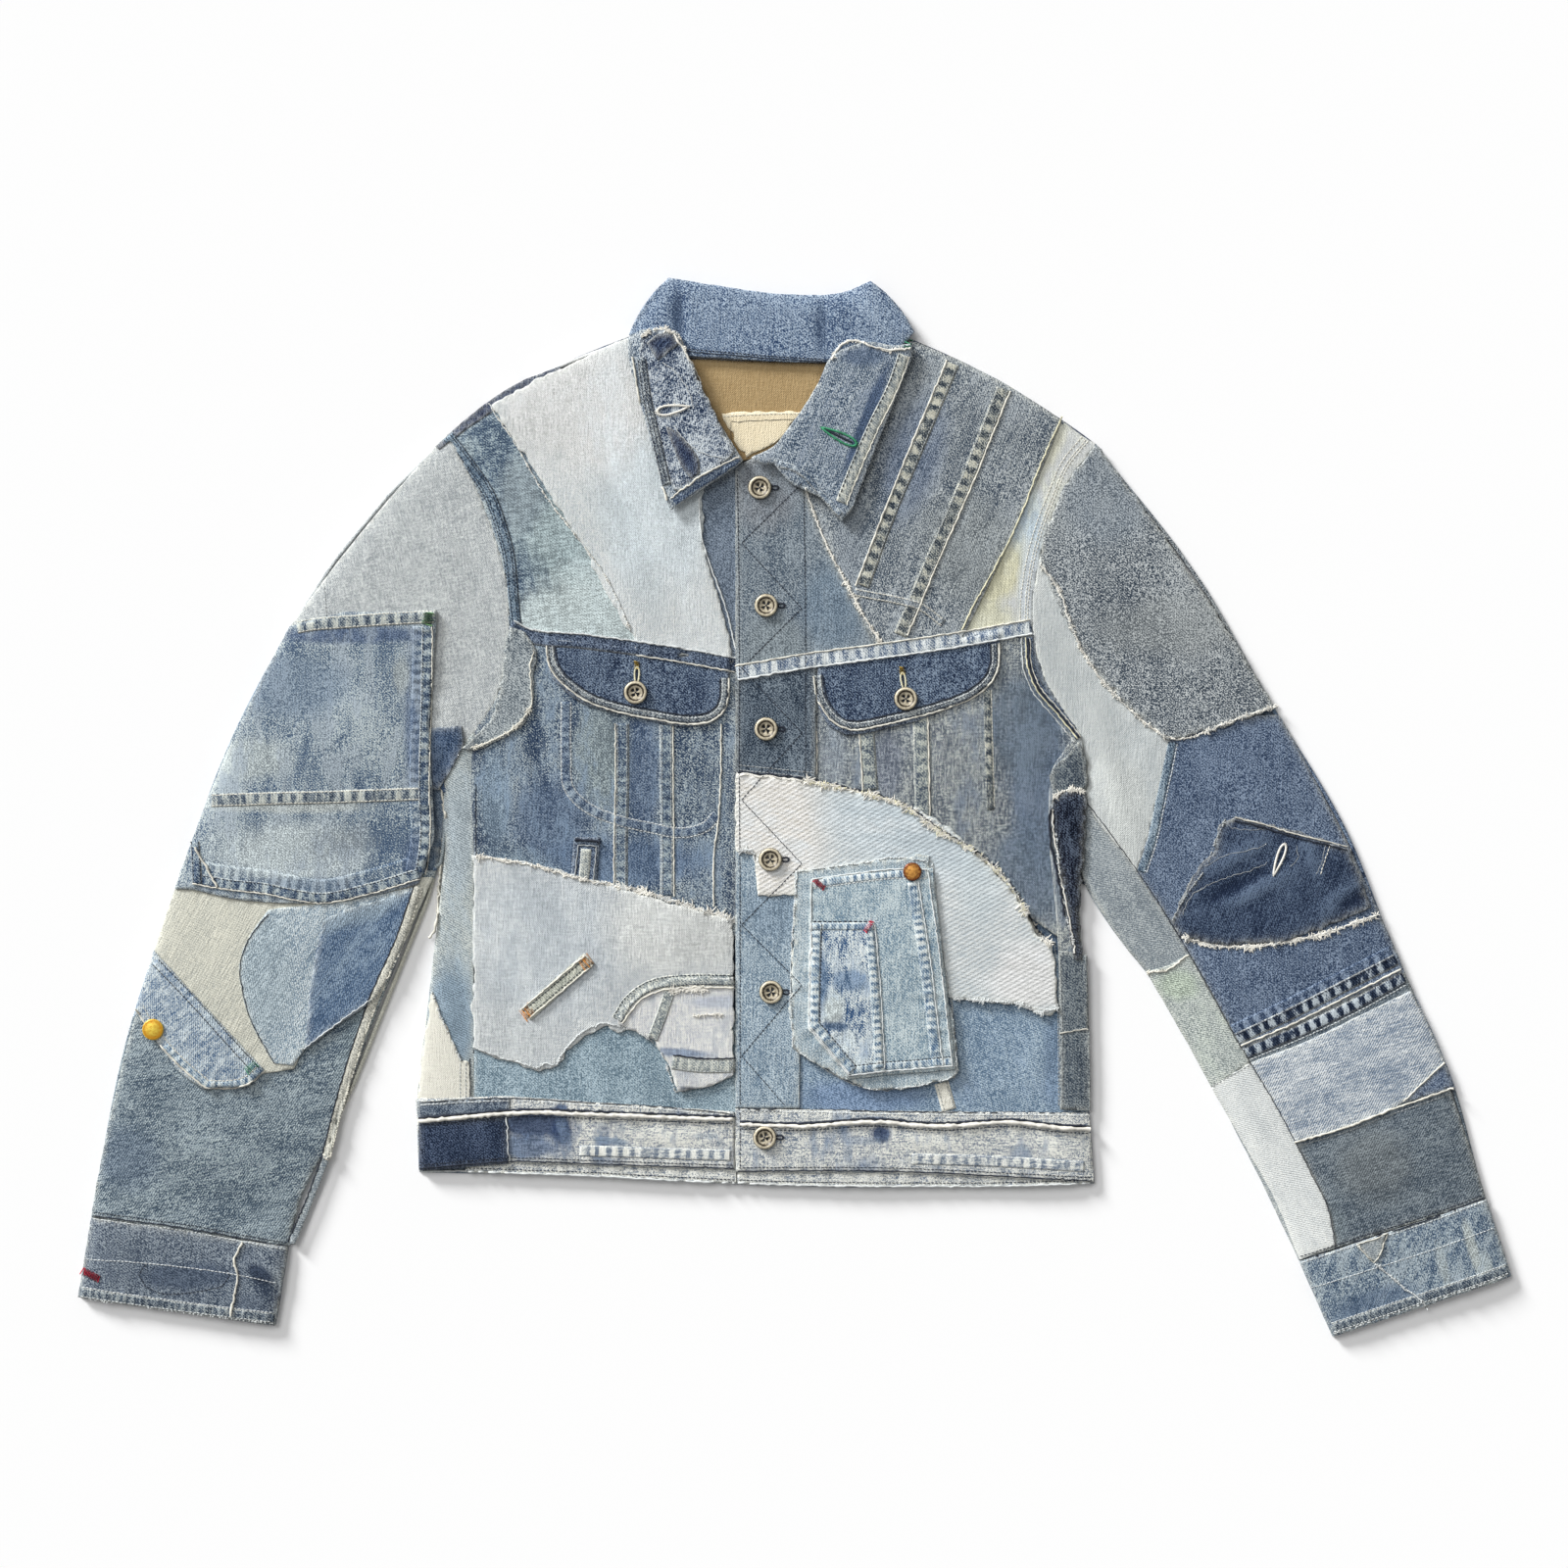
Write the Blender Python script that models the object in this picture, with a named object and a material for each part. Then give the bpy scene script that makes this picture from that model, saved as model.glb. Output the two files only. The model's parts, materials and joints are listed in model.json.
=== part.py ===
"""A patched denim jacket laid flat on its back, with its fronts buttoned.

Frame: +X runs towards the wearer's left sleeve, +Y towards the collar and +Z up from the
surface that the jacket lies on. The origin is the middle of the footprint, on that surface.
"right" and "left" are the wearer's own. The tables are in millimetres and seen from above.

A curve is a row of corners (x, y, bow): bow is how far the edge from that corner to the next
one bulges to its left, so it is positive where an outline walked clockwise bulges outwards.
Every panel is cut from such curves, kept half a seam gap back from them, and laid on a height
field that is shared by all panels, so that plies one above the other never touch.
"""

import math
from collections import namedtuple

import bmesh
import bpy
from mathutils import Matrix, Vector

MM = 0.001
CLOTH = 1.1  # thickness of one ply of denim
GAP = 0.3  # clearance between plies, and across a seam
PLY = CLOTH + GAP  # height from one layer of panels to the next
BACK = 1.2  # thickness of the back of the garment
FRONT = BACK + GAP  # height of the lowest layer of front panels
ARC_STEP = 24.0  # longest straight side on a curved edge
LATTICE = 34.0  # pitch of the grid on which panels bend

CUFF_HEIGHT = 5.0
CUFF_WALL = 1.2
BUTTON_SIDES = 24

CLOTHS = {  # colour (linear RGB) and roughness of each finish
    "navy": ((0.022, 0.040, 0.105), 0.9),
    "indigo": ((0.060, 0.115, 0.240), 0.9),
    "blue": ((0.130, 0.230, 0.380), 0.9),
    "grey": ((0.180, 0.225, 0.290), 0.9),
    "slate": ((0.075, 0.110, 0.165), 0.9),
    "pale": ((0.480, 0.570, 0.640), 0.9),
    "cream": ((0.640, 0.630, 0.540), 0.9),
    "khaki": ((0.380, 0.270, 0.130), 0.9),
    "bronze": ((0.190, 0.120, 0.060), 0.4),
    "brass": ((0.600, 0.420, 0.140), 0.35),
    "copper": ((0.560, 0.260, 0.130), 0.35),
}
METALS = ("bronze", "brass", "copper")

# Broad soft folds under the front panels: a ridge from one point to another, in millimetres.
Ridge = namedtuple("Ridge", "x0 y0 x1 y1 reach height")
RIDGES = (
    Ridge(-150, 180, -150, -160, 100, 1.5),
    Ridge(100, 180, 100, -160, 100, 1.5),
    Ridge(-285, 170, -430, -250, 75, 1.5),
    Ridge(250, 170, 425, -245, 75, 1.5),
    Ridge(-60, -70, 80, -120, 110, 0.7),
)


def curve(*corners):
    """Points along the corners, with arcs where a corner's bow isn't zero."""
    points = []
    for (x, y, bow), (next_x, next_y, _) in zip(corners, corners[1:]):
        points.append((x, y))
        if bow == 0:
            continue
        along = Vector((next_x - x, next_y - y))
        chord = along.length
        left = Vector((-along.y, along.x)) / chord
        radius = (chord * chord / 4 + bow * bow) / (2 * abs(bow))
        half_turn = math.asin(min(1.0, chord / 2 / radius))
        steps = max(2, math.ceil(2 * half_turn * radius / ARC_STEP))
        for step in range(1, steps):
            angle = half_turn * (2 * step / steps - 1)
            share = 0.5 + math.sin(angle) * radius / chord
            rise = math.copysign(abs(bow) - radius * (1 - math.cos(angle)), bow)
            points.append((x + along.x * share + left.x * rise, y + along.y * share + left.y * rise))
    points.append(corners[-1][:2])
    return points


def span(points, start, stop, axis=1):
    """The stretch of a curve between two values of y, or of x with axis 0, from start to stop."""
    low, high = sorted((start, stop))
    run = points if points[0][axis] < points[-1][axis] else points[::-1]
    kept = []
    for a, b in zip(run, run[1:]):
        for value in (low, high):
            if min(a[axis], b[axis]) <= value <= max(a[axis], b[axis]) and a[axis] != b[axis]:
                share = (value - a[axis]) / (b[axis] - a[axis])
                kept.append((a[0] + (b[0] - a[0]) * share, a[1] + (b[1] - a[1]) * share))
        if low < b[axis] < high:
            kept.append(b)
    kept.sort(key=lambda point: point[axis])
    return kept if start < stop else kept[::-1]


# Seams and edges that several panels share.
RIGHT_SHOULDER_SEAM = curve((-248, 266, 6), (-118, 336, 0))
LEFT_SHOULDER_SEAM = curve((84, 334, 5), (215, 259, 0))
RIGHT_ARMHOLE = curve((-248, 266, 5), (-205, 160, 3), (-209, 88, 5), (-250, 34, 0))
LEFT_ARMHOLE = curve((215, 259, -7), (174, 175, -4), (173, 107, -2), (190, 72, 4), (208, 30, 0))
RIGHT_SIDE = curve((-250, 34, 0), (-249, -30, 0), (-258, -110, 0), (-270, -210, 0))
LEFT_SIDE = curve((208, 30, -2), (202, -51, 0), (210, -218, 0))
RIGHT_SLEEVE_OUTER = curve((-248, 266, -3), (-360, 129, -4), (-437, -44, -6), (-502, -292, 0))
RIGHT_SLEEVE_INNER = curve((-250, 34, 2), (-255, -43, -3), (-333, -242, -5), (-361, -313, 0))
LEFT_SLEEVE_OUTER = curve((215, 259, 3), (342, 72, 3), (429, -103, 2.5), (493, -279, 0))
LEFT_SLEEVE_INNER = curve((208, 30, 0), (205, -48, -3), (251, -117, 3.5), (360, -323, 0))
RIGHT_YOKE_LINE = curve((-203.5, 130, 0), (-187, 122, 0), (-41.5, 103, 0))
LEFT_YOKE_LINE = curve((-42, 96, 0), (61, 112, 0), (169, 129, 0))
PLACKET_SEAM = curve((3, 262, 0), (6, 228, -3.5), (61, 112, 0))
RIGHT_SIDE_SEAM = [*span(RIGHT_ARMHOLE, 56, 57)[:1], (-229, -45), (-229, -214)]
SLEEVE_STRIP_SEAM = curve(
    (208, 30, 0), (209, 4, 0), (244, -46, 0), (268, -82, 0), (319, -172, 0), (356, -239, 4), (386, -314, 0)
)
SLEEVE_PALE_SEAM = curve((244, -46, -2), (270, 62, 0))
SLEEVE_FELL = curve((319, -172, 0), (434, -118, 0))

# layer: how many plies lie below it (None on the back of the garment). plies: its own thickness.
Panel = namedtuple("Panel", "name layer plies cloth outline")
PANELS = (
    # the back of the garment
    Panel("back_yoke", None, 1, "navy", [
        *RIGHT_SHOULDER_SEAM, (-80, 322), (26, 318), *LEFT_SHOULDER_SEAM,
        *span(LEFT_ARMHOLE, 259, 150), *span(RIGHT_ARMHOLE, 150, 266),
    ]),
    Panel("back_body", None, 1, "indigo", [
        *span(LEFT_ARMHOLE, 150, 30), *LEFT_SIDE, *RIGHT_SIDE[::-1], *span(RIGHT_ARMHOLE, 34, 150),
    ]),
    Panel("back_hem", None, 1, "indigo", curve(
        (-270, -210, 0), (210, -218, 0), (214, -268, 0), (101, -270.5, 0), (8, -270.5, 0),
        (-180, -262, 0), (-268, -260, 0), (-270, -210, 0),
    )),
    Panel("right_sleeve_under", None, 1, "slate", [
        *RIGHT_ARMHOLE, *RIGHT_SLEEVE_INNER, *RIGHT_SLEEVE_OUTER[::-1],
    ]),
    Panel("left_sleeve_under", None, 1, "slate", [
        *LEFT_SLEEVE_OUTER, *LEFT_SLEEVE_INNER[::-1], *LEFT_ARMHOLE[::-1],
    ]),
    # neck and collar
    Panel("neck_lining", 0, 1, "khaki", curve(
        (-88, 320, 0), (28, 316, 0), (34, 300, 0), (10, 262, 0), (-4, 255, 0), (-38, 247, 0),
        (-66, 233, 0), (-76, 270, 0), (-88, 320, 0),
    )),
    Panel("neck_label", 1, 1, "cream", curve(
        (-53, 281, 0), (6, 282, -2), (-6, 266, 0), (-35, 250, 0), (-53, 281, 0),
    )),
    Panel("collar_back", 2, 2, "blue", curve(
        (-118, 337, 3), (-90, 377.15, 0), (-5, 365.5, 0), (35, 367, 0), (54, 375, 3), (85, 339, 0),
        (71, 325, 0), (26, 318, 0), (-80, 322, 0), (-90, 331, 0), (-118, 337, 0),
    )),
    Panel("right_collar_leaf", 4, 2, "grey", curve(
        (-118, 334, 0), (-108, 340, 0), (-87, 338, 0), (-80, 325, -2), (-37, 247, 0), (-45, 241, 0),
        (-88, 212, 0), (-93, 224, 0), (-118, 321, 0), (-118, 334, 0),
    )),
    Panel("left_collar_leaf", 4, 2, "grey", curve(
        (25, 319, 3), (55, 331, -2), (83, 330, 0), (83, 321, 0), (40, 212, 0), (33, 204, 0),
        (18, 221, 4), (-15, 245, 2), (-31, 249, 0), (-15, 257, -3), (25, 319, 0),
    )),
    # right front, from the shoulder down
    Panel("right_shoulder", 0, 1, "slate", [
        (-245, 264), (-212, 288), (-196, 268), (-120, 140), *span(RIGHT_YOKE_LINE, -104, -203.5, axis=0),
        *span(RIGHT_ARMHOLE, 131, 262),
    ]),
    Panel("right_yoke", 1, 1, "pale", [
        *curve((-216, 287, 2), (-118, 334, 0), (-82, 326, 0), (-66, 240, 0), (-66, 190, 0), (-46, 112, 0)),
        *span(RIGHT_YOKE_LINE, -46, -112, axis=0), *curve((-114, 120, 2), (-150, 186, 0), (-216, 287, 0)),
    ]),
    Panel("right_button_stand", 0, 1, "indigo", curve(
        (-66, 228, 0), (-38, 243, 0), (-4, 250, 0), (-4, -256, 0), (-41.5, -256, 0), (-41.5, 103, 0),
        (-50, 137, 0), (-64, 181, 0), (-66, 228, 0),
    )),
    Panel("right_chest", 0, 1, "indigo", [
        *RIGHT_YOKE_LINE, (-41.5, -92), *span(RIGHT_SIDE_SEAM, -45, 56), *span(RIGHT_ARMHOLE, 56, 129),
    ]),
    Panel("right_flap", 1, 1, "navy", [
        *span(RIGHT_YOKE_LINE, -177, -47, axis=0),
        *curve((-48, 76, 3), (-63, 59, 0), (-82, 58, 0), (-138, 70, 3), (-171, 90, 0), (-176, 104, 0)),
    ]),
    Panel("right_lower_panel", 1, 1, "pale", curve(
        (-229, -34, 3), (-140, -54, 0), (-44, -81, 0), (-44, -130, 0), (-125, -160, 0), (-134, -155, -2),
        (-163, -173, 0), (-170, -184, 0), (-184, -187, 0), (-213, -178, 0), (-229, -171, 0), (-229, -34, 0),
    )),
    Panel("right_hip_inset", 2, 1, "grey", curve(
        (-127, -153, 0), (-120, -141, 4), (-85, -122, 0), (-44, -121, 0), (-44, -191, 0), (-61, -199, 0),
        (-83, -202, 0), (-88, -187, 0), (-102, -164, 0), (-127, -153, 0),
    )),
    Panel("right_bottom_panel", 0, 1, "blue", [
        (-41.5, -150), (-41.5, -222), *span(RIGHT_SIDE_SEAM, -213, -150),
    ]),
    Panel("right_side_panel", 0, 1, "slate", [
        *span(RIGHT_ARMHOLE, 34, 56), *RIGHT_SIDE_SEAM, *RIGHT_SIDE[::-1],
    ]),
    Panel("right_belt_loop", 2, 1, "pale", curve(
        (-150, -104, 0), (-143, -111, 0), (-188, -151, 0), (-195, -144, 0), (-150, -104, 0),
    )),
    # left front, from the shoulder down
    Panel("left_placket", 1, 1, "grey", [
        (-42, 243), (-12, 257), *PLACKET_SEAM, *span(LEFT_YOKE_LINE, 60, -42, axis=0),
    ]),
    Panel("left_yoke", 1, 1, "grey", [
        *curve((5, 262, 0), (35, 318, 0), (70, 334, 0), (84, 332, 4), (190, 276, 2), (120, 123, 0)),
        *span(LEFT_YOKE_LINE, 119, 62, axis=0), *PLACKET_SEAM[::-1],
    ]),
    Panel("left_shoulder", 0, 1, "pale", [
        (181, 279), *span(LEFT_ARMHOLE, 259, 129.5), *span(LEFT_YOKE_LINE, 168, 110, axis=0),
    ]),
    Panel("left_chest", 0, 1, "indigo", [
        *span(LEFT_YOKE_LINE, 5, 169, axis=0), *span(LEFT_ARMHOLE, 128.5, 30), *span(LEFT_SIDE, 30, -51),
        (188, -92), (120, -45), (5, 0),
    ]),
    Panel("left_flap", 1, 1, "navy", [
        *span(LEFT_YOKE_LINE, 17, 146, axis=0),
        *curve((146, 107, 2), (141, 90, 0), (124, 78, 0), (87, 62, 0), (49, 53, 4), (23, 60, 0), (17, 74, 0)),
    ]),
    Panel("placket_dark_patch", 1, 1, "navy", [
        *span(LEFT_YOKE_LINE, -42, 15, axis=0), (15, 17), (-42, 22),
    ]),
    Panel("left_side_panel", 1, 1, "navy", [
        *span(LEFT_ARMHOLE, 55, 30), *span(LEFT_SIDE, 30, -214), (190, -214), (188, -100), (181, 0), (183, 25),
    ]),
    Panel("left_arc_panel", 2, 1, "cream", curve(
        (-42, 25, 0), (13, 18, 0), (59, 8, 8), (135, -40, 4), (171, -90, 0), (183, -97, 0), (188, -145, 0),
        (177, -148, 0), (160, -141, 0), (116, -136, 0), (83, -131, 0), (1, -62, 0), (-26, -63, 0),
        (-29, -34, 0), (-42, -30, 0), (-42, 25, 0),
    )),
    Panel("left_placket_lower", 1, 1, "blue", curve(
        (-42, -22, 0), (5, -22, 0), (3, -214, 0), (-42, -214, 0), (-42, -22, 0),
    )),
    Panel("left_bottom_panel", 0, 1, "blue", curve(
        (0, -105, 0), (203, -105, 0), (209, -222, 0), (0, -219, 0), (0, -105, 0),
    )),
    Panel("left_pocket_backing", 3, 1, "blue", curve(
        (1, -46, 0), (95, -34, 0), (97, -48, 0), (117, -187, 0), (110, -193, 0), (80, -200, 0),
        (55, -200, 0), (34, -193, 0), (-1, -172, 0), (-3, -145, 0), (1, -46, 0),
    )),
    Panel("left_utility_pocket", 4, 1, "blue", curve(
        (11, -51, 0), (98, -43, 0), (114, -186, 0), (65, -190, 0), (38, -193, 0), (9, -157, 0), (11, -51, 0),
    )),
    Panel("left_pen_pocket", 5, 1, "blue", curve(
        (12, -82, 0), (56, -82, 0), (63, -188, 0), (38, -191, 0), (11, -158, 0), (12, -82, 0),
    )),
    # hem band
    Panel("right_hem", 1, 1, "slate", curve(
        (-270, -208, 0), (-204, -206, 0), (-43, -217, 0), (-43, -258, 0), (-205, -253, 0),
        (-268, -258, 0), (-270, -208, 0),
    )),
    Panel("left_hem", 1, 1, "pale", curve(
        (-42, -215, 0), (210, -218, 0), (213, -267, 0), (70, -260, 0), (-42, -260, 0), (-42, -215, 0),
    )),
    # right sleeve, from the armhole down
    Panel("right_sleeve_upper", 0, 1, "grey", [
        *RIGHT_ARMHOLE, *span(RIGHT_SLEEVE_OUTER, 70, 266),
    ]),
    Panel("right_sleeve_pocket", 2, 1, "blue", [
        *curve((-255, 139, 0), (-261, 59, 0), (-257, -20, 0), (-268, -54, 12), (-431, -58, 0)),
        *span(RIGHT_SLEEVE_OUTER, -58, 129), (-320, 139),
    ]),
    Panel("right_sleeve_patches", 1, 1, "cream", [
        *span(RIGHT_SLEEVE_INNER, -50, -95), (-300, -134), (-351, -173), (-357, -186), (-384, -190),
        *span(RIGHT_SLEEVE_OUTER, -125, -50),
    ]),
    Panel("right_sleeve_flap", 2, 1, "blue", curve(
        (-457, -102, 0), (-378, -187, 0), (-389, -197, 0), (-421, -200, 3), (-451, -171, 0), (-469, -144, 0),
        (-457, -102, 0),
    )),
    Panel("right_sleeve_lower", 0, 1, "slate", [
        *span(RIGHT_SLEEVE_INNER, -45, -313), *span(RIGHT_SLEEVE_OUTER, -292, -50),
    ]),
    # left sleeve, from the armhole down
    Panel("left_sleeve_upper", 1, 1, "grey", [
        *span(LEFT_SLEEVE_OUTER, 259, 72), (307, 58), (265, 48), *curve((258, 54, 11), (175, 178, 0)),
        *span(LEFT_ARMHOLE, 180, 255),
    ]),
    Panel("left_sleeve_pale", 0, 1, "pale", [
        *span(LEFT_ARMHOLE, 180, 30), *span(SLEEVE_STRIP_SEAM, 30, -46), *SLEEVE_PALE_SEAM, (196, 168),
    ]),
    Panel("left_sleeve_indigo", 0, 1, "indigo", [
        *SLEEVE_PALE_SEAM[::-1], *span(SLEEVE_STRIP_SEAM, -46, -172), *SLEEVE_FELL,
        *span(LEFT_SLEEVE_OUTER, -118, 66),
    ]),
    Panel("left_sleeve_dark_patch", 1, 1, "navy", curve(
        (314, -6, 0), (303, -13, 0), (300, -29, -4), (270, -81, 0), (274, -92, 0), (303, -97, 0),
        (343, -96, 0), (378, -85, 0), (411, -71, 0), (396, -30, 0), (360, -18, 0), (314, -6, 0),
    )),
    Panel("left_sleeve_lower", 0, 1, "slate", [
        *SLEEVE_FELL, *span(LEFT_SLEEVE_OUTER, -118, -279), *span(SLEEVE_STRIP_SEAM, -314, -172),
    ]),
    Panel("left_sleeve_gusset", 0, 1, "pale", [
        *SLEEVE_STRIP_SEAM, *LEFT_SLEEVE_INNER[::-1],
    ]),
)

# Bands of cloth that are laid along a line.
Band = namedtuple("Band", "name layer cloth line width")
BANDS = (
    Band("right_yoke_tape", 2, "navy", span(RIGHT_YOKE_LINE, -203, -45, axis=0), 11.0),
    Band("left_yoke_tape", 2, "pale", span(LEFT_YOKE_LINE, -41, 168, axis=0), 11.0),
)

# A cuff is a flat tube, open at both ends, from the sleeve's seam to its mouth.
Cuff = namedtuple("Cuff", "name seam_in seam_out mouth_in mouth_out")
CUFFS = (
    Cuff("right_cuff", (-361.5, -313.6), (-501.5, -292.8), (-371, -369), (-511, -349)),
    Cuff("left_cuff", (360.5, -323.8), (493, -279.8), (384, -377), (511, -334)),
)

# Buttons and the rivet lie on the panels: layer is the ply that the base stands on.
Stud = namedtuple("Stud", "name x y layer radius height metal")
STUDS = (
    Stud("front_button_1", -25, 228, 2, 8.4, 3.4, "bronze"),
    Stud("front_button_2", -20, 144, 2, 8.4, 3.4, "bronze"),
    Stud("front_button_3", -20, 55, 2, 8.4, 3.4, "bronze"),
    Stud("front_button_4", -18, -38, 3, 8.4, 3.4, "bronze"),
    Stud("front_button_5", -16, -132, 2, 8.4, 3.4, "bronze"),
    Stud("front_button_6", -21, -236, 2, 8.4, 3.4, "bronze"),
    Stud("right_flap_button", -113, 80, 2, 8.4, 3.4, "bronze"),
    Stud("left_flap_button", 79, 77, 2, 8.4, 3.4, "bronze"),
    Stud("sleeve_flap_button", -457, -158, 3, 7.6, 3.4, "brass"),
    Stud("pocket_rivet", 84, -50, 5, 5.2, 2.0, "copper"),
)


def ridge_height(x, y):
    """Height in millimetres that the soft folds add at a point."""
    total = 0.0
    for ridge in RIDGES:
        along = Vector((ridge.x1 - ridge.x0, ridge.y1 - ridge.y0))
        offset = Vector((x - ridge.x0, y - ridge.y0))
        share = min(1.0, max(0.0, offset.dot(along) / along.length_squared))
        away = (offset - along * share).length / ridge.reach
        total = max(total, ridge.height * max(0.0, 1 - away * away) ** 2)
    return total


def lift(x, y):
    """Height field of the front: the folds at the lattice's corners, flat between them."""
    column, row = math.floor(x / LATTICE), math.floor(y / LATTICE)
    u, v = x / LATTICE - column, y / LATTICE - row
    right_corner = ridge_height((column + 1) * LATTICE, row * LATTICE)
    upper_corner = ridge_height(column * LATTICE, (row + 1) * LATTICE)
    if u + v <= 1:
        near = ridge_height(column * LATTICE, row * LATTICE)
        return near + u * (right_corner - near) + v * (upper_corner - near)
    far = ridge_height((column + 1) * LATTICE, (row + 1) * LATTICE)
    return far + (1 - u) * (upper_corner - far) + (1 - v) * (right_corner - far)


def drawn_back(outline, distance):
    """The outline moved inwards by a distance, with its repeated points dropped."""
    points = []
    for point in outline:
        if not points or math.dist(point, points[-1]) > 4 * distance:
            points.append(point)
    if math.dist(points[0], points[-1]) <= 4 * distance:
        points.pop()
    area = sum(a[0] * b[1] - b[0] * a[1] for a, b in zip(points, points[1:] + points[:1]))
    if area < 0:
        points.reverse()
    moved = []
    for before, here, after in zip(points[-1:] + points[:-1], points, points[1:] + points[:1]):
        into = Vector((here[0] - before[0], here[1] - before[1])).normalized()
        away = Vector((after[0] - here[0], after[1] - here[1])).normalized()
        inward = Vector((-into.y - away.y, into.x + away.x))
        inward /= max(0.35, inward.length_squared / 2)
        moved.append((here[0] + inward.x * distance, here[1] + inward.y * distance))
    return moved


def finish(name, mesh, cloth):
    """Makes an object of a bmesh in millimetres, with its material."""
    bmesh.ops.recalc_face_normals(mesh, faces=mesh.faces[:])
    bmesh.ops.transform(mesh, matrix=Matrix.Scale(MM, 4), verts=mesh.verts[:])
    data = bpy.data.meshes.new(name)
    mesh.to_mesh(data)
    mesh.free()
    piece = bpy.data.objects.new(name, data)
    bpy.context.scene.collection.objects.link(piece)
    material = bpy.data.materials.get(cloth)
    if material is None:
        colour, roughness = CLOTHS[cloth]
        material = bpy.data.materials.new(cloth)
        material.use_nodes = True
        shader = material.node_tree.nodes["Principled BSDF"]
        shader.inputs["Base Color"].default_value = (*colour, 1.0)
        shader.inputs["Roughness"].default_value = roughness
        shader.inputs["Metallic"].default_value = 1.0 if cloth in METALS else 0.0
    data.materials.append(material)
    return piece


def make_panel(name, layer, plies, cloth, outline):
    """A flat wall of cloth with the outline's shape, bent over the soft folds."""
    mesh = bmesh.new()
    edge = drawn_back(outline, GAP / 2)
    mesh.faces.new([mesh.verts.new((x, y, 0)) for x, y in edge])
    if layer is None:
        base, thickness = 0.0, BACK
    else:
        base, thickness = FRONT + layer * PLY, plies * PLY - GAP
        reach = math.ceil(max(abs(value) for point in edge for value in point) / LATTICE)
        for normal in ((1, 0, 0), (0, 1, 0), (1, 1, 0)):
            for line in range(-2 * reach, 2 * reach + 1):
                sides = [x * normal[0] + y * normal[1] - line * LATTICE for x, y in edge]
                if min(sides) >= 0 or max(sides) <= 0:
                    continue
                across = Vector(normal)
                bmesh.ops.bisect_plane(
                    mesh, geom=mesh.verts[:] + mesh.edges[:] + mesh.faces[:], dist=0.001,
                    plane_co=across * line * LATTICE / across.length_squared, plane_no=across,
                )
        for vert in mesh.verts:
            vert.co.z = lift(vert.co.x, vert.co.y)
    bmesh.ops.translate(mesh, vec=(0, 0, base), verts=mesh.verts[:])
    grown = bmesh.ops.extrude_face_region(mesh, geom=mesh.faces[:])
    raised = [item for item in grown["geom"] if isinstance(item, bmesh.types.BMVert)]
    bmesh.ops.translate(mesh, vec=(0, 0, thickness), verts=raised)
    return finish(name, mesh, cloth)


def make_band(band):
    """A strip of even width along a line, with square ends."""
    left, right = [], []
    points = [Vector(point) for point in band.line]
    for index, point in enumerate(points):
        run = points[min(index + 1, len(points) - 1)] - points[max(index - 1, 0)]
        across = Vector((-run.y, run.x)).normalized() * band.width / 2
        left.append(tuple(point + across))
        right.append(tuple(point - across))
    return make_panel(band.name, band.layer, 1, band.cloth, left + right[::-1])


def ring_of(mesh, inner_end, outer_end, inset):
    """Six corners of a cuff's flat section between two ends, drawn in by the inset."""
    across = Vector((outer_end[0] - inner_end[0], outer_end[1] - inner_end[1], 0))
    width = across.length
    across.normalize()
    start = Vector((inner_end[0], inner_end[1], 0))
    middle, round_off = CUFF_HEIGHT / 2, 0.4 * CUFF_HEIGHT
    section = (
        (inset, middle), (round_off, CUFF_HEIGHT - inset), (width - round_off, CUFF_HEIGHT - inset),
        (width - inset, middle), (width - round_off, inset), (round_off, inset),
    )
    return [mesh.verts.new(start + across * along + Vector((0, 0, height))) for along, height in section]


def make_cuff(cuff):
    """An open flat tube: its outer and inner walls, joined at the seam and at the mouth."""
    mesh = bmesh.new()
    outer_seam = ring_of(mesh, cuff.seam_in, cuff.seam_out, 0.0)
    outer_mouth = ring_of(mesh, cuff.mouth_in, cuff.mouth_out, 0.0)
    inner_mouth = ring_of(mesh, cuff.mouth_in, cuff.mouth_out, CUFF_WALL)
    inner_seam = ring_of(mesh, cuff.seam_in, cuff.seam_out, CUFF_WALL)
    rings = [outer_seam, outer_mouth, inner_mouth, inner_seam]
    for ring, following in zip(rings, rings[1:] + rings[:1]):
        for index in range(len(ring)):
            after = (index + 1) % len(ring)
            mesh.faces.new((ring[index], ring[after], following[after], following[index]))
    return finish(cuff.name, mesh, "grey")


def make_stud(stud):
    """A turned button or rivet: a rim that stands over a dished face."""
    base = FRONT + stud.layer * PLY + lift(stud.x, stud.y) + GAP / 2
    radius, height = stud.radius, stud.height
    profile = (
        (0, 0), (0.55 * radius, 0), (radius, 0.4 * height), (0.97 * radius, 0.8 * height),
        (0.82 * radius, height), (0.62 * radius, 0.7 * height), (0, 0.62 * height),
    )
    mesh = bmesh.new()
    verts = [mesh.verts.new((x, 0, z)) for x, z in profile]
    edges = [mesh.edges.new(pair) for pair in zip(verts, verts[1:])]
    bmesh.ops.spin(
        mesh, geom=verts + edges, axis=(0, 0, 1), cent=(0, 0, 0), angle=math.tau,
        steps=BUTTON_SIDES, use_merge=True,
    )
    bmesh.ops.remove_doubles(mesh, verts=mesh.verts[:], dist=0.0001)
    bmesh.ops.translate(mesh, vec=(stud.x, stud.y, base), verts=mesh.verts[:])
    return finish(stud.name, mesh, stud.metal)


def main():
    """Builds every piece of the jacket."""
    for old in list(bpy.data.objects):
        bpy.data.objects.remove(old)
    for panel in PANELS:
        make_panel(*panel)
    for band in BANDS:
        make_band(band)
    for cuff in CUFFS:
        make_cuff(cuff)
    for stud in STUDS:
        make_stud(stud)


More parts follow.
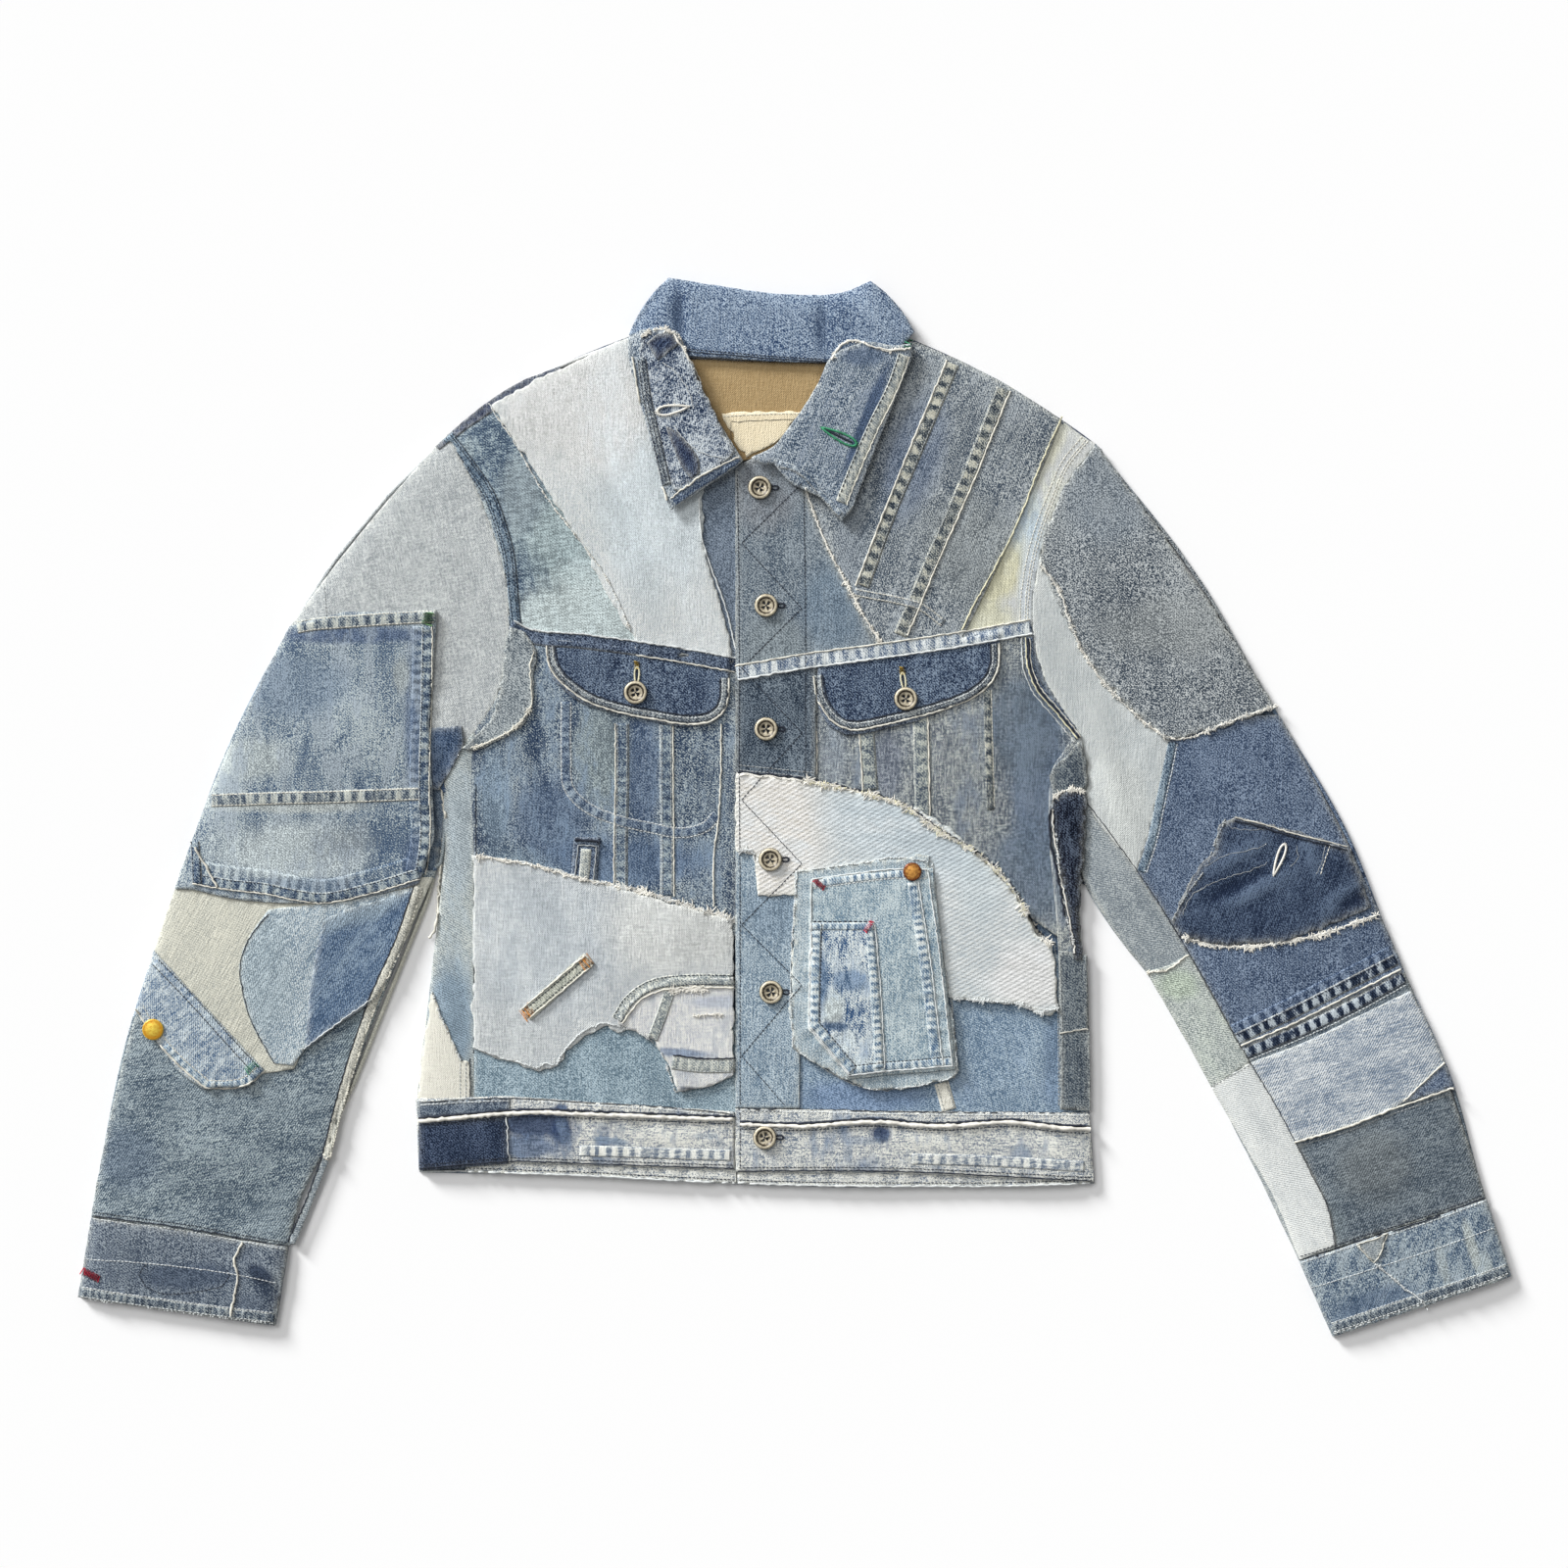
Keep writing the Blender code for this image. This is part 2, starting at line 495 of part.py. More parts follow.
main()
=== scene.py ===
"""Looks of a patched denim jacket that lies flat on its back, with its fronts buttoned.

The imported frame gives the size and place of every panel. This script cuts finer panels from
it, lays them on a field of soft folds and seam puckers, and adds what the frame leaves out:
felled seams, stitches, frayed edges, buttonholes, piping and the finish of every cloth.

Tables are in millimetres, in the frame's own axes: +X towards the wearer's left sleeve, +Y
towards the collar and +Z up. "right" and "left" are the wearer's own.
"""

from __future__ import annotations

import json
import logging
import math
from collections.abc import Iterable, Sequence
from dataclasses import dataclass, replace
from enum import Enum

import bmesh
import bpy
import numpy as np
from mathutils import Matrix, Vector
from mathutils.bvhtree import BVHTree

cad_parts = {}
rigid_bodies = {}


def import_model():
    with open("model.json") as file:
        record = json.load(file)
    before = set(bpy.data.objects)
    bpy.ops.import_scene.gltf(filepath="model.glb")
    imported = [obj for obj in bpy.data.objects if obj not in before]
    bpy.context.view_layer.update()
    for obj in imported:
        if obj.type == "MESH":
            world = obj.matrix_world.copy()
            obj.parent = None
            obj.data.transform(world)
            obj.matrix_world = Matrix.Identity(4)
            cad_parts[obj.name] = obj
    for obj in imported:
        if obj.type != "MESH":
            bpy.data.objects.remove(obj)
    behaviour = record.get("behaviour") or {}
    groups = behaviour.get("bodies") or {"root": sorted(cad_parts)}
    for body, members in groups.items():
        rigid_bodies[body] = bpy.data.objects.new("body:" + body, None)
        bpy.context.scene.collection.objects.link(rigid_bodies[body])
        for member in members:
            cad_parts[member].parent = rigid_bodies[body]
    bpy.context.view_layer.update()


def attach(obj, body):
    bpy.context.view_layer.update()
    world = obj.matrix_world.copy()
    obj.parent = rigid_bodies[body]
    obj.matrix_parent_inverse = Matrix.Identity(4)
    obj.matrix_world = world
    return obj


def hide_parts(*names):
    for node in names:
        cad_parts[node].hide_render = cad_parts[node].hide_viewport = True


log = logging.getLogger("jacket")

Point = tuple[float, float]
Path = Sequence[Point]
Colour = tuple[int, int, int]

MM = 0.001  # metres in a millimetre
CLOTH = 0.9  # thickness of one ply
PLY = 1.4  # height from one layer of panels to the next
FRONT = 2.9  # height of the upper side of the lowest front panels, at the garment's edge
BACK = 1.1  # height of the upper side of the back
PITCH = 2.8  # side of the squares that a front panel is diced into
BACK_PITCH = 9.0
PUFF = 2.1  # how far the front stands up away from the garment's edge
PUFF_REACH = 7.0
LAP = 0.45  # how far each panel laps over its neighbours
SKY = 60.0  # height from which the cloth is probed
THINNEST_SHEET = 0.01  # the narrowest width that a flat cut is given, in metres
BODY = "root"
SEED = 11


class Edge(Enum):
    """How a panel's edge is cut: the value is how far it wanders, in millimetres."""

    SEWN = 0.15
    RAW = 0.8


class Row(Enum):
    """Sizes of a row of stitches: from one to the next, length of one, radius of the thread."""

    TOP = (3.6, 2.7, 0.45)
    FINE = (2.8, 2.2, 0.36)
    QUILT = (3.0, 2.7, 0.34)


class Weave(Enum):
    """The weave of a cloth: the directions of the waves that draw it, and their scale."""

    TWILL = (("DIAGONAL",), 0.287)
    DRILL = (("DIAGONAL",), 0.15)
    PLAIN = (("X", "Y"), 0.2)


# ---------------------------------------------------------------- paths


def rounded(points: Path, step: float, closed: bool = False, sharp: float = 38.0) -> np.ndarray:
    """Draws a smooth line through points, and keeps their sharp corners.

    Args:
        points: The corners.
        step: The longest distance between the new points.
        closed: Whether the line comes back to its first point.
        sharp: A turn of more degrees than this stays a corner.

    Returns:
        The points of the line, one a row.
    """
    corners = np.array(points, float)
    count = len(corners)
    last = count if closed else count - 1
    slopes_in, slopes_out = np.zeros_like(corners), np.zeros_like(corners)
    for index in range(count):
        before = corners[index - 1] if closed or index else corners[index]
        after = corners[(index + 1) % count] if closed or index < count - 1 else corners[index]
        into, away = corners[index] - before, after - corners[index]
        turn = math.degrees(abs(math.atan2(into[0] * away[1] - into[1] * away[0], into @ away)))
        if turn > sharp or not into.any() or not away.any():
            slopes_in[index], slopes_out[index] = into, away
        else:
            lengths = np.hypot(*into), np.hypot(*away)
            mean = into / lengths[0] + away / lengths[1]
            mean /= max(1e-6, np.hypot(*mean))
            slopes_in[index], slopes_out[index] = mean * lengths[0], mean * lengths[1]
    line = []
    for index in range(last):
        one, two = corners[index], corners[(index + 1) % count]
        steps = max(1, math.ceil(np.hypot(*(two - one)) / step))
        for share in np.arange(steps) / steps:
            square, cube = share**2, share**3
            line.append(
                (2 * cube - 3 * square + 1) * one
                + (cube - 2 * square + share) * slopes_out[index]
                + (3 * square - 2 * cube) * two
                + (cube - square) * slopes_in[(index + 1) % count]
            )
    if not closed:
        line.append(corners[-1])
    return np.array(line)


def sides_of(line: np.ndarray) -> np.ndarray:
    """The unit vectors that point to the left of a line, at each of its points."""
    along = np.gradient(line, axis=0)
    along /= np.maximum(1e-6, np.hypot(*along.T))[:, None]
    return np.stack([-along[:, 1], along[:, 0]], axis=1)


def lengths_of(line: np.ndarray) -> np.ndarray:
    """How far along a line each of its points is."""
    return np.concatenate([[0.0], np.cumsum(np.hypot(*np.diff(line, axis=0).T))])


def shifted(points: Path, offset: float) -> list[Point]:
    """A smooth copy of a line, moved to its left."""
    line = rounded(points, 6.0)
    return [tuple(point) for point in line + sides_of(line) * offset]


def near_path(xy: np.ndarray, path: Path) -> tuple[np.ndarray, np.ndarray]:
    """Finds where points lie beside a path.

    Args:
        xy: The points, one a row.
        path: The corners of the path.

    Returns:
        Each point's distance to the path, and the length along it of the nearest spot.
    """
    best = np.full(len(xy), 1e9)
    along = np.zeros(len(xy))
    walked = 0.0
    for start, end in zip(path, path[1:]):
        run = np.subtract(end, start)
        length = float(np.hypot(*run))
        if length < 1e-6:
            continue
        share = np.clip((xy - start) @ run / length**2, 0, 1)
        gap = np.hypot(*(xy - start - share[:, None] * run).T)
        closer = gap < best
        best = np.where(closer, gap, best)
        along = np.where(closer, walked + share * length, along)
        walked += length
    return best, along


def reaches(xy: np.ndarray, path: Path, reach: float) -> bool:
    """Whether a path comes within reach of the box round some points."""
    corners = np.array(path)
    return bool((corners.min(0) - reach < xy.max(0)).all() and (corners.max(0) + reach > xy.min(0)).all())


def flat_size(points: np.ndarray) -> tuple[float, float, float]:
    """Measures a flat cut.

    Args:
        points: The corners of its outline, in millimetres.

    Returns:
        The sides of the smallest box round it, however turned, and its area, in metres.
    """
    xy = points * MM
    x, y = xy.T
    area = abs(float(np.dot(x, np.roll(y, -1)) - np.dot(y, np.roll(x, -1)))) / 2
    best = (1e9, 1e9)
    for degrees in range(0, 90, 3):
        turn = math.radians(degrees)
        spun = xy @ np.array([[math.cos(turn), -math.sin(turn)], [math.sin(turn), math.cos(turn)]])
        wide, long = spun.max(0) - spun.min(0)
        if wide * long < best[0] * best[1]:
            best = (float(wide), float(long))
    return (*best, area)


# ---------------------------------------------------------------- folds and puckers


@dataclass(frozen=True)
class Fold:
    """A ridge along a line, or a trough where its height is negative."""

    x0: float
    y0: float
    x1: float
    y1: float
    reach: float
    height: float


@dataclass(frozen=True)
class Pucker:
    """Cloth gathered along a seam: small ripples that cross its path."""

    path: tuple[Point, ...]
    reach: float = 9.0
    height: float = 0.5
    wave: float = 10.0


class Relief:
    """Height field that every panel of the front shares, in millimetres."""

    BROAD = (
        Fold(-150, 180, -150, -160, 100, 1.5),
        Fold(100, 180, 100, -160, 100, 1.5),
        Fold(-285, 170, -430, -250, 75, 1.5),
        Fold(250, 170, 425, -245, 75, 1.5),
        Fold(-60, -70, 80, -120, 110, 0.7),
    )

    def __init__(self, folds: Iterable[Fold], puckers: Iterable[Pucker], rims: Iterable[Path]) -> None:
        """Keeps the folds, the puckers and the lines of the garment's outer edge."""
        self.folds = tuple(folds)
        self.puckers = tuple(puckers)
        self.rims = tuple([tuple(point) for point in rounded(rim, 25)] for rim in rims)

    def creases(self, xy: np.ndarray) -> np.ndarray:
        """Height of the creases and puckers alone, which the cloth's fading follows."""
        total = np.zeros(len(xy))
        for fold in self.folds:
            line = ((fold.x0, fold.y0), (fold.x1, fold.y1))
            if not reaches(xy, line, fold.reach):
                continue
            gap, along = near_path(xy, line)
            taper = np.sin(np.clip(along / max(1.0, math.dist(*line)), 0.05, 0.95) * math.pi)
            total += fold.height * taper * np.clip(1 - (gap / fold.reach) ** 2, 0, 1) ** 2
        for pucker in self.puckers:
            if not reaches(xy, pucker.path, 2 * pucker.reach):
                continue
            gap, along = near_path(xy, pucker.path)
            turn = 2 * math.pi * along / pucker.wave
            ripple = 0.6 * np.sin(turn + 2 * np.sin(0.23 * turn)) + 0.4 * np.sin(0.61 * turn + 1.3)
            total += pucker.height * ripple * np.exp(-((gap / pucker.reach) ** 2))
        return total

    def top(self, xy: np.ndarray) -> np.ndarray:
        """Height of the upper side of the lowest front panel."""
        ridge = np.zeros(len(xy))
        for fold in self.BROAD:
            gap, _ = near_path(xy, ((fold.x0, fold.y0), (fold.x1, fold.y1)))
            ridge = np.maximum(ridge, fold.height * np.clip(1 - (gap / fold.reach) ** 2, 0, 1) ** 2)
        x, y = xy.T
        slow = 0.3 * np.sin(x / 23 + 1.7 * np.sin(y / 41)) + 0.3 * np.sin(y / 19 + 1.3 * np.sin(x / 37))
        away = np.full(len(xy), 1e9)
        for rim in self.rims:
            if reaches(xy, rim, 5 * PUFF_REACH):
                away = np.minimum(away, near_path(xy, rim)[0])
        rise = 1 - np.exp(-away / PUFF_REACH)
        return FRONT + (PUFF + ridge + slow) * rise + self.creases(xy) * (0.3 + 0.7 * rise)


# ---------------------------------------------------------------- finishes


def linear(colour: Colour) -> tuple[float, float, float, float]:
    """Turns a colour in 0 to 255 into the shader's linear values."""
    parts = [value / 255 for value in colour]
    return (*[part / 12.92 if part <= 0.04045 else ((part + 0.055) / 1.055) ** 2.4 for part in parts], 1.0)


class Tree:
    """Short calls that add nodes to a material's tree."""

    def __init__(self, name: str) -> None:
        """Makes an empty material with a surface output."""
        self.material = bpy.data.materials.new(name)
        self.material.use_nodes = True
        self.nodes = self.material.node_tree.nodes
        self.links = self.material.node_tree.links
        self.nodes.clear()
        self.shader = self.nodes.new("ShaderNodeBsdfPrincipled")
        output = self.nodes.new("ShaderNodeOutputMaterial")
        self.links.new(self.shader.outputs[0], output.inputs["Surface"])

    def plug(self, socket: bpy.types.NodeSocket, value: object) -> None:
        """Links a socket to another one, or sets it to a constant."""
        if isinstance(value, bpy.types.NodeSocket):
            self.links.new(value, socket)
        elif value is not None:
            socket.default_value = value

    def coords(self, angle: float = 0.0, scale: tuple[float, float, float] = (1, 1, 1)) -> bpy.types.NodeSocket:
        """The piece's own coordinates in millimetres, turned by an angle and then stretched."""
        place = self.nodes.new("ShaderNodeTexCoord")
        turn = self.nodes.new("ShaderNodeMapping")
        turn.inputs["Rotation"].default_value = (0, 0, math.radians(angle))
        turn.inputs["Scale"].default_value = (1 / MM, 1 / MM, 1 / MM)
        self.links.new(place.outputs["Object"], turn.inputs["Vector"])
        stretch = self.nodes.new("ShaderNodeVectorMath")
        stretch.operation = "MULTIPLY"
        stretch.inputs[1].default_value = scale
        self.links.new(turn.outputs[0], stretch.inputs[0])
        return stretch.outputs[0]

    def noise(
        self, vector: bpy.types.NodeSocket, size: float, detail: float = 2.0, rough: float = 0.5
    ) -> bpy.types.NodeSocket:
        """Noise about zero, whose blotches are about size millimetres across."""
        node = self.nodes.new("ShaderNodeTexNoise")
        self.links.new(vector, node.inputs["Vector"])
        node.inputs["Scale"].default_value = 1 / size
        node.inputs["Detail"].default_value = detail
        node.inputs["Roughness"].default_value = rough
        return self.math("SUBTRACT", node.outputs["Fac"], 0.5)

    def math(self, kind: str, one: object, two: object = None, three: object = None) -> bpy.types.NodeSocket:
        """A Math node."""
        node = self.nodes.new("ShaderNodeMath")
        node.operation = kind
        for socket, value in zip(node.inputs, (one, two, three)):
            self.plug(socket, value)
        return node.outputs[0]

    def attribute(self, name: str) -> bpy.types.NodeSocket:
        """A number that the mesh holds at its points."""
        node = self.nodes.new("ShaderNodeAttribute")
        node.attribute_name = name
        return node.outputs["Fac"]

    def mix(self, share: object, one: object, two: object) -> bpy.types.NodeSocket:
        """Blends two colours."""
        node = self.nodes.new("ShaderNodeMix")
        node.data_type = "RGBA"
        self.plug(node.inputs[0], share)
        self.plug(node.inputs[6], one)
        self.plug(node.inputs[7], two)
        return node.outputs[2]

    def ramp(self, share: bpy.types.NodeSocket, stops: Sequence[tuple[float, Colour]]) -> bpy.types.NodeSocket:
        """A colour ramp with the given stops."""
        node = self.nodes.new("ShaderNodeValToRGB")
        self.links.new(share, node.inputs[0])
        elements = node.color_ramp.elements
        while len(elements) < len(stops):
            elements.new(0.5)
        for element, (place, colour) in zip(elements, stops):
            element.position = place
            element.color = linear(colour)
        return node.outputs["Color"]

    def spot(self, tint: Tint, uneven: bpy.types.NodeSocket) -> bpy.types.NodeSocket:
        """How strongly a tint shows: full in its middle, with an uneven border."""
        place = self.nodes.new("ShaderNodeTexCoord")
        shape = self.nodes.new("ShaderNodeMapping")
        shape.vector_type = "TEXTURE"
        shape.inputs["Location"].default_value = (tint.x * MM, tint.y * MM, 0)
        shape.inputs["Rotation"].default_value = (0, 0, math.radians(tint.angle))
        shape.inputs["Scale"].default_value = (tint.wide * MM, tint.long * MM, 1)
        self.links.new(place.outputs["Object"], shape.inputs["Vector"])
        ball = self.nodes.new("ShaderNodeTexGradient")
        ball.gradient_type = "SPHERICAL"
        self.links.new(shape.outputs[0], ball.inputs["Vector"])
        rough_border = self.math("MULTIPLY_ADD", uneven, 0.9, ball.outputs["Fac"])
        clear = self.math("MULTIPLY", self.math("MAXIMUM", rough_border, 0.0), 2.2)
        return self.math("MULTIPLY", self.math("MINIMUM", clear, 1.0), tint.share)

    def bump(self, height: bpy.types.NodeSocket, distance: float, strength: float = 1.0) -> None:
        """Feeds a height to the shader's normal, with its distance in millimetres."""
        node = self.nodes.new("ShaderNodeBump")
        node.inputs["Strength"].default_value = strength
        node.inputs["Distance"].default_value = distance * MM
        self.links.new(height, node.inputs["Height"])
        self.links.new(node.outputs[0], self.shader.inputs["Normal"])


@dataclass(frozen=True)
class Tint:
    """A soft spot of another colour on a cloth: a stain, a fade, a deeper tone, or painted shade along a crease or a
    seam.
    """

    x: float
    y: float
    wide: float
    long: float
    colour: Colour
    share: float = 0.6
    angle: float = 0.0


@dataclass(frozen=True)
class Denim:
    """A washed, worn denim: three shades, and how they are spread over the cloth."""

    name: str
    dark: Colour
    mid: Colour
    light: Colour
    grain: float = 0.0  # angle of the warp, in degrees from +Y
    mottle: float = 0.4  # soft blotches
    mottle_size: float = 14.0
    speckle: float = 0.75  # salt and pepper of single threads
    slub: float = 0.45  # uneven threads along the warp
    weft: float = 0.15  # uneven threads across the warp
    reach: float = 7.5  # how many times longer than wide an uneven thread is
    crackle: float = 0.0  # pale veins left by the wash
    weave: Weave = Weave.TWILL
    rib: float = 0.4  # contrast of the weave
    rope: float = 0.0  # dark and light dashes across a felled seam
    rope_wave: float = 6.5
    worn: Colour = (226, 226, 214)  # bare cotton at worn edges
    edge: float = 0.5  # how far edges are worn
    crest: float = 0.35  # how far raised puckers are worn
    tints: tuple[Tint, ...] = ()

    def material(self) -> bpy.types.Material:
        """Builds the cloth's nodes once, and finds them again later."""
        known = bpy.data.materials.get(self.name)
        if known is not None:
            return known
        tree = Tree(self.name)
        cloth = tree.coords(self.grain)
        blotch = tree.noise(tree.coords(self.grain, (1, 0.38, 1)), self.mottle_size, 4, 0.7)
        warp = tree.noise(tree.coords(self.grain, (1, 1 / self.reach, 1)), 1.1, 1)
        weft = tree.noise(tree.coords(self.grain, (1 / self.reach, 1, 1)), 1.1, 1)
        speck = tree.noise(cloth, 0.95, 2, 0.7)
        weave = self.woven(tree, cloth)
        tone = tree.math("MULTIPLY_ADD", blotch, self.mottle * 4.0, 0.5)
        for source, amount in (
            (warp, 2.7 * self.slub),
            (weft, 2.7 * self.weft),
            (speck, 6.5 * self.speckle),
            (weave, self.rib),
        ):
            tone = tree.math("MULTIPLY_ADD", source, amount, tone)
        tone = tree.math("MULTIPLY_ADD", tree.attribute("crest"), self.crest, tone)
        if self.crackle:
            vein = tree.math("ABSOLUTE", tree.noise(cloth, 9.0, 3, 0.55))
            pale = tree.math("MAXIMUM", tree.math("MULTIPLY_ADD", vein, -22.0, 1.0), 0.0)
            tone = tree.math("MULTIPLY_ADD", pale, self.crackle, tone)
        if self.rope:
            tone = self.roped(tree, tone, blotch)
        colour = tree.ramp(tone, ((0.0, self.dark), (0.5, self.mid), (1.0, self.light)))
        for tint in self.tints:
            full = linear(tint.colour)
            deep, pale = tuple(0.6 * part for part in full), tuple(min(1.0, 1.4 * part) for part in full)
            colour = tree.mix(tree.spot(tint, blotch), colour, tree.mix(tone, deep, pale))
        threads = tree.math("ADD", warp, speck)
        wear = tree.math("MULTIPLY", tree.attribute("edge"), tree.math("MULTIPLY_ADD", threads, 2.4, 0.75))
        bare = tree.math("MULTIPLY", tree.math("MAXIMUM", wear, 0.0), self.edge)
        tree.plug(tree.shader.inputs["Base Color"], tree.mix(bare, colour, linear(self.worn)))
        tree.shader.inputs["Roughness"].default_value = 0.92
        tree.shader.inputs["Specular IOR Level"].default_value = 0.15
        tree.bump(tree.math("MULTIPLY_ADD", weave, 0.35, threads), 0.45)
        return tree.material

    def roped(self, tree: Tree, tone: bpy.types.NodeSocket, blotch: bpy.types.NodeSocket) -> bpy.types.NodeSocket:
        """Adds the dashes that the wash leaves across a felled seam."""
        walk = tree.math("MULTIPLY", tree.attribute("along"), 2 * math.pi / self.rope_wave)
        wave = tree.math("SINE", tree.math("MULTIPLY_ADD", blotch, 7.0, walk))
        dash = tree.math("MINIMUM", tree.math("MAXIMUM", tree.math("MULTIPLY_ADD", wave, 1.6, 0.1), -1.0), 1.0)
        inner = tree.math("MULTIPLY_ADD", tree.math("POWER", tree.attribute("across"), 3.0), -1.0, 1.0)
        strong = tree.math("MAXIMUM", tree.math("MULTIPLY_ADD", blotch, 5.0, 0.8), 0.1)
        share = tree.math("MULTIPLY", tree.math("MULTIPLY", dash, inner), strong)
        return tree.math("MULTIPLY_ADD", share, self.rope, tone)

    def woven(self, tree: Tree, cloth: bpy.types.NodeSocket) -> bpy.types.NodeSocket:
        """The ribs of a twill or the grid of a plain weave, from -0.5 to 0.5."""
        directions, scale = self.weave.value
        waves = []
        for direction in directions:
            node = tree.nodes.new("ShaderNodeTexWave")
            node.bands_direction = direction
            node.inputs["Scale"].default_value = scale
            node.inputs["Distortion"].default_value = 1.2
            node.inputs["Detail Scale"].default_value = 0.4
            tree.links.new(cloth, node.inputs["Vector"])
            waves.append(tree.math("SUBTRACT", node.outputs["Fac"], 0.5))
        if len(waves) == 1:
            return waves[0]
        return tree.math("MULTIPLY", tree.math("MULTIPLY", *waves), 2.0)


@dataclass(frozen=True)
class Thread:
    """Sewing thread or piping, in one colour that dirt and wear make uneven."""

    name: str
    colour: Colour
    dirt: float = 0.7

    def material(self) -> bpy.types.Material:
        """Builds the thread's nodes once, and finds them again later."""
        known = bpy.data.materials.get(self.name)
        if known is not None:
            return known
        tree = Tree(self.name)
        dull = tuple(int(value * self.dirt) for value in self.colour)
        dirt = tree.math("ADD", tree.noise(tree.coords(), 5.0, 3), 0.5)
        tree.plug(tree.shader.inputs["Base Color"], tree.ramp(dirt, ((0.32, dull), (0.58, self.colour))))
        tree.shader.inputs["Roughness"].default_value = 0.8
        tree.bump(tree.noise(tree.coords(45, (1, 0.2, 1)), 0.5, 1), 0.15)
        return tree.material


@dataclass(frozen=True)
class Metal:
    """A button's or rivet's metal, dark in its hollows and rubbed bright on its rim."""

    name: str
    dark: Colour
    bright: Colour
    rough: float = 0.38
    metallic: float = 0.8

    def material(self) -> bpy.types.Material:
        """Builds the metal's nodes once, and finds them again later."""
        known = bpy.data.materials.get(self.name)
        if known is not None:
            return known
        tree = Tree(self.name)
        patina = tree.noise(tree.coords(), 1.6, 3, 0.65)
        rubbed = tree.math("MULTIPLY_ADD", patina, 1.5, tree.attribute("edge"))
        tree.plug(tree.shader.inputs["Base Color"], tree.ramp(rubbed, ((0.05, self.dark), (0.9, self.bright))))
        tree.shader.inputs["Metallic"].default_value = self.metallic
        tree.plug(tree.shader.inputs["Roughness"], tree.math("MULTIPLY_ADD", patina, 0.5, self.rough))
        tree.bump(patina, 0.15, 0.6)
        return tree.material


# Cloths. The three colours are the deepest, the usual and the palest shade.
LINING = Denim("neck_khaki", (150, 124, 84), (178, 152, 110), (198, 173, 130), mottle=0.12, mottle_size=40, speckle=0.08, slub=0.15, weft=0.2, edge=0.1, crest=0.1, weave=Weave.PLAIN, rib=0.3)
LABEL = Denim("label_cotton", (228, 212, 176), (242, 228, 196), (250, 240, 214), mottle=0.12, speckle=0.06, slub=0.1, weft=0.1, edge=0.3, weave=Weave.PLAIN, rib=0.2)
# The two narrow darker tints are painted shade, laid in the vertical folds of the collar's inner face.
COLLAR_BLUE = Denim("collar_blue", (48, 68, 102), (106, 130, 158), (188, 204, 220), slub=0.25, mottle=0.45, mottle_size=22, edge=0.15, speckle=1.1,
    tints=(Tint(-83.5, 348.5, 5, 26, (70, 88, 114), 0.7), Tint(19, 342.5, 5, 24, (78, 96, 122), 0.6),))
LEAF_BLUE = Denim("leaf_blue", (48, 66, 88), (110, 127, 145), (194, 203, 208), slub=0.3, grain=25, crackle=0.3, speckle=0.9, mottle=0.5)
LEAF_NAVY = Denim("leaf_navy", (26, 40, 66), (90, 109, 135), (204, 212, 217), mottle=0.7, mottle_size=12, crackle=0.7, slub=0.4, grain=35, speckle=0.8)
LEAF_DEEP = Denim("leaf_deep", (20, 30, 54), (36, 51, 84), (96, 112, 136), mottle=0.3, grain=35)
LEFT_LEAF = replace(LEAF_BLUE, name="left_leaf_blue",
    tints=(Tint(51, 276, 6, 56, (66, 84, 112), 0.9, -22), Tint(48.5, 321.5, 20, 10, (84, 102, 128), 0.7),))
COLLAR_EDGE = Denim("collar_edge", (104, 114, 122), (172, 178, 174), (214, 214, 202), rope=0.16, rope_wave=6.0, mottle=0.5, slub=0.6, speckle=0.35)
UNDER_COLLAR = Denim("under_collar", (44, 60, 88), (92, 110, 138), (160, 175, 190), slub=0.6, grain=60)
NAVY = Denim("navy", (28, 38, 54), (70, 84, 104), (128, 140, 152), speckle=0.6, mottle=0.5)
BACK_NAVY = Denim("back_navy", (30, 40, 62), (48, 62, 92), (84, 98, 126))
INDIGO = Denim("plain_indigo", (66, 84, 108), (100, 120, 142), (142, 160, 178))
# The third tint, a narrow darker streak, is painted shade along the yoke's crease.
PALE_YOKE = Denim("pale_yoke", (176, 185, 188), (210, 215, 216), (232, 233, 229), mottle=0.28, mottle_size=30, speckle=0.35, slub=0.25, crest=0.12, weave=Weave.PLAIN, rib=0.45,
    tints=(Tint(-154.5, 283, 90, 60, (226, 227, 222), 0.8), Tint(-91.5, 213, 50, 70, (205, 215, 220), 0.7), Tint(-119.5, 185, 18, 70, (190, 200, 204), 0.5, 25),))
SHOULDER = Denim("shoulder_blue", (54, 72, 94), (98, 117, 136), (170, 186, 192), slub=0.2, weft=0.8, grain=-8, speckle=0.6,
    tints=(Tint(-154.5, 185, 50, 70, (167, 183, 184), 0.8, 20), Tint(-147.5, 129, 76, 50, (192, 204, 204), 0.95), Tint(-195.5, 223.5, 22, 34, (150, 163, 169), 0.8),))
ARM_BAND = Denim("armhole_blue", (44, 62, 82), (104, 124, 142), (160, 176, 186), edge=0.2, crest=0.5, speckle=0.8)
STAND = Denim("button_stand", (46, 58, 74), (112, 124, 136), (166, 176, 184), slub=0.2, speckle=0.9,
              tints=(Tint(-58, 164, 30, 110, (110, 124, 142), 0.6),))
TAPE_NAVY = Denim("tape_navy", (26, 36, 56), (66, 80, 102), (128, 142, 160), rope=0.12, edge=0.35, speckle=0.95, slub=0.1)
TAPE_PALE = Denim("tape_pale", (66, 86, 116), (172, 183, 191), (226, 231, 230), rope=0.35, rope_wave=9.0, mottle=0.4, edge=0.9, speckle=0.5)
FLAP = Denim("flap_navy", (24, 36, 60), (67, 85, 111), (140, 156, 174), speckle=0.9, mottle=0.4, edge=0.25, slub=0.15)
FLAP_ROPE = Denim("flap_rope", (40, 50, 66), (116, 126, 135), (190, 196, 194), rope=0.12, rope_wave=3.4, speckle=0.6, edge=0.2)
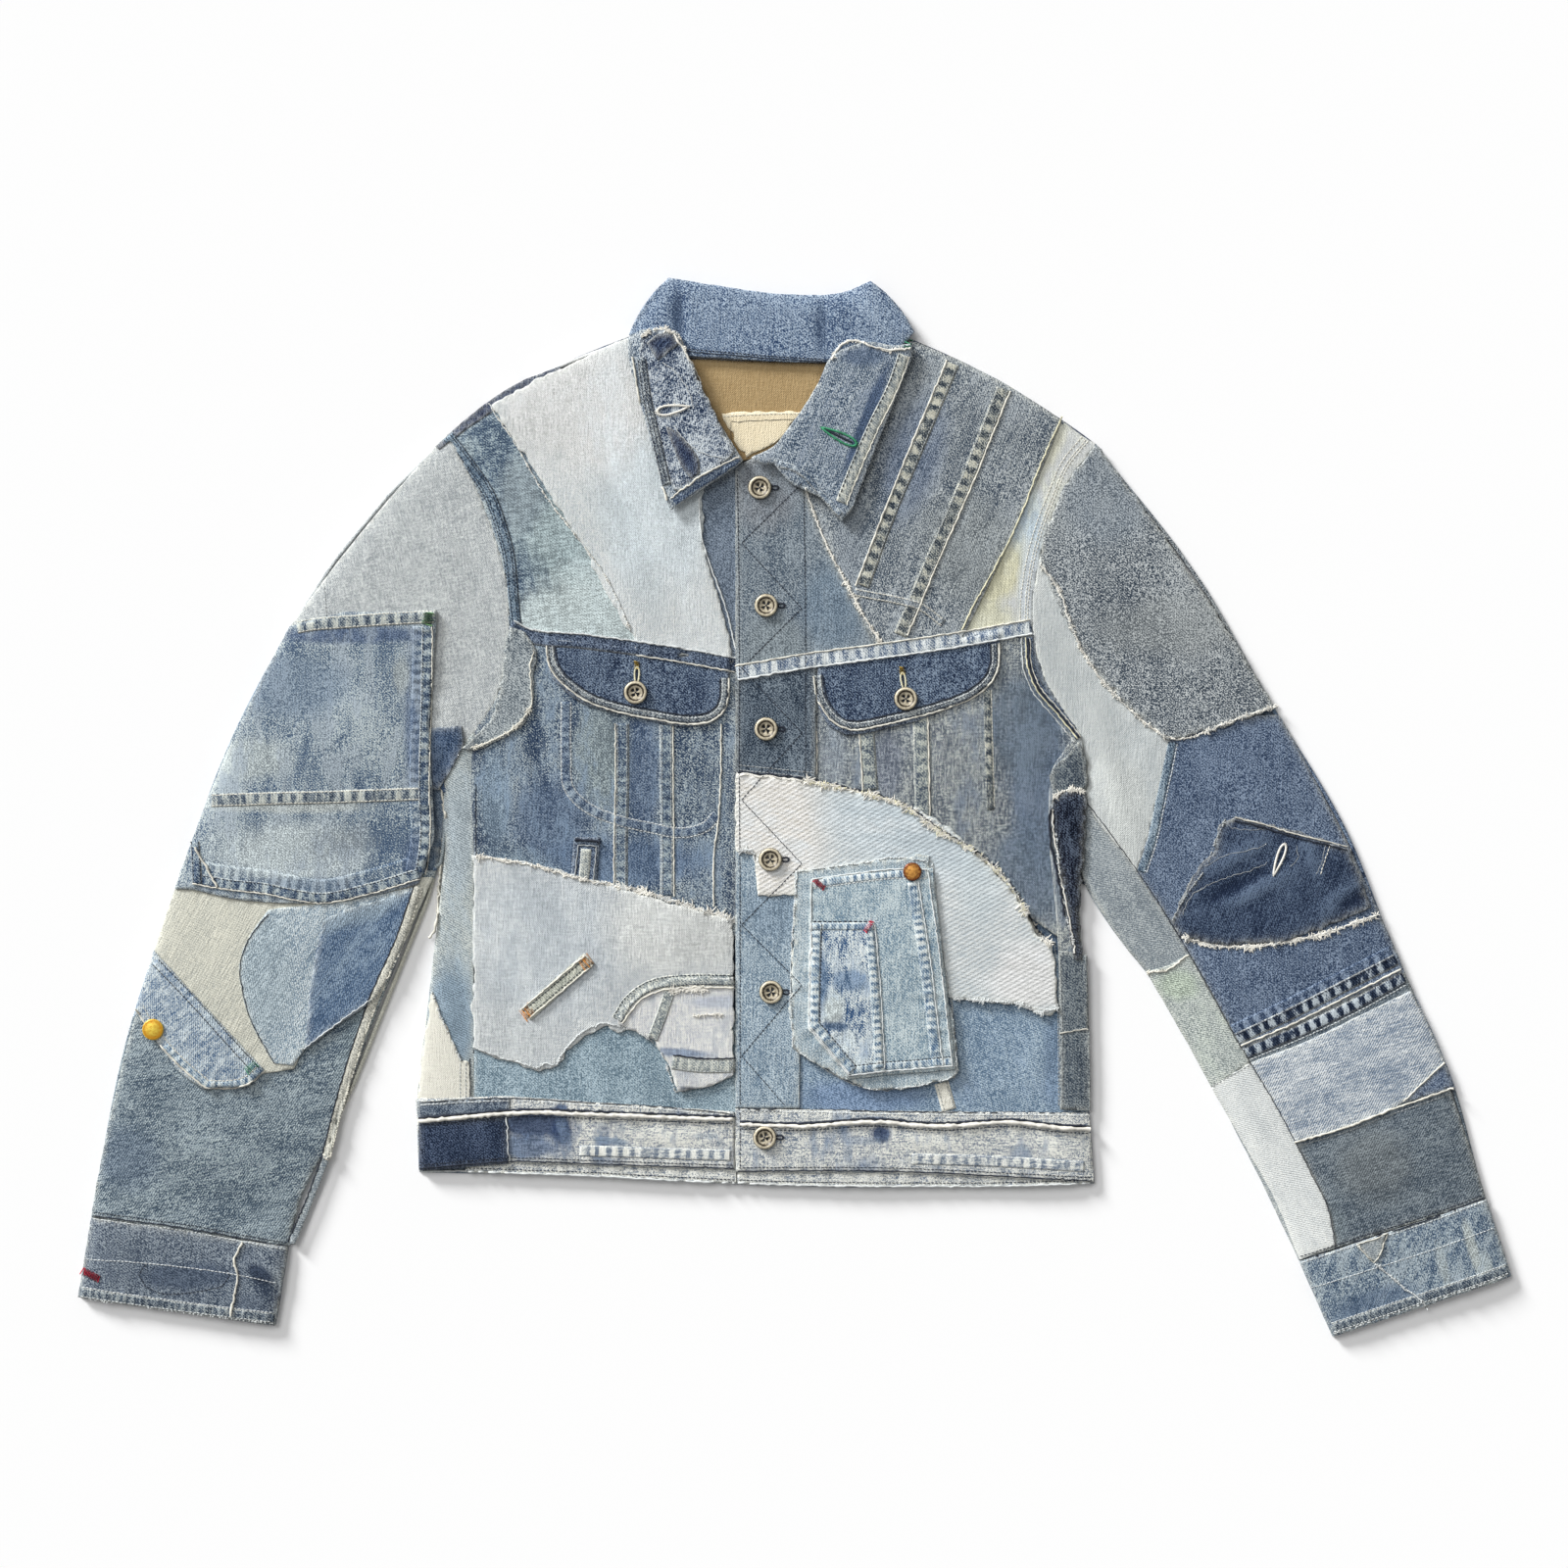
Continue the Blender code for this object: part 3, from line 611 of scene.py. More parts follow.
CHEST_R = Denim("right_chest_blue", (38, 56, 82), (95, 113, 133), (190, 200, 200), slub=0.35, speckle=0.9, mottle=0.7,
    tints=(Tint(-137, 38, 26, 50, (150, 163, 164), 0.6), Tint(-174.5, -8.5, 36, 38, (86, 105, 132), 0.7), Tint(-214, 3, 14, 50, (122, 141, 158), 0.7), Tint(-109, 24, 16, 60, (84, 104, 134), 0.6), Tint(-119.5, -39, 70, 22, (84, 106, 136), 0.7), Tint(-203.5, -53, 40, 30, (124, 142, 156), 0.6),))
STRIP_GREYER = Denim("grey_felled_strip", (58, 70, 88), (136, 146, 148), (196, 200, 190), rope=0.3, rope_wave=9.0, slub=0.2, edge=0.5, speckle=0.7)
STRIP_PALE = Denim("felled_strip", (44, 60, 86), (106, 124, 142), (176, 188, 190), rope=0.22, rope_wave=7.6, slub=0.2, edge=0.5, speckle=0.7)
POCKET_SEAM = Denim("chest_pocket_seam", (44, 60, 86), (104, 121, 142), (160, 174, 184), rope=0.28, rope_wave=7.2, slub=0.2, edge=0.4, speckle=0.7)
ARM_STRIP = Denim("armhole_strip", (70, 82, 94), (138, 147, 152), (188, 196, 198), slub=0.4, grain=-8, crest=0.6, speckle=0.8)
UNDERARM = Denim("underarm_navy", (22, 38, 60), (54, 76, 107), (112, 130, 154), speckle=0.6)
LOWER_R = Denim("pale_grey_blue", (158, 166, 172), (198, 203, 205), (222, 223, 219), slub=0.35, weft=0.3, speckle=0.25, mottle=0.25, mottle_size=24, crest=0.2, weave=Weave.PLAIN, rib=0.35,
    tints=(Tint(-182.5, -95, 70, 70, (186, 196, 204), 0.5), Tint(-77.5, -88, 70, 44, (215, 217, 214), 0.8), Tint(-203.5, -165, 50, 30, (200, 205, 206), 0.5),))
# The second tint, a thin blue line, is painted shadow just above the felled band across the inset.
INSET = Denim("pocket_inset", (178, 182, 190), (223, 224, 222), (238, 238, 232), slub=0.4, weft=0.3, speckle=0.3, mottle=0.3, crest=0.3, weave=Weave.PLAIN,
    tints=(Tint(-77.5, -202.5, 9, 5, (46, 56, 76), 0.95), Tint(-84.5, -174.5, 30, 4, (120, 140, 168), 0.8, -4), Tint(-53, -138.5, 30, 6, (172, 182, 200), 0.6),))
INSET_BAND = Denim("inset_band", (104, 114, 120), (174, 180, 178), (218, 220, 208), rope=0.16, rope_wave=5.5, mottle=0.4, speckle=0.6)
BOTTOM_R = Denim("right_bottom_blue", (96, 118, 132), (142, 162, 174), (184, 203, 212), weft=0.3, slub=0.1, speckle=0.9)
SIDE_R = Denim("right_side_twill", (122, 132, 136), (166, 176, 178), (204, 210, 206), grain=-20, slub=0.2, speckle=0.7, rib=0.8,
               tints=(Tint(-244.5, -151, 22, 50, (126, 148, 166), 0.8), Tint(-240, -18, 20, 50, (160, 174, 184), 0.5)))
CREAM = Denim("cream_canvas", (198, 196, 184), (228, 226, 214), (240, 238, 226), speckle=0.15, slub=0.2, weft=0.25, mottle=0.2, weave=Weave.PLAIN, rib=0.35)
LOOP_GREEN = Denim("loop_grey_green", (132, 138, 128), (192, 196, 184), (224, 224, 206), slub=0.5, edge=0.9, speckle=0.4)
PLACKET = Denim("placket_grey_blue", (66, 80, 96), (120, 133, 143), (168, 178, 184), slub=0.15, speckle=0.95,
                tints=(Tint(-21.5, 227, 30, 40, (132, 134, 138), 0.6), Tint(27.5, 143, 30, 40, (112, 132, 150), 0.6), Tint(-14.5, 115, 30, 30, (136, 146, 150), 0.6)))
YOKE_L = Denim("left_yoke_grey", (56, 70, 86), (128, 137, 145), (192, 198, 198), slub=0.3, mottle=0.6, mottle_size=18, grain=20, crest=0.5, speckle=1.0,
               tints=(Tint(83.5, 248, 26, 60, (92, 108, 134), 0.6, -20), Tint(122, 185, 40, 50, (146, 152, 152), 0.5),
                      Tint(41.5, 185, 16, 60, (132, 142, 152), 0.5)))
YOKE_ROPE = Denim("yoke_felled_seam", (40, 50, 62), (130, 138, 139), (200, 199, 184), rope=0.5, rope_wave=9.4, mottle=0.5, mottle_size=20, edge=0.2, speckle=0.6)
STAINED = Denim("stained_pale", (184, 189, 190), (206, 209, 208), (224, 225, 218), speckle=0.15, weft=0.2, slub=0.25, mottle=0.2, crest=0.12, weave=Weave.TWILL, rib=0.3,
    tints=(Tint(181.5, 258.5, 12, 26, (232, 230, 202), 0.8, -25), Tint(168.5, 234, 9, 20, (232, 230, 204), 0.75, -20), Tint(165, 199, 16, 40, (186, 204, 216), 0.8), Tint(146.5, 164, 18, 34, (214, 211, 178), 0.85, -35), Tint(136, 136, 26, 16, (214, 213, 186), 0.8), Tint(167.5, 157, 10, 40, (200, 209, 217), 0.7),))
PLACKET_DARK = Denim("placket_dark", (30, 42, 58), (73, 87, 101), (134, 146, 156), slub=0.2, speckle=0.9, mottle=0.5)
CHEST_L = Denim("left_chest_grey", (76, 85, 97), (141, 149, 153), (198, 202, 196), slub=0.7, weft=0.5, speckle=0.8, crest=0.4, weave=Weave.PLAIN, rib=0.8, mottle=0.5,
    tints=(Tint(174.5, 17, 28, 90, (96, 112, 132), 0.9), Tint(164, -53, 40, 50, (100, 115, 131), 0.8), Tint(66, 31, 16, 34, (114, 123, 140), 0.6), Tint(27.5, 38, 14, 30, (146, 156, 166), 0.6), Tint(178, 87, 18, 40, (88, 102, 122), 0.9), Tint(160.5, 59, 30, 52, (102, 115, 128), 0.85),))
SIDE_L = Denim("left_side_navy", (6, 12, 26), (16, 27, 50), (96, 108, 126), slub=0.7, edge=0.35, mottle=0.5, crackle=0.0, mottle_size=8)
SIDE_L_LOW = Denim("left_side_slate", (48, 60, 74), (90, 102, 113), (150, 158, 160), slub=0.3, weft=0.4, speckle=0.8)
ARC = Denim("ribbed_white", (172, 184, 191), (205, 211, 212), (232, 234, 229), grain=105, slub=0.25, speckle=0.15, mottle=0.15, crest=0.12, edge=0.9, rib=0.22, weave=Weave.DRILL,
    tints=(Tint(-21.5, -14.5, 56, 90, (245, 238, 221), 0.97), Tint(80, -18, 80, 36, (190, 203, 210), 0.7, -20), Tint(167.5, -123, 34, 34, (232, 233, 228), 0.9), Tint(132.5, -53, 20, 40, (196, 208, 212), 0.5),))
PLACKET_LOW = Denim("placket_light_blue", (96, 118, 138), (152, 170, 183), (196, 210, 217), weft=0.2, speckle=0.9,
                    tints=(Tint(-14.5, -74, 30, 30, (130, 150, 168), 0.6),))
BACKING = Denim("pocket_backing", (120, 140, 154), (161, 178, 188), (206, 216, 218), slub=0.2, edge=0.9, speckle=0.7)
POCKET = Denim("utility_pocket_blue", (104, 130, 150), (168, 185, 192), (206, 218, 220), slub=0.4, mottle=0.5, mottle_size=11, crest=0.6, crackle=0.15, speckle=0.7)
PEN_POCKET = Denim("pen_pocket_blue", (50, 82, 122), (190, 206, 215), (238, 242, 236), slub=0.6, mottle=1.1, mottle_size=10, crest=0.7, speckle=0.6, crackle=0.2,
    tints=(Tint(27.5, -144, 11, 16, (206, 216, 216), 0.95), Tint(35.5, -166.5, 12, 9, (204, 214, 216), 0.9, 30), Tint(45.5, -182, 12, 7, (206, 216, 216), 0.8), Tint(38.5, -123, 16, 10, (92, 122, 156), 0.7), Tint(19, -123, 6, 24, (98, 126, 158), 0.8), Tint(28.5, -155.5, 14, 4, (70, 98, 132), 0.8),))
POCKET_ROPE = Denim("pocket_rope", (66, 94, 126), (164, 182, 192), (226, 232, 230), rope=0.35, rope_wave=5.4, edge=0.35, mottle=0.4, speckle=0.3)
BOTTOM_L = Denim("left_bottom_blue", (88, 112, 136), (136, 157, 177), (182, 200, 212), slub=0.25, grain=-20, speckle=0.9,
                 tints=(Tint(48.5, -207, 60, 16, (112, 136, 172), 0.6), Tint(185, -179, 10, 50, (112, 134, 160), 0.6)))
HEM_DARK = Denim("hem_indigo", (16, 28, 48), (37, 52, 75), (92, 106, 130), slub=0.2, edge=0.2, speckle=0.9)
HEM_BLUE = Denim("hem_blue", (44, 58, 78), (84, 98, 115), (142, 154, 166), slub=0.2, weft=0.4, speckle=0.8)
HEM_PALE = Denim("hem_pale", (108, 122, 140), (217, 218, 212), (240, 241, 233), mottle=0.35, mottle_size=16, slub=0.05, crackle=0.0, crest=0.5, weft=0.6, speckle=0.7, weave=Weave.PLAIN)
HEM_RIGHT = replace(HEM_PALE, name="right_hem_washed", mid=(230, 230, 222),
    tints=(Tint(-186, -226, 34, 15, (58, 75, 104), 0.95), Tint(-166.5, -230.5, 9, 13, (50, 66, 98), 0.95), Tint(-166.5, -215, 6, 5, (62, 82, 116), 0.95), Tint(-189.5, -242, 34, 12, (98, 116, 142), 0.9), Tint(-130, -237.5, 18, 3, (114, 136, 160), 0.7, -8), Tint(-63.5, -234, 12, 3, (150, 164, 178), 0.5),))
HEM_LEFT = replace(HEM_PALE, name="left_hem_washed",
    tints=(Tint(61.5, -232.5, 9, 8, (52, 70, 102), 0.95), Tint(57.5, -222.5, 13, 3, (92, 110, 138), 0.9), Tint(47, -237.5, 18, 4, (140, 154, 172), 0.6), Tint(160.5, -248, 10, 9, (128, 144, 164), 0.7), Tint(185, -253.5, 16, 4, (104, 128, 156), 0.7),))
HEM_RIDGES = replace(HEM_PALE, name="hem_ridges", mid=(196, 201, 201), rope=0.55, rope_wave=8.0, edge=0.0, speckle=0.5)
LINEN = Denim("linen_grey", (150, 156, 160), (190, 195, 196), (220, 224, 222), slub=0.35, weft=0.35, speckle=0.5, mottle=0.2, grain=-12, crest=0.2, weave=Weave.PLAIN, rib=0.5)
SLEEVE_POCKET = Denim("sleeve_pocket_blue", (66, 86, 112), (128, 146, 161), (198, 208, 208), speckle=1.0, mottle=0.6, mottle_size=18, crest=0.9, edge=0.4, slub=0.1, crackle=0.12,
    tints=(Tint(-384.5, 34.5, 34, 20, (184, 193, 192), 0.7), Tint(-357.5, -31, 74, 28, (198, 208, 209), 0.8), Tint(-315.5, 123, 80, 8, (84, 102, 132), 0.8), Tint(-271, 59, 9, 70, (92, 110, 138), 0.7), Tint(-270, -39, 14, 30, (84, 102, 132), 0.7), Tint(-343.5, -56.5, 110, 8, (104, 124, 148), 0.5), Tint(-280.5, 94, 8, 16, (172, 180, 180), 0.7), Tint(-357.5, 1.5, 70, 7, (188, 194, 190), 0.7), Tint(-357.5, 87, 50, 30, (112, 130, 150), 0.6),))
POCKET_BAND = Denim("sleeve_pocket_band", (50, 64, 84), (142, 153, 159), (200, 204, 196), rope=0.42, rope_wave=8.8, mottle=0.4, speckle=0.5)
POCKET_EDGE = Denim("sleeve_pocket_edge", (44, 62, 90), (122, 140, 156), (188, 198, 198), rope=0.4, rope_wave=8.4, mottle=0.5, speckle=0.6)
SLEEVE_CREAM = Denim("sleeve_cream", (176, 178, 170), (206, 206, 193), (226, 224, 208), speckle=0.45, slub=0.1, grain=30, mottle=0.2, crest=0.15, weave=Weave.PLAIN, rib=0.5)
FADE = Denim("sleeve_fade_blue", (118, 138, 156), (182, 197, 203), (216, 224, 226), speckle=0.9, grain=35,
    tints=(Tint(-378.5, -116, 26, 70, (160, 176, 184), 0.6),))
FADE_DEEP = Denim("sleeve_fade_deep", (62, 84, 112), (94, 117, 146), (142, 162, 182), speckle=0.9, grain=35,
                  tints=(Tint(-312, -70.5, 50, 16, (146, 163, 176), 0.85, 20),))
SLEEVE_FLAP = Denim("sleeve_flap_blue", (64, 92, 126), (150, 166, 180), (212, 220, 220), mottle=0.45, mottle_size=9, grain=45, crackle=0.3, crest=0.6, speckle=0.5, slub=0.3,
    tints=(Tint(-405.5, -112.5, 24, 9, (92, 116, 148), 0.8, -42), Tint(-384.5, -173.5, 20, 7, (196, 206, 208), 0.8, -20), Tint(-408, -144, 8, 24, (176, 190, 198), 0.6, -40),))
LOWER_R_SLEEVE = Denim("slub_slate", (62, 78, 94), (116, 131, 142), (176, 188, 191), slub=0.6, speckle=0.9, grain=78, mottle=0.45, reach=8.0,
                       tints=(Tint(-301.5, -179, 30, 60, (136, 150, 154), 0.6), Tint(-476.5, -249, 30, 30, (98, 114, 134), 0.5)))
SELVEDGE = Denim("raw_selvedge", (150, 152, 146), (204, 203, 192), (230, 228, 214), speckle=0.7, edge=0.6, crest=0.3)
CUFF_R = Denim("right_cuff_blue", (52, 64, 82), (103, 115, 129), (164, 174, 181), weft=0.3, slub=0.1, grain=-8, mottle=0.35, crest=0.6, speckle=0.85,
    tints=(Tint(-433.5, -334, 46, 12, (70, 83, 102), 0.75), Tint(-380, -333, 14, 8, (44, 56, 76), 0.9, -35), Tint(-389, -354, 20, 10, (90, 102, 120), 0.4),))
CUFF_ROPE = Denim("cuff_rope", (42, 54, 70), (94, 107, 121), (166, 174, 175), rope=0.25, rope_wave=5.2, mottle=0.4, speckle=0.7)
SALT = Denim("salt_and_pepper", (48, 60, 74), (109, 119, 128), (202, 207, 207), speckle=1.25, slub=0.1, mottle=0.35, mottle_size=34, crest=0.2,
             tints=(Tint(223.5, 227, 40, 50, (122, 134, 146), 0.5), Tint(265.5, 129, 60, 30, (152, 157, 157), 0.5)))
PALE_SLEEVE = Denim("pale_sleeve", (168, 176, 178), (198, 203, 203), (218, 222, 218), speckle=0.2, slub=0.2, mottle=0.25, mottle_size=26, crest=0.15, weave=Weave.PLAIN, rib=0.35,
                    tints=(Tint(237.5, -4, 20, 50, (208, 212, 208), 0.5),))
MID_INDIGO = Denim("mid_indigo", (44, 60, 86), (86, 103, 127), (142, 158, 179), speckle=1.2, slub=0.1, mottle=0.35, crest=0.4)
DARK_PATCH = Denim("dark_patch", (24, 36, 58), (46, 60, 84), (96, 112, 134), speckle=0.7, grain=20, mottle=0.35, crest=0.75, crackle=0.1)
FELL = Denim("sleeve_fell", (18, 28, 46), (60, 74, 96), (184, 194, 200), rope=0.58, rope_wave=8.6, mottle=0.6, speckle=0.3)
PALE_BAND = Denim("pale_blue_band", (112, 128, 148), (172, 182, 191), (220, 224, 225), weft=0.3, slub=0.6, mottle=0.6, grain=72, speckle=0.5, rib=0.9, weave=Weave.TWILL)
SLATE = Denim("slub_dark_slate", (60, 72, 84), (101, 112, 122), (140, 150, 156), weft=0.15, slub=0.6, grain=72, mottle=0.3, speckle=0.85, rib=0.3, reach=8.0,
              tints=(Tint(412.5, -256, 34, 34, (120, 126, 128), 0.6, 30), Tint(384.5, -305, 12, 30, (122, 134, 140), 0.6)))
STRIP_GREY = Denim("strip_grey_blue", (112, 122, 130), (150, 159, 164), (186, 193, 194), grain=-35, slub=0.2, speckle=0.8)
STRIP_GREEN = Denim("strip_grey_green", (124, 134, 134), (184, 192, 189), (214, 220, 213), grain=-35, slub=0.3, speckle=0.8,
                    tints=(Tint(272.5, -126.5, 20, 14, (184, 198, 178), 0.7),))
STRIP_PALEST = Denim("strip_pale", (192, 197, 198), (220, 224, 223), (234, 236, 232), grain=-35, speckle=0.25, slub=0.25, rib=0.5)
CUFF_L = Denim("left_cuff_blue", (56, 76, 100), (112, 130, 148), (180, 193, 198), mottle=0.55, mottle_size=9, crackle=0.15, grain=18, crest=0.6, speckle=0.9, slub=0.1,
    tints=(Tint(482.5, -313.5, 5, 26, (180, 188, 186), 0.9, 16), Tint(461.5, -326, 5, 22, (170, 180, 182), 0.8, 14), Tint(495, -333, 6, 22, (176, 186, 186), 0.8, 16), Tint(412.5, -354, 40, 14, (84, 104, 130), 0.6, 18), Tint(402, -306.5, 24, 6, (96, 114, 138), 0.6, 18),))
# Threads, piping and other trims.
CREAM_THREAD = Thread("cream_thread", (230, 227, 214), 0.8)
WHITE_THREAD = Thread("white_thread", (222, 226, 225), 0.8)
RAW_COTTON = Thread("raw_cotton", (242, 239, 229), 0.86)
GREY_THREAD = Thread("grey_thread", (176, 180, 180), 0.8)
NAVY_THREAD = Thread("navy_thread", (34, 42, 58))
GOLD_THREAD = Thread("gold_thread", (240, 200, 70), 0.9)
GREEN_THREAD = Thread("green_thread", (62, 152, 110), 0.75)
PALE_GREEN_THREAD = Thread("pale_green_thread", (130, 186, 122), 0.8)
RED_THREAD = Thread("red_thread", (218, 48, 76), 0.9)
ORANGE_THREAD = Thread("orange_thread", (220, 146, 62), 0.85)
YELLOW_THREAD = Thread("yellow_thread", (230, 225, 192), 0.85)
BRONZE = Metal("worn_bronze", (52, 42, 30), (222, 211, 184), 0.42, 0.2)
BRASS = Metal("worn_brass", (214, 150, 34), (252, 226, 92), 0.35, 0.3)
COPPER = Metal("worn_copper", (110, 48, 14), (250, 184, 92), 0.34, 0.35)


# ---------------------------------------------------------------- the work table


def dice(mesh: bmesh.types.BMesh, pitch: float) -> None:
    """Cuts a flat face into squares, without changing its outline."""
    for axis in (0, 1):
        places = [vert.co[axis] for vert in mesh.verts]
        across = Vector((1, 0, 0)) if axis == 0 else Vector((0, 1, 0))
        beyond = mesh.faces[:]
        for step in range(math.floor(min(places) / pitch) + 1, math.ceil(max(places) / pitch)):
            parts = {part for face in beyond for part in (*face.verts, *face.edges)}
            result = bmesh.ops.bisect_plane(
                mesh, geom=[*beyond, *parts], dist=1e-4, plane_co=across * step * pitch, plane_no=across
            )
            beyond = [
                part
                for part in result["geom"]
                if isinstance(part, bmesh.types.BMFace) and part.calc_center_median()[axis] > step * pitch
            ]


def outline_of_node(node: str) -> list[Point]:
    """Takes the outline of a panel of the frame.

    Args:
        node: The frame's node.

    Returns:
        The corners of the panel's upper side, in millimetres, in order.
    """
    mesh = bmesh.new()
    mesh.from_mesh(bpy.data.objects[node].data)
    bmesh.ops.transform(mesh, matrix=Matrix.Scale(1 / MM, 4), verts=mesh.verts[:])
    bmesh.ops.remove_doubles(mesh, verts=mesh.verts[:], dist=0.01)
    mesh.normal_update()
    hidden = [face for face in mesh.faces if face.normal.z < 0.5]
    bmesh.ops.delete(mesh, geom=hidden, context="FACES")
    rim = [edge.link_loops[0] for edge in mesh.edges if edge.is_boundary]
    following = {loop.vert: loop.link_loop_next.vert for loop in rim}
    chain = [next(iter(following))]
    while following[chain[-1]] is not chain[0]:
        chain.append(following[chain[-1]])
    corners = [(vert.co.x, vert.co.y) for vert in chain]
    mesh.free()
    return corners


class Bench:
    """The work table: it cuts panels, sews on them, and remembers how high the cloth lies."""

    def __init__(self, relief: Relief) -> None:
        """Starts with nothing laid on the table."""
        self.relief = relief
        self.rng = np.random.default_rng(SEED)
        self.boxes = np.zeros((0, 4))
        self.laid: list[tuple[BVHTree, Denim]] = []
        self.yarns: dict[tuple[Thread, int], list[tuple[np.ndarray, np.ndarray]]] = {}

    def probe(self, x: float, y: float) -> tuple[float, Denim | None]:
        """Finds the highest cloth at a place.

        Args:
            x: The place, in millimetres.
            y: The place, in millimetres.

        Returns:
            Its height and its finish, or 0 and None where there is no cloth.
        """
        best: tuple[float, Denim | None] = (0.0, None)
        inside = (self.boxes[:, 0] <= x) & (self.boxes[:, 1] <= y) & (self.boxes[:, 2] >= x) & (self.boxes[:, 3] >= y)
        for index in np.flatnonzero(inside):
            tree, cloth = self.laid[index]
            hit = tree.ray_cast(Vector((x, y, SKY)), Vector((0, 0, -1)))[0]
            if hit is not None and hit.z > best[0]:
                best = (hit.z, cloth)
        return best

    def heights(self, line: np.ndarray) -> np.ndarray:
        """The height of the cloth under each point of a line."""
        found = [self.probe(x, y) for x, y in line]
        known = [height for height, cloth in found if cloth is not None]
        usual = float(np.median(known)) if known else FRONT
        return np.array([height if cloth is not None else usual for height, cloth in found])

    def lay(self, mesh: bmesh.types.BMesh, cloth: Denim) -> None:
        """Remembers a panel's upper side, so that what comes later lies on it."""
        corners = np.array([vert.co[:2] for vert in mesh.verts])
        self.boxes = np.vstack([self.boxes, [*corners.min(0), *corners.max(0)]])
        self.laid.append((BVHTree.FromBMesh(mesh), cloth))

    def keep(self, name: str, mesh: bmesh.types.BMesh, finish: Denim | Thread | Metal) -> bpy.types.Object:
        """Makes an object of a bmesh in millimetres, with its material, that rides on the body."""
        bmesh.ops.recalc_face_normals(mesh, faces=mesh.faces[:])
        bmesh.ops.transform(mesh, matrix=Matrix.Scale(MM, 4), verts=mesh.verts[:])
        for face in mesh.faces:
            face.smooth = True
        data = bpy.data.meshes.new(name)
        mesh.to_mesh(data)
        mesh.free()
        data.materials.append(finish.material())
        piece = bpy.data.objects.new(name, data)
        bpy.context.scene.collection.objects.link(piece)
        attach(piece, BODY)
        return piece

    def note(self, piece: bpy.types.Object, name: str, values: np.ndarray) -> None:
        """Stores a number for each point of a piece's mesh."""
        attribute = piece.data.attributes.new(name, "FLOAT", "POINT")
        attribute.data.foreach_set("value", np.asarray(values, np.float32))

    def cut(
        self,
        name: str,
        cloth: Denim,
        layer: float | None,
        outline: Path = (),
        edge: Edge = Edge.SEWN,
        plies: int = 1,
        bulge: float = 0.0,
        replaces: Sequence[str] = (),
    ) -> bpy.types.Object:
        """Cuts a panel of cloth and lays it in place.

        Args:
            name: The piece's name.
            cloth: Its finish.
            layer: How many plies lie below it, or None on the back of the garment.
            outline: Its corners. Without them it takes the outline of the frame's node of that name.
            edge: How its edge is cut.
            plies: Its own thickness, in plies.
            bulge: How far its middle stands up above its edge.
            replaces: The frame's nodes that it stands for.

        Returns:
            The finished object.
        """
        pitch = BACK_PITCH if layer is None else PITCH
        line = rounded(outline or outline_of_node(name), pitch, closed=True)
        wander = self.rng.normal(0, edge.value, line.shape)
        line += (wander + np.roll(wander, 1, 0)) / 2 + self.outwards(line) * LAP
        mesh = bmesh.new()
        mesh.faces.new([mesh.verts.new((x, y, 0)) for x, y in line])
        mesh.normal_update()
        if mesh.faces[:][0].normal.z < 0:
            bmesh.ops.reverse_faces(mesh, faces=mesh.faces[:])
        dice(mesh, pitch)
        xy = np.array([vert.co[:2] for vert in mesh.verts])
        rim = self.distances(xy, line)
        if layer is None:
            tops = np.full(len(xy), BACK)
        else:
            tops = self.relief.top(xy) + layer * PLY + (plies - 1) * PLY
            tops += bulge * (1 - np.exp(-rim / 6)) - 0.25 * np.exp(-rim / 1.5)
        for vert, top in zip(mesh.verts, tops):
            vert.co.z = top
        mesh.normal_update()
        self.lay(mesh, cloth)
        thickness = CLOTH + (plies - 1) * PLY if layer is not None else BACK
        grown = bmesh.ops.extrude_face_region(mesh, geom=mesh.faces[:])["geom"]
        under = [part for part in grown if isinstance(part, bmesh.types.BMVert)]
        bmesh.ops.translate(mesh, vec=(0, 0, -thickness), verts=under)
        self.simplify(mesh, under)
        xy = np.array([vert.co[:2] for vert in mesh.verts])
        piece = self.keep(f"{name}_cloth", mesh, cloth)
        self.note(piece, "edge", np.exp(-self.distances(xy, line) / 1.6))
        self.note(piece, "crest", self.relief.creases(xy) if layer is not None else np.zeros(len(xy)))
        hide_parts(*(replaces or ([] if outline else [name])))
        wide, long, area = flat_size(line)
        wide, long = min(wide, long), max(wide, long)
        wide = max(THINNEST_SHEET, min(wide, area / long / 0.4))
        return piece

    def outwards(self, line: np.ndarray) -> np.ndarray:
        """The unit vectors that point out of a closed line, at each of its points."""
        along = np.roll(line, -1, 0) - np.roll(line, 1, 0)
        along /= np.maximum(1e-6, np.hypot(*along.T))[:, None]
        x, y = line.T
        turn = np.sign(np.dot(x, np.roll(y, -1)) - np.dot(y, np.roll(x, -1)))
        return np.stack([along[:, 1], -along[:, 0]], axis=1) * turn

    def simplify(self, mesh: bmesh.types.BMesh, under: list[bmesh.types.BMVert]) -> None:
        """Merges the nearly flat faces of the hidden side, inside its border."""
        hidden = set(under)
        inside = [vert for vert in under if all(edge.other_vert(vert) in hidden for edge in vert.link_edges)]
        kept = set(inside)
        edges = [edge for vert in inside for edge in vert.link_edges if edge.other_vert(vert) in kept]
        bmesh.ops.dissolve_limit(mesh, angle_limit=math.radians(3.5), verts=inside, edges=list(set(edges)))

    def distances(self, xy: np.ndarray, line: np.ndarray) -> np.ndarray:
        """How far points are from the nearest point of a line."""
        best = np.full(len(xy), 1e9)
        for start in range(0, len(line), 64):
            part = line[start : start + 64]
            gap = ((xy[:, None, :] - part[None, :, :]) ** 2).sum(2).min(1)
            best = np.minimum(best, gap)
        return np.sqrt(best)

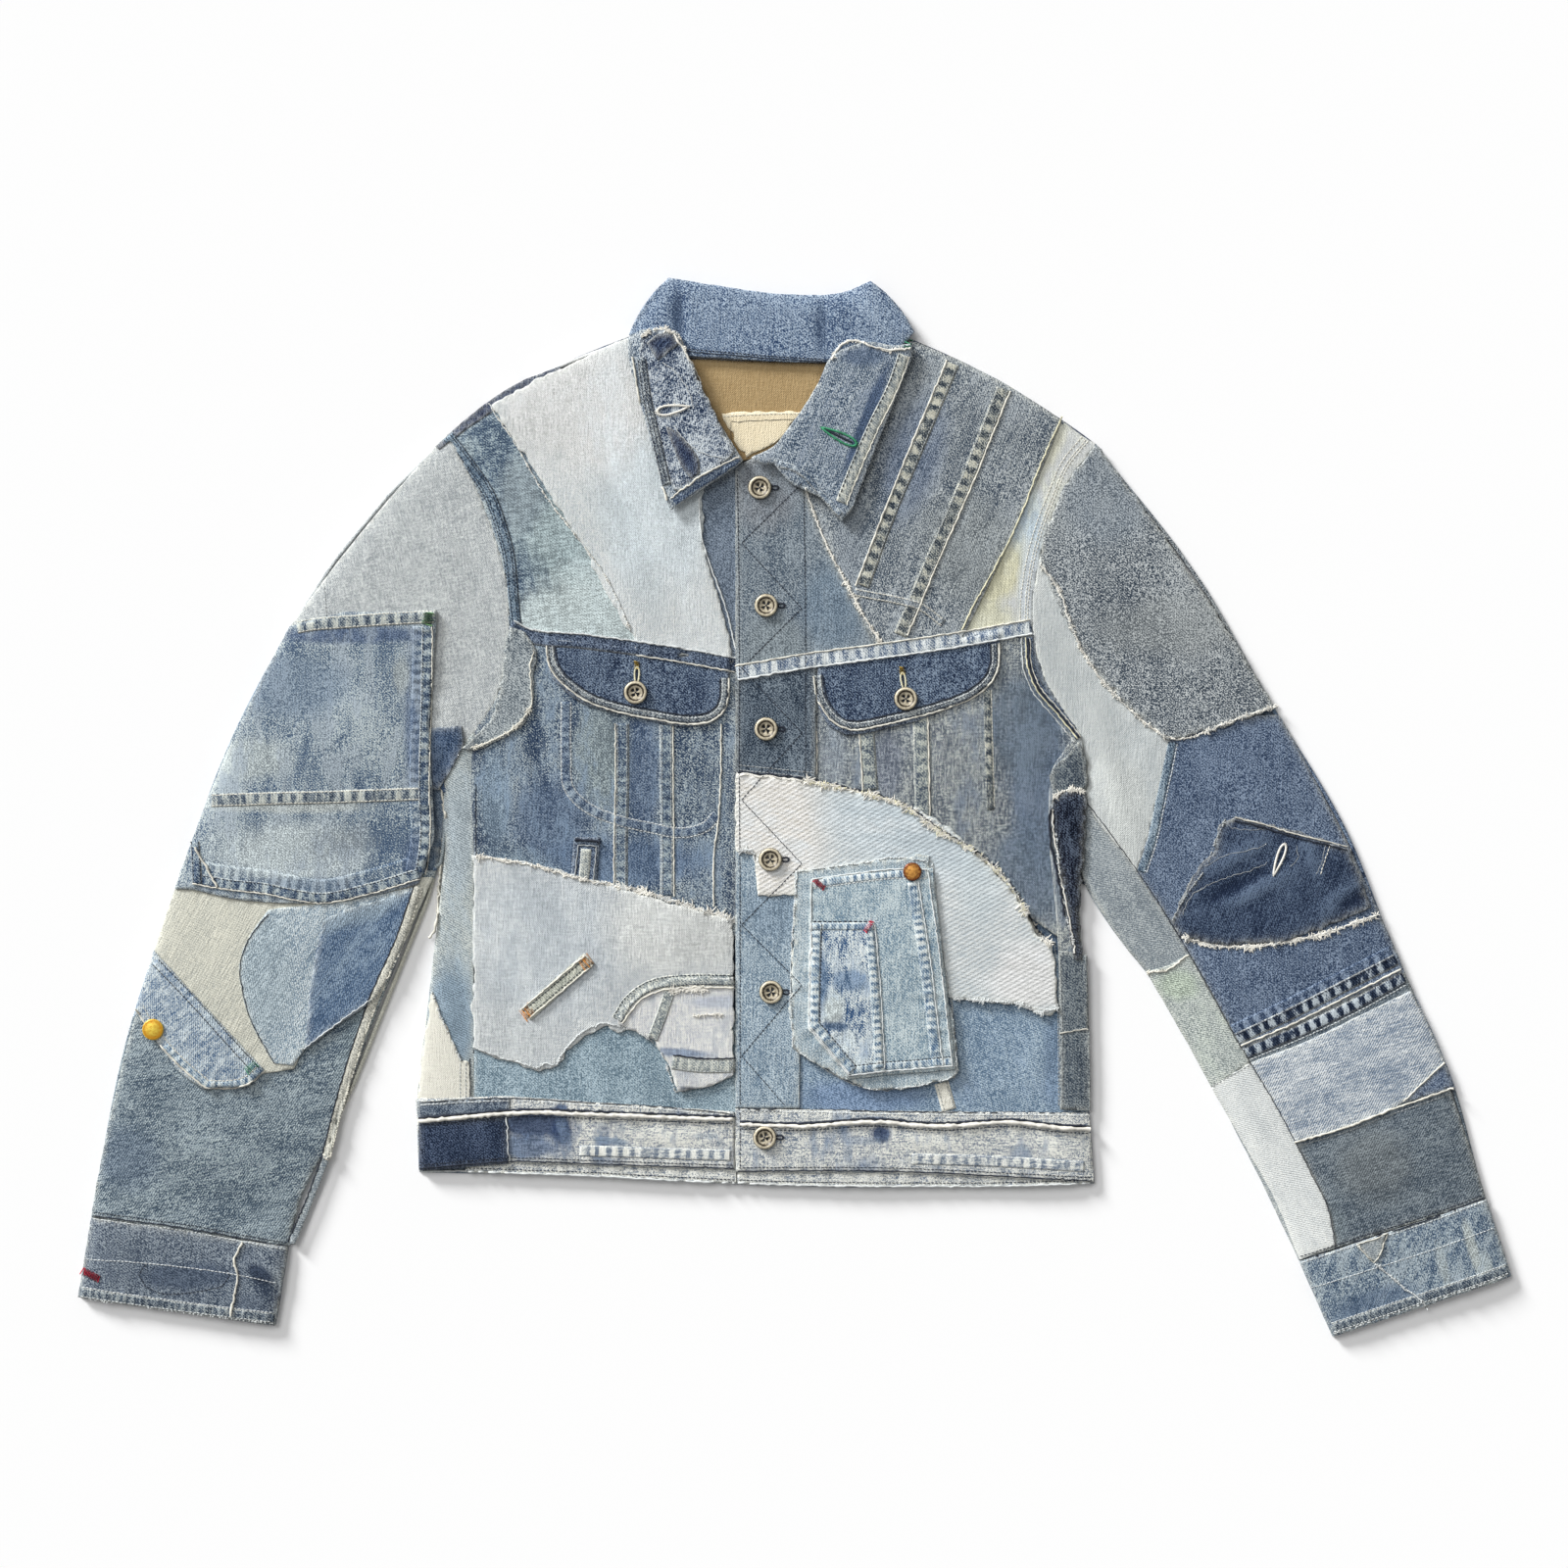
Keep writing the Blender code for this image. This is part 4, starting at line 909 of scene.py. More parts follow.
    def ribbon(
        self, name: str, cloth: Denim, path: Path, width: float, rise: float = 0.45, replaces: Sequence[str] = ()
    ) -> bpy.types.Object:
        """Sews a narrow band of cloth along a path, with a soft rounded back.

        Args:
            name: The piece's name.
            cloth: Its finish.
            path: Its middle line.
            width: Its width.
            rise: How far its middle stands above its sides.
            replaces: The frame's nodes that it stands for.

        Returns:
            The finished object.
        """
        line = rounded(path, 1.8)
        walked, sides = lengths_of(line), sides_of(line)
        mesh = bmesh.new()
        bmesh.ops.create_grid(mesh, x_segments=len(line) - 1, y_segments=6, size=1)
        for vert in mesh.verts:
            index = round((vert.co.x + 1) / 2 * (len(line) - 1))
            across = vert.co.y
            x, y = line[index] + sides[index] * across * width / 2
            bend = 0.12 * math.sin(walked[index] * 1.05) * (1 - across**2)
            vert.co = (x, y, rise * (1 - across**4) + bend)
        xy = np.array([vert.co[:2] for vert in mesh.verts])
        for vert, height in zip(mesh.verts, self.heights(xy)):
            vert.co.z += height + 0.12
        mesh.normal_update()
        self.lay(mesh, cloth)
        grown = bmesh.ops.extrude_face_region(mesh, geom=mesh.faces[:])["geom"]
        under = [part for part in grown if isinstance(part, bmesh.types.BMVert)]
        bmesh.ops.translate(mesh, vec=(0, 0, -0.5), verts=under)
        xy = np.array([vert.co[:2] for vert in mesh.verts])
        piece = self.keep(f"{name}_band", mesh, cloth)
        gap, along = near_path(xy, [tuple(point) for point in line])
        across = np.clip(gap / (width / 2), 0, 1)
        self.note(piece, "along", along)
        self.note(piece, "across", across)
        self.note(piece, "edge", np.clip(across * 3 - 2, 0, 1))
        self.note(piece, "crest", np.zeros(len(xy)))
        if replaces:
            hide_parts(*replaces)
        return piece

    def yarn(self, thread: Thread, points: np.ndarray, radii: np.ndarray | float, sides: int = 0) -> None:
        """Keeps one length of thread, which tie_off turns into a mesh."""
        widths = np.broadcast_to(radii, (len(points),))
        self.yarns.setdefault((thread, sides), []).append((points, widths))

    def stitch(self, path: Path, thread: Thread, row: Row = Row.TOP, offset: float = 0.0) -> None:
        """Sews a row of stitches along a path, or beside it to its left."""
        pitch, length, radius = row.value
        line = rounded(path, 2.0)
        line = line + sides_of(line) * offset
        walked = lengths_of(line)
        starts = np.arange(0.3, walked[-1] - length, pitch)
        places = np.concatenate([starts, starts + length / 2, starts + length])
        xy = np.stack([np.interp(places, walked, line[:, axis]) for axis in (0, 1)], axis=1)
        xy += self.rng.normal(0, 0.1, xy.shape)
        z = self.heights(xy)
        count = len(starts)
        for index in range(count):
            picks = (index, index + count, index + 2 * count)
            points = np.array([(*xy[pick], z[pick]) for pick in picks])
            points[:, 2] += (-0.25, radius * 0.7, -0.25)
            self.yarn(thread, points, radius)

    def cord(self, path: Path, thread: Thread, radius: float = 0.7, wobble: float = 0.15, sink: float = 0.3) -> None:
        """Lays a continuous cord or folded edge along a path."""
        line = rounded(path, 2.4)
        line = line + self.rng.normal(0, max(wobble, 0.2), line.shape)
        z = self.heights(line) + radius * (1 - sink)
        widths = radius * self.rng.uniform(0.6, 1.1, len(line))
        self.yarn(thread, np.column_stack([line, z]), widths, 1)

    def fray(
        self, path: Path, thread: Thread, length: float = 3.0, per_mm: float = 1.0, spread: float = 0.9, lean: float = 0.0
    ) -> None:
        """Pulls loose yarns out of a raw edge.

        Args:
            path: The edge.
            thread: The yarns' finish.
            length: How long the longest are.
            per_mm: How many there are to a millimetre.
            spread: How far they turn away from square, in radians.
            lean: -1 for yarns on the path's right only, 1 for the left only, 0 for both sides.
        """
        line = rounded(path, 1.5)
        walked, sides = lengths_of(line), sides_of(line)
        for place in self.rng.uniform(0, walked[-1], int(walked[-1] * per_mm * 1.3)):
            clump = 0.5 + 0.5 * math.sin(place / 3.1 + 2.3 * math.sin(place / 11.0))
            if self.rng.random() > 0.35 + 0.65 * clump:
                continue
            root = np.array([np.interp(place, walked, line[:, axis]) for axis in (0, 1)])
            side = sides[min(len(sides) - 1, int(np.searchsorted(walked, place)))]
            side = side * (lean if lean else self.rng.choice((-1.0, 1.0)))
            start = math.atan2(side[1], side[0]) + self.rng.normal(0, spread)
            turns = start + self.rng.normal(0, 0.8) * np.arange(3)
            reach = length * self.rng.beta(1.8, 2.2) * (0.6 + 0.6 * clump)
            steps = np.vstack([[0.0, 0.0], np.column_stack([np.cos(turns), np.sin(turns)]) * reach / 3])
            points = root - steps[1] * 0.5 + np.cumsum(steps, axis=0)
            z = self.probe(*root)[0] + np.array([0.1, 0.6, 0.7, self.rng.uniform(0.1, 0.9)])
            self.yarn(thread, np.column_stack([points, z]), np.array([0.45, 0.5, 0.42, 0.25]))

    def bartack(self, x: float, y: float, angle: float, long: float, wide: float, thread: Thread) -> None:
        """Sews a short, dense zigzag across the end of a seam."""
        turn = math.radians(angle)
        along, across = np.array([math.cos(turn), math.sin(turn)]), np.array([-math.sin(turn), math.cos(turn)])
        count = max(5, round(long / 0.5))
        line = []
        for index in range(count + 1):
            half = wide / 2 * (1 if index % 2 else -1) * self.rng.uniform(0.75, 1.1)
            line.append(np.array([x, y]) + along * long * (index / count - 0.5) + across * half)
        points = np.array(line)
        self.yarn(thread, np.column_stack([points, self.heights(points) + 0.4]), 0.42)

    def buttonhole(
        self, x: float, y: float, angle: float, long: float, wide: float, thread: Thread, slit: Thread | None = None
    ) -> None:
        """Works a keyhole buttonhole: a loop of close stitches round a slit."""
        turn = math.radians(angle)
        along, across = np.array([math.cos(turn), math.sin(turn)]), np.array([-math.sin(turn), math.cos(turn)])
        loop = []
        for share in np.linspace(0, 1, 25):
            around = 2 * math.pi * share
            broad = 0.5 + 0.5 * math.cos(around)
            loop.append(
                np.array([x, y])
                + along * long / 2 * math.cos(around)
                + across * wide / 2 * math.sin(around) * (0.3 + 0.7 * broad)
            )
        points = np.array(loop)
        z = self.heights(points) + 0.3
        self.yarn(thread, np.column_stack([points, z]), min(0.8, wide * 0.13), 1)
        for index in range(len(points) - 1):
            middle = (points[index] + points[index + 1]) / 2
            away = middle - np.array([x, y])
            away /= max(0.1, np.hypot(*away))
            tip = np.array([middle - away * wide * 0.14, middle + away * wide * 0.22])
            self.yarn(thread, np.column_stack([tip, np.full(2, z[index] + 0.22)]), 0.26)
        if slit is not None:
            ends = np.array([np.array([x, y]) - along * long * 0.38, np.array([x, y]) + along * long * 0.36])
            self.yarn(slit, np.column_stack([ends, self.heights(ends) + 0.1]), wide * 0.1, 1)

    def tie_off(self, name: str) -> list[bpy.types.Object]:
        """Turns the kept lengths of thread into one mesh for each finish and thickness.

        Args:
            name: What the threads belong to.

        Returns:
            The finished objects.
        """
        made = []
        for (thread, sides), strands in self.yarns.items():
            curve = bpy.data.curves.new("strands", "CURVE")
            curve.dimensions = "3D"
            curve.bevel_depth = MM
            curve.bevel_resolution = sides
            curve.use_fill_caps = True
            for points, radii in strands:
                spline = curve.splines.new("POLY")
                spline.points.add(len(points) - 1)
                row = np.column_stack([points * MM, np.ones(len(points))]).astype(np.float32)
                spline.points.foreach_set("co", row.ravel())
                spline.points.foreach_set("radius", np.asarray(radii, np.float32))
                spline.use_smooth = True
            holder = bpy.data.objects.new("strands", curve)
            bpy.context.scene.collection.objects.link(holder)
            graph = bpy.context.evaluated_depsgraph_get()
            data = bpy.data.meshes.new_from_object(holder.evaluated_get(graph))
            bpy.data.objects.remove(holder)
            data.materials.clear()
            data.materials.append(thread.material())
            kind = "cord" if sides else "stitching"
            piece = bpy.data.objects.new(f"{name}_{thread.name}_{kind}", data)
            data.name = piece.name
            bpy.context.scene.collection.objects.link(piece)
            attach(piece, BODY)
            made.append(piece)
        self.yarns.clear()
        return made


# ---------------------------------------------------------------- sub-assemblies


@dataclass
class Assembly:
    """A sub-assembly of the jacket, made on the work table."""

    bench: Bench
    name: str = "assembly"

    def build(self) -> None:
        """Makes the pieces; every sub-assembly has its own way."""
        raise NotImplementedError

    def make(self) -> None:
        """Builds the pieces, ties off their threads and reports them."""
        before = set(bpy.data.objects)
        self.build()
        self.bench.tie_off(self.name)
        for piece in sorted(set(bpy.data.objects) - before, key=lambda one: one.name):
            log.info("%s: %s, %d faces", self.name, piece.name, len(piece.data.polygons))

    def two_rows(self, path: Path, thread: Thread, gap: float, row: Row = Row.TOP, offset: float = 0.0) -> None:
        """Sews two parallel rows of stitches, gap apart."""
        self.bench.stitch(path, thread, row, offset + gap / 2)
        self.bench.stitch(path, thread, row, offset - gap / 2)

    def felled(
        self, name: str, cloth: Denim, path: Path, width: float, thread: Thread, row: Row = Row.FINE, rise: float = 0.45
    ) -> None:
        """Makes a felled seam: a raised band of cloth with a row of stitches near each side."""
        self.bench.ribbon(name, cloth, path, width, rise)
        self.two_rows(path, thread, width - 1.9, row)


@dataclass
class Back(Assembly):
    """The back of the garment: the layer that lies on the table."""

    name: str = "back"

    def build(self) -> None:
        """Lays the five panels of the back."""
        self.bench.cut("back_yoke", BACK_NAVY, None)
        for panel in ("back_body", "back_hem", "right_sleeve_under", "left_sleeve_under"):
            self.bench.cut(panel, INDIGO, None)


@dataclass
class Collar(Assembly):
    """Neck lining, bare label, collar and its two patched leaves."""

    name: str = "collar"
    neck_seam: Path = ((-82, 325.5), (-49.5, 322.5), (-21, 320), (3, 318.5), (28.5, 317))
    label_frame: Path = ((-45.5, 253.5), (-45.5, 275), (5, 277))
    right_patch: Path = ((-109, 332.5), (-105.5, 338), (-96, 340), (-83.5, 338), (-78.5, 327.5), (-68, 302.5), (-58, 280), (-42, 252.5), (-66.5, 235), (-84.5, 224.5), (-90.5, 236.5), (-98.5, 263), (-106.5, 298))
    right_navy_top: Path = ((-105, 330.5), (-97.5, 336.5), (-87.5, 336.5), (-82, 330.5), (-89, 325), (-97.5, 318.5))
    right_navy_low: Path = ((-91.5, 271), (-83.5, 266), (-75, 257.5), (-68.5, 246.5), (-68, 238), (-73.5, 234), (-80, 242), (-86, 256))
    right_veins: tuple[Path, ...] = (
        ((-86, 271.5), (-77.5, 260.5), (-66.5, 252.5), (-52.5, 249)),
        ((-94.5, 316.5), (-84.5, 309.5), (-77, 298), (-72, 284)),
    )
    right_outer: Path = ((-115.5, 320.5), (-111.5, 295.5), (-105, 264.5), (-98, 238), (-91, 219))
    right_rope: Path = ((-109, 319), (-105, 291), (-98.5, 262), (-91, 229.5))
    right_band: Path = ((-86, 217.5), (-65, 232.5), (-38.5, 246.5))
    left_seam: Path = ((77.5, 322), (69.5, 299.5), (56.5, 273), (43.5, 243.5), (33, 217))
    left_top: Path = ((26.5, 319), (29.5, 326), (35.5, 331), (43.5, 332.5), (52.5, 329), (66, 325), (74, 326), (82, 327))
    left_lower: Path = ((-12, 243.5), (3, 238), (17.5, 222.5), (31.5, 207))

    def build(self) -> None:
        """Builds the collar from the neck outwards."""
        self.neck()
        self.right_leaf()
        self.left_leaf()

    def neck(self) -> None:
        """The lining, the label and the collar's inner face."""
        bench = self.bench
        bench.cut("neck_lining", LINING, 0)
        bench.cut("neck_label", LABEL, 1, edge=Edge.RAW)
        bench.cord(self.label_frame, NAVY_THREAD, 0.18)
        bench.stitch(((-52, 280), (-23, 281.5), (4, 282)), CREAM_THREAD, Row.FINE, -1.2)
        bench.cut("collar_back", COLLAR_BLUE, 2, plies=2, bulge=0.8)
        bench.stitch(self.neck_seam, NAVY_THREAD, Row.FINE, 1.6)
        bench.cord(self.neck_seam, NAVY_THREAD, 0.35)

    def right_leaf(self) -> None:
        """The wearer's right leaf: dark patches under crackled pale veins."""
        bench = self.bench
        bench.cut("right_collar_leaf", LEAF_BLUE, 4, plies=2, bulge=0.8)
        bench.cut("right_leaf_patch", LEAF_NAVY, 6.2, self.right_patch, Edge.RAW)
        bench.cut("right_leaf_navy_top", LEAF_DEEP, 6.6, self.right_navy_top)
        bench.cut("right_leaf_navy_low", LEAF_DEEP, 6.6, self.right_navy_low)
        bench.fray(((-109, 334), (-103, 339), (-93, 340), (-82, 335.5), (-77.5, 325)), RAW_COTTON, 5.0, 4.0)
        bench.cord(((-86, 336), (-80, 327), (-73.5, 316.5), (-66.5, 302.5)), RAW_COTTON, 0.8, 0.3)
        bench.ribbon("right_leaf_seam", FLAP_ROPE, self.right_rope, 6.5, 0.3)
        self.two_rows(self.right_rope, NAVY_THREAD, 5.2, Row.FINE)
        bench.stitch(self.right_rope, NAVY_THREAD, Row.FINE)
        bench.cord(self.right_outer, CREAM_THREAD, 0.85)
        bench.ribbon("right_leaf_band", UNDER_COLLAR, self.right_band, 7.5)
        bench.cord(shifted(self.right_band, 3.4), CREAM_THREAD, 0.7, 0.3)
        for path in self.right_veins:
            bench.cord(path, WHITE_THREAD, 0.3, 0.3)
        bench.buttonhole(-87, 283, 190, 22, 9.0, RAW_COTTON)

    def left_leaf(self) -> None:
        """The wearer's left leaf: a green buttonhole beside a pale felled seam."""
        bench = self.bench
        bench.cut("left_collar_leaf", LEFT_LEAF, 4, plies=2, bulge=0.8)
        bench.ribbon("left_leaf_seam", COLLAR_EDGE, self.left_seam, 8.0)
        bench.stitch(shifted(self.left_seam, -3.0), NAVY_THREAD)
        bench.cord(shifted(self.left_seam, 4.3), CREAM_THREAD, 0.5, 0.2)
        bench.cord(self.left_top, RAW_COTTON, 0.9, 0.4)
        bench.fray(self.left_top, RAW_COTTON, 3.5, 2.0)
        bench.ribbon("left_leaf_band", LEAF_BLUE, shifted(self.left_lower, 1.6), 4.0, 0.3)
        bench.fray(shifted(self.left_lower, -0.5), GREY_THREAD, 2.0, 1.2)
        bench.buttonhole(31.5, 264, -26, 27, 8.5, GREEN_THREAD, NAVY_THREAD)
        bench.bartack(80.5, 330.5, 70, 8, 5, GREEN_THREAD)


@dataclass
class RightFront(Assembly):
    """The wearer's right front, from the shoulder to the hem seam."""

    name: str = "right_front"
    armhole_outer: Path = ((-251.5, 262.5), (-238, 245), (-223.5, 224.5), (-214, 200), (-208.5, 178), (-206, 150), (-203.5, 129))
    armhole_inner: Path = ((-243.5, 267.5), (-227.5, 245.5), (-213.5, 223.5), (-204.5, 200), (-199, 178), (-196.5, 153.5), (-194.5, 131.5))
    yoke_raw: Path = ((-218.5, 288.5), (-198, 257), (-178, 222.5), (-159, 197.5), (-137, 168), (-126, 147.5), (-117, 126))
    yoke_front: Path = ((-68.5, 220), (-66, 191), (-59, 169.5), (-49.5, 143), (-42, 112.5))
    button_stand: Path = ((-71, 228), (-38, 243), (-4, 250), (-4, -256), (-41.5, -256), (-41.5, 95), (-58, 137), (-71, 181))
    shoulder_fold: Path = ((-256, 257.5), (-238.5, 273.5), (-217.5, 290), (-196.5, 303), (-167.5, 314.5), (-167.5, 311), (-196.5, 297), (-217.5, 282), (-238.5, 267.5), (-253.5, 255.5))
    tape: Path = ((-203, 129), (-192, 123), (-152, 118.5), (-112.5, 113.5), (-77.5, 108), (-42, 101.5))
    flap_rim: Path = ((-177, 115), (-175.5, 103), (-169.5, 92.5), (-160.5, 84), (-146.5, 75), (-127.5, 68.5), (-101, 63), (-72, 59.5), (-58, 62.5), (-51, 68.5), (-47.5, 77), (-47, 92.5))
    strip_one: Path = ((-123, 60), (-123, 17), (-124, -25), (-124, -56.5))
    strip_two: Path = ((-91.5, 59), (-91.5, 17), (-91, -25), (-91, -63))
    strip_three: Path = ((-52.5, 60), (-53, 17), (-54.5, -8.5), (-57.5, -32), (-58, -70.5))
    pocket_seam: Path = ((-163, 75.5), (-163, 38), (-161, 14), (-150, 1.5), (-128, -8.5), (-104.5, -14), (-80.5, -18), (-63.5, -13.5), (-55.5, -5))
    arm_strip: Path = ((-203, 128), (-192.5, 124.5), (-185.5, 113.5), (-186, 94), (-187.5, 71.5), (-194.5, 60), (-206, 52), (-217.5, 46), (-228, 42), (-236, 42.5), (-220.5, 58), (-210.5, 77), (-208, 94), (-206, 112))
    arm_strip_edge: Path = ((-186, 112), (-188.5, 99.5), (-188.5, 71.5), (-195.5, 61), (-206, 52.5), (-217.5, 47), (-229, 42.5))
    side_seam: Path = ((-227.5, 17), (-227.5, -53), (-228, -123), (-229, -175))
    side_fray: Path = ((-255, 19), (-251.5, 9), (-250, -4), (-251.5, -26.5), (-253.5, -53), (-255, -75.5))
    lower_top: Path = ((-227, -34.5), (-202.5, -38), (-180.5, -42.5), (-159.5, -49), (-140, -53), (-125.5, -56), (-105.5, -61), (-86, -66.5), (-72, -72), (-54, -76.5), (-42.5, -81))
    lower_bottom: Path = ((-229, -171), (-211.5, -177), (-182.5, -186), (-179, -182.5), (-170, -183.5), (-163, -172), (-152.5, -161), (-138, -154), (-124, -156))
    cream_corner: Path = ((-259, -131.5), (-251.5, -151), (-243.5, -168), (-238, -180.5), (-231.5, -180.5), (-231.5, -210), (-269.5, -210), (-266.5, -186), (-262.5, -158))
    inset_arc: Path = ((-126.5, -151), (-117.5, -137), (-101.5, -126.5), (-77, -123), (-42, -123))
    inset_bite: Path = ((-124, -156), (-104.5, -164.5), (-95, -175.5), (-89.5, -189.5), (-84.5, -204.5))
    inset_ticket: Path = ((-89, -131), (-94.5, -147), (-101.5, -165))
    inset_fell: Path = ((-87.5, -181.5), (-67, -184), (-42, -184))
    belt_loop: Path = ((-192, -147), (-147, -109))

    def build(self) -> None:
        """Builds the front from its lowest plies to its topmost trims."""
        self.stand()
        self.shoulder()
        self.chest()
        self.side()
        self.lower()
        self.inset()

    def stand(self) -> None:
        """The button stand, which the left front covers in part."""
        self.bench.cut("right_button_stand", STAND, 0, self.button_stand, replaces=("right_button_stand",))

    def shoulder(self) -> None:
        """The shoulder, its armhole band and the pale yoke with raw edges."""
        bench = self.bench
        bench.cut("right_shoulder", SHOULDER, 0)
        bench.cut("right_shoulder_fold", BACK_NAVY, 0.4, self.shoulder_fold, Edge.SEWN)
        middle = [((a[0] + b[0]) / 2, (a[1] + b[1]) / 2) for a, b in zip(self.armhole_outer, self.armhole_inner)]
        bench.ribbon("right_armhole_band", ARM_BAND, middle, 9.0, 0.3)
        for row in (-3.8, -2.0, 2.0, 3.8):
            bench.stitch(middle, NAVY_THREAD, Row.FINE, row)
        bench.cut("right_yoke", PALE_YOKE, 1, edge=Edge.RAW)
        bench.cord(self.yoke_raw, WHITE_THREAD, 0.5, 0.35)
        bench.fray(self.yoke_raw, RAW_COTTON, 1.8, 0.9)
        bench.cord(self.yoke_front, WHITE_THREAD, 0.7, 0.2)

    def chest(self) -> None:
        """The streaked chest with its pocket, flap and felled strips, under the dark tape."""
        bench = self.bench
        bench.cut("right_chest", CHEST_R, 0)
        bench.ribbon("right_chest_strip_one", STRIP_PALE, self.strip_one, 10.0, 0.5)
        bench.ribbon("right_chest_strip_two", STRIP_PALE, self.strip_two, 10.0, 0.5)
        bench.cord(shifted(self.strip_one, -4.8), CREAM_THREAD, 0.6)
        bench.cord(shifted(self.strip_two, 4.8), CREAM_THREAD, 0.55)
        self.two_rows(self.strip_one, GREY_THREAD, 6.5, Row.FINE)
        self.two_rows(self.strip_two, GREY_THREAD, 6.5, Row.FINE)
        bench.cord(self.strip_three, CREAM_THREAD, 0.65)
        bench.ribbon("right_pocket_seam", POCKET_SEAM, self.pocket_seam, 7.0, 0.3)
        self.two_rows(self.pocket_seam, WHITE_THREAD, 7.0, Row.FINE)
        self.small_loop()
        bench.cut("right_flap", FLAP, 1, bulge=0.5)
        bench.ribbon("right_flap_rim", FLAP_ROPE, shifted(self.flap_rim, 3.0), 5.2, 0.35)
        bench.cord(self.flap_rim, CREAM_THREAD, 0.75)
        bench.stitch(shifted(self.flap_rim, 1.6), NAVY_THREAD, Row.FINE)
        bench.cord(shifted(self.flap_rim, 6.4), NAVY_THREAD, 0.5, 0.15)
        bench.stitch(shifted(self.flap_rim, 4.4), WHITE_THREAD, Row.FINE)
        bench.ribbon("right_yoke_tape", TAPE_NAVY, self.tape, 11.0, 0.5, replaces=("right_yoke_tape",))
        bench.cord(shifted(self.tape, 5.0), WHITE_THREAD, 0.7, 0.25)
        bench.fray(shifted(self.tape, 5.2), WHITE_THREAD, 1.8, 0.9)
        bench.cord(shifted(self.tape[3:], -5.0), CREAM_THREAD, 0.6)
        bench.bartack(-112.5, 101.5, 90, 5.5, 4.2, GOLD_THREAD)
        bench.buttonhole(-112.5, 93, 88, 14, 4.6, YELLOW_THREAD, NAVY_THREAD)
        bench.cut("right_armhole_strip", ARM_STRIP, 1, self.arm_strip, Edge.RAW)
        bench.cord(self.arm_strip_edge, CREAM_THREAD, 0.6, 0.4)
        bench.fray(self.arm_strip_edge[2:], CREAM_THREAD, 4.2, 3.0)

    def small_loop(self) -> None:
        """A narrow loop that stands up out of the frayed edge."""
        bench = self.bench
        bench.cut("right_small_loop", FLAP, 0.8, ((-159.5, -52), (-157, -21.5), (-139.5, -21.5), (-141.5, -54.5)), Edge.SEWN)
        bench.ribbon("right_small_loop_face", INSET_BAND, ((-150.5, -53), (-148.5, -29.5)), 7.5, 0.6)
        bench.cord(((-157, -51), (-154, -26.5), (-141.5, -27.5), (-143.5, -54)), GREY_THREAD, 0.5)
        bench.cord(((-156, -23), (-139.5, -24)), NAVY_THREAD, 1.2)

    def side(self) -> None:
        """The side panel with its cream corner and the frayed edge that hangs down it."""
        bench = self.bench
        bench.cut("right_side_panel", SIDE_R, 0)
        bench.cut("right_cream_corner", CREAM, 0.7, self.cream_corner, Edge.RAW)
        bench.fray(self.cream_corner[:4], WHITE_THREAD, 2.2, 1.2)
        bench.stitch(((-238.5, -182), (-238.5, -208.5)), GREY_THREAD, Row.FINE)
        bench.stitch(((-234.5, -182), (-234.5, -208.5)), GREY_THREAD, Row.FINE)
        bench.cord(((-231.5, -179), (-231.5, -208.5)), NAVY_THREAD, 0.3)
        bench.cord(self.side_seam, NAVY_THREAD, 0.3, 0.1, 0.6)
        bench.cord(self.side_fray, CREAM_THREAD, 0.9, 0.5)
        bench.fray(self.side_fray, CREAM_THREAD, 3.6, 3.0)
        bench.cord(((-255, -75.5), (-256, -84), (-258.5, -90.5), (-261, -93)), CREAM_THREAD, 1.1, 0.3)

    def lower(self) -> None:
        """The pale patch with a frayed top, over the blue bottom panel, with its slanted loop."""
        bench = self.bench
        bench.cut("right_bottom_panel", BOTTOM_R, 0)
        bench.cut("right_lower_panel", LOWER_R, 1, edge=Edge.RAW)
        bench.fray(self.lower_top[:6], RAW_COTTON, 5.0, 2.0)
        bench.fray(self.lower_top[5:], RAW_COTTON, 8.0, 4.0)
        bench.fray(self.lower_top[4:], WHITE_THREAD, 5.0, 3.0)
        bench.cord(self.lower_top, RAW_COTTON, 0.6, 0.8)
        bench.fray(self.lower_bottom, WHITE_THREAD, 1.8, 1.0)
        bench.cord(self.lower_bottom, WHITE_THREAD, 0.5, 0.5)
        bench.cut("right_belt_loop", LOOP_GREEN, 2, bulge=0.3)
        self.two_rows(self.belt_loop, NAVY_THREAD, 5.0, Row.FINE)
        for side in (-4.3, 4.3):
            bench.cord(shifted(self.belt_loop, side), CREAM_THREAD, 0.6, 0.1)
        for x, y in ((-189, -144), (-192, -147), (-150, -111.5), (-147, -109)):
            bench.bartack(x, y, 40, 4.5, 9.5, ORANGE_THREAD)

    def inset(self) -> None:
        """The curved pocket mouth of an older garment, set into the patch."""
        bench = self.bench
        bench.cut("right_hip_inset", INSET, 2, edge=Edge.RAW)
        self.felled("right_inset_arc", INSET_BAND, self.inset_arc, 8.5, NAVY_THREAD)
        bench.cord(shifted(self.inset_arc, -5.4), CREAM_THREAD, 0.7, 0.4)
        self.felled("right_inset_ticket", INSET_BAND, self.inset_ticket, 8.0, GREY_THREAD)
        self.felled("right_inset_fell", INSET_BAND, self.inset_fell, 10.0, GREY_THREAD)
        # A navy cord along the top of the felled band: painted shadow beside the band.
        bench.cord(shifted(self.inset_fell, 5.4), NAVY_THREAD, 0.6, 0.2)
        bench.fray(((-89, -131), (-75, -129.5), (-62.5, -130)), RAW_COTTON, 6.0, 5.0)
        bench.fray(((-72, -148.5), (-62.5, -147.5), (-51, -147.5)), RAW_COTTON, 4.0, 2.6)
        bench.fray(self.inset_bite, WHITE_THREAD, 2.2, 1.4)


